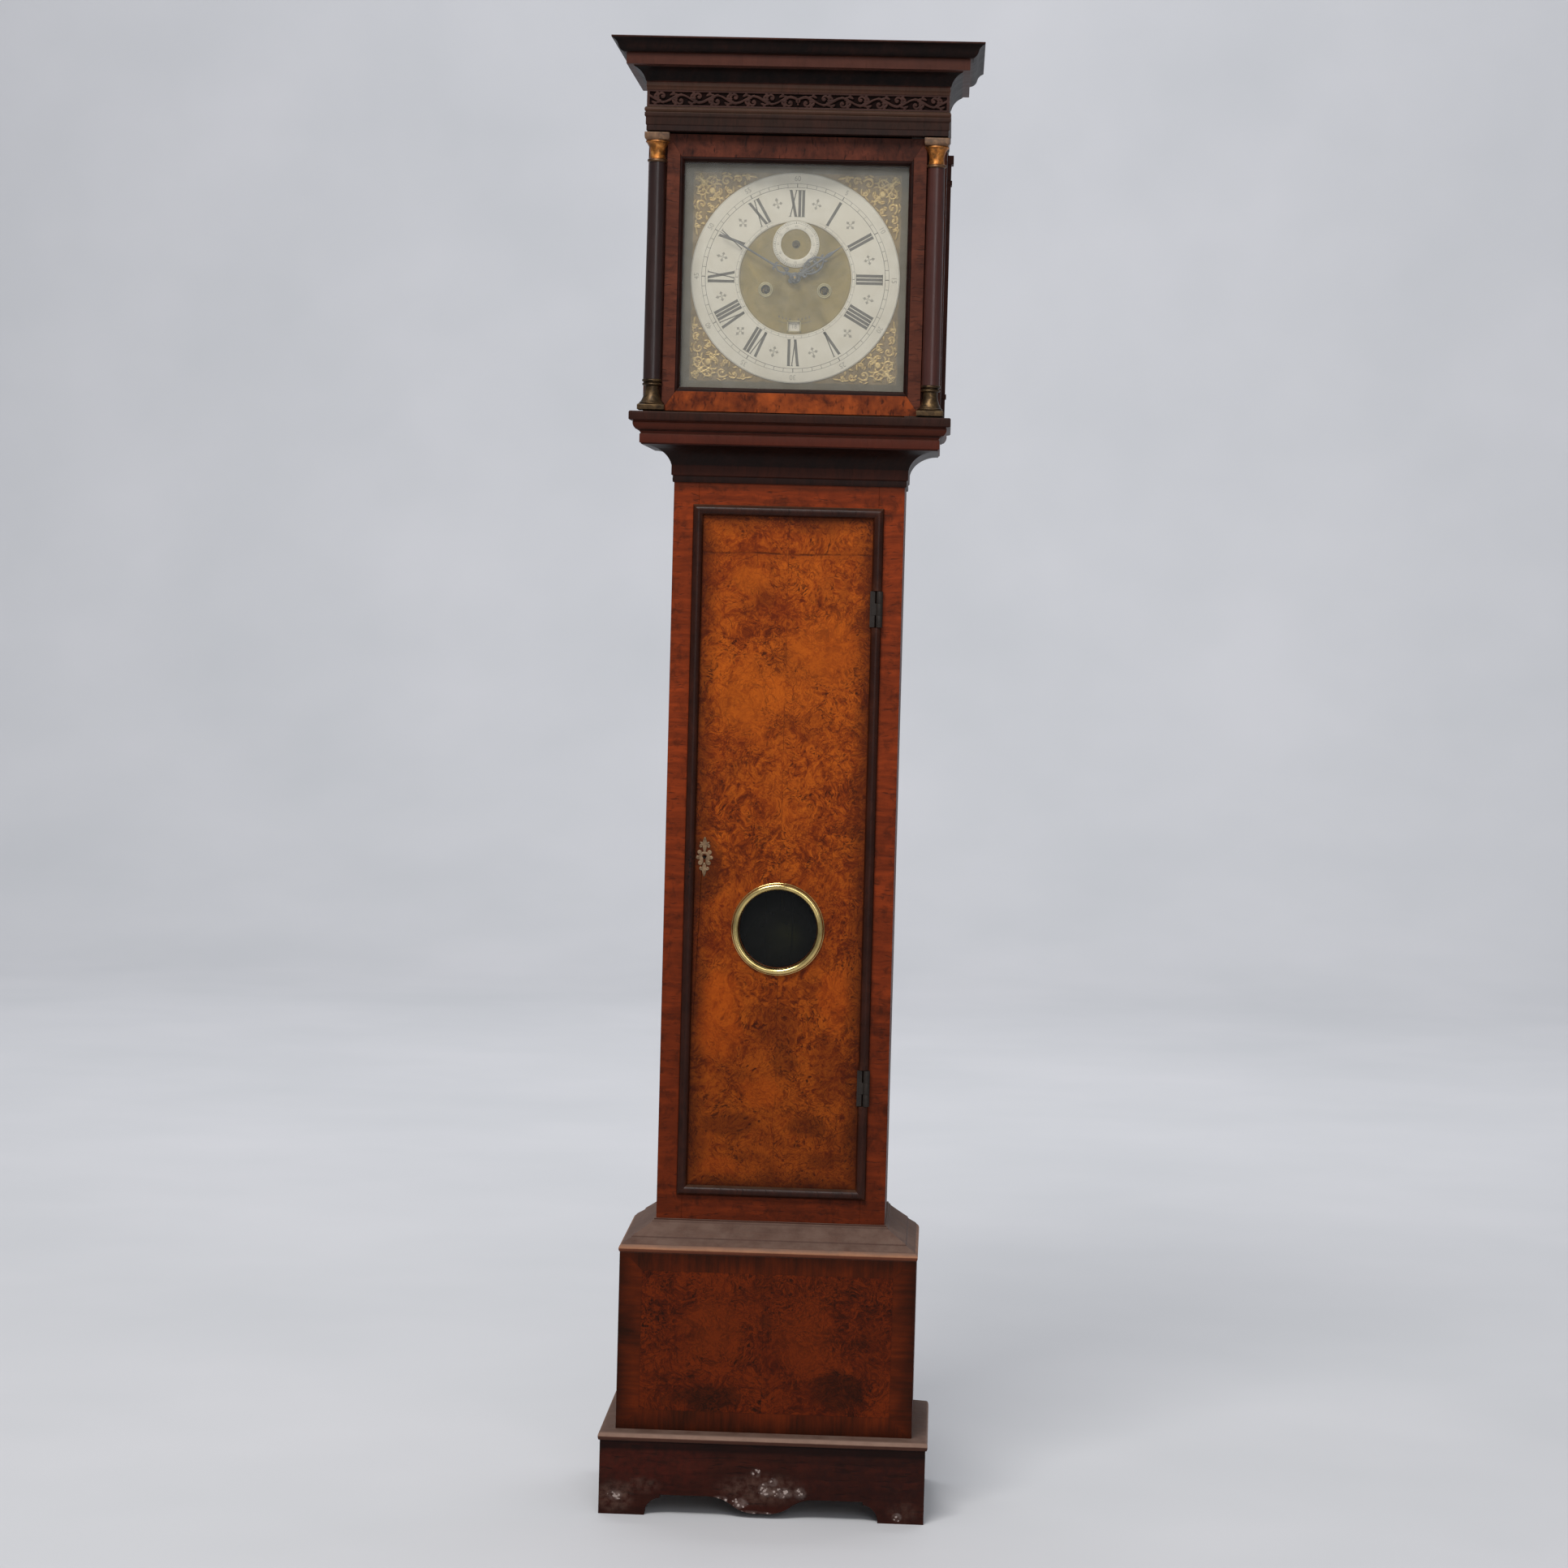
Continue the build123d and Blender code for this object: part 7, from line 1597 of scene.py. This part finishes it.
def draw_hour(h):
    h.disk(0, 0, 7.4)
    h.stroke([(0, -7), (0, 9)], [3.4, 3.2])
    for sg in (1, -1):
        h.spiral(sg * 3.8, 11.5, 3.4, pi / 2 + (pi if sg < 0 else 0) - sg * 0.3, -sg * 4.6, 1.2, 0.9, r1=0.9, bud=1.3)
        h.stroke([(0, 12), (sg * 7.2, 20), (sg * 9.4, 28), (sg * 8.2, 37), (sg * 3.2, 43), (0, 47)], [1.3, 1.35, 1.35, 1.35, 1.2, 1.5])
        h.spiral(sg * 5.0, 24.5, 3.2, sg * 0.2 + (0 if sg > 0 else pi), sg * 5.4, 1.0, 0.75, r1=0.8, bud=1.2)
        h.spiral(sg * 4.2, 33.5, 3.2, sg * 0.6 + (0 if sg > 0 else pi), sg * 5.2, 1.0, 0.75, r1=0.8, bud=1.1)
        h.leaf(sg * 1.0, 17, pi / 2 - sg * 0.9, 7.5, 1.0, sg * 1.2)
        h.leaf(sg * 2.4, 44, pi / 2 - sg * 1.0, 6.0, 1.2, sg * 1.4)
    h.stroke([(0, 8), (0, 50)], [1.9, 1.3])
    h.leaf(0, 47, pi / 2, 16, 2.6)
    h.stroke([(0, 56), (0, 75.6)], [1.5, 0.35])


def minute_pipe(s_):
    lathe(s_, (0, 0, DZ), [(1.6, -57.0), (2.0, -57.3), (2.6, -56.6), (2.6, -12.0), (1.6, -12.0), (1.6, -57.0)], axis="y", n=40)
    lathe(s_, (0, 0, DZ), [(1.4, -57.6), (3.4, -57.2), (4.4, -56.2), (4.6, -55.3), (1.4, -55.2)], axis="y", n=40)
    lathe(s_, (0, 0, DZ), [(2.6, -13.9), (9.2, -13.9), (9.2, -12.1), (2.6, -12.1)], axis="y", n=60)


def hour_pipe(s_):
    lathe(s_, (0, 0, DZ), [(2.7, -50.0), (3.9, -50.0), (3.9, -16.0), (2.7, -16.0), (2.7, -50.0)], axis="y", n=40)
    lathe(s_, (0, 0, DZ), [(3.9, -50.6), (5.6, -50.4), (6.4, -49.8), (3.9, -49.8)], axis="y", n=40)
    lathe(s_, (0, 0, DZ), [(3.9, -18.4), (20.9, -18.4), (20.9, -16.6), (3.9, -16.6)], axis="y", n=80)


hand("minute_hand_piece", "minute_hand", "minute_hand_body", 300.0, -54.6, 119.0, draw_minute, 1.0, pipe=minute_pipe)
hand("hour_hand_piece", "hour_hand", "hour_hand_body", 55.0, -49.3, 77.0, draw_hour, 0.9, pipe=hour_pipe)

# ================================================================ gut lines
for who, x in (("going", 37.4), ("strike", -41.0)):
    for run, xx, top in (("barrel", x - 21.0, 1639.2), ("seat", x + 21.0, 1586.0)):
        s = Soup()
        nz = 120
        prof = [(0.8 + 0.06 * sin(k * 1.7), 420.0 + (top - 420.0) * k / nz) for k in range(nz + 1)]
        lathe(s, (xx, 22.0, 0), [(0.01, 420.0)] + prof + [(0.01, top)], n=10)
        ob = s.to(f"{who}_line_{run}", mat["gut"], "case", slot="gut", replaces=[f"{who}_line"], angle=60)
        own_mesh(ob)


# ================================================================ floor, light, camera
def floor_material():
    M = Mat("pale_floor")
    c = M.ramp(M.noise(M.pos, 1.2, 3), [(0.3, col(206, 207, 210)), (0.7, col(214, 214, 217))])
    M.surface(c, 0.75, normal=M.bump(M.noise(M.pos, 220, 3), 0.05, 0.001), spec=0.2)
    return M.m


def stage_sheet():
    """Floor that curves up into a backdrop."""
    v, f = [], []
    prof = [(-14.0, 0.0), (-6.0, 0.0), (0.0, 0.0), (3.0, 0.0), (6.4, 0.0)]
    for k in range(1, 17):
        a = radians(90 * k / 16)
        prof.append((6.4 + 3.0 * sin(a), 3.0 - 3.0 * cos(a)))
    prof += [(9.4, 7.0), (9.4, 16.0)]
    xs = [-20, -6, 0, 6, 20]
    for y, z in prof:
        for x in xs:
            v.append((x * 1000, y * 1000, z * 1000))
    m = len(xs)
    for j in range(len(prof) - 1):
        for i in range(m - 1):
            a = j * m + i
            f.append((a, a + 1, a + 1 + m, a + m))
    return build("floor", v, f, floor_material(), None, angle=None)


stage_sheet()

bpy.context.scene.view_settings.view_transform = "Standard"
world = bpy.data.worlds.new("studio")
bpy.context.scene.world = world
world.use_nodes = True
world.node_tree.nodes["Background"].inputs[0].default_value = (0.92, 0.95, 1.0, 1)
world.node_tree.nodes["Background"].inputs[1].default_value = 0.34


def area(name, loc, target, size, energy, color=(1, 1, 1), size_y=None):
    li = bpy.data.lights.new(name, "AREA")
    li.energy = energy
    li.color = color
    li.size = size
    if size_y:
        li.shape = "RECTANGLE"
        li.size_y = size_y
    ob = bpy.data.objects.new(name, li)
    ob.location = loc
    ob.rotation_mode = "QUATERNION"
    ob.rotation_quaternion = (Vector(target) - Vector(loc)).to_track_quat("-Z", "Y")
    bpy.context.scene.collection.objects.link(ob)
    return ob


area("key", (-0.9, -2.9, 4.3), (0, 0, 1.0), 1.9, 150, (1.0, 0.985, 0.96), 1.4)
area("front", (0.9, -4.4, 2.1), (0, 0, 1.0), 1.4, 34, (0.96, 0.98, 1.0), 2.0)
area("backdrop", (0.0, 2.6, 6.4), (0, 8.6, 1.2), 6.0, 330, (0.97, 0.98, 1.0), 2.2)

cam_data = bpy.data.cameras.new("camera")
cam = bpy.data.objects.new("camera", cam_data)
bpy.context.scene.collection.objects.link(cam)
bpy.context.scene.camera = cam
F_PX, CAM, YAW, PITCH, ROLL = 4640.4, (0.2150, -5.0873, 1.2390), 2.410, 2.940, 1.501
cam_data.lens = F_PX / 1932 * 36.0
cam_data.sensor_width = 36.0
cam_data.clip_start, cam_data.clip_end = 0.1, 100
yw, pt, rl = radians(YAW), radians(PITCH), radians(ROLL)
fwd = Vector((-sin(yw) * cos(pt), cos(yw) * cos(pt), -sin(pt)))
right = Vector((cos(yw), sin(yw), 0))
up = right.cross(fwd)
r2 = right * cos(rl) + up * sin(rl)
u2 = -right * sin(rl) + up * cos(rl)
cam.matrix_world = Matrix(((r2.x, u2.x, -fwd.x, CAM[0]), (r2.y, u2.y, -fwd.y, CAM[1]), (r2.z, u2.z, -fwd.z, CAM[2]), (0, 0, 0, 1)))
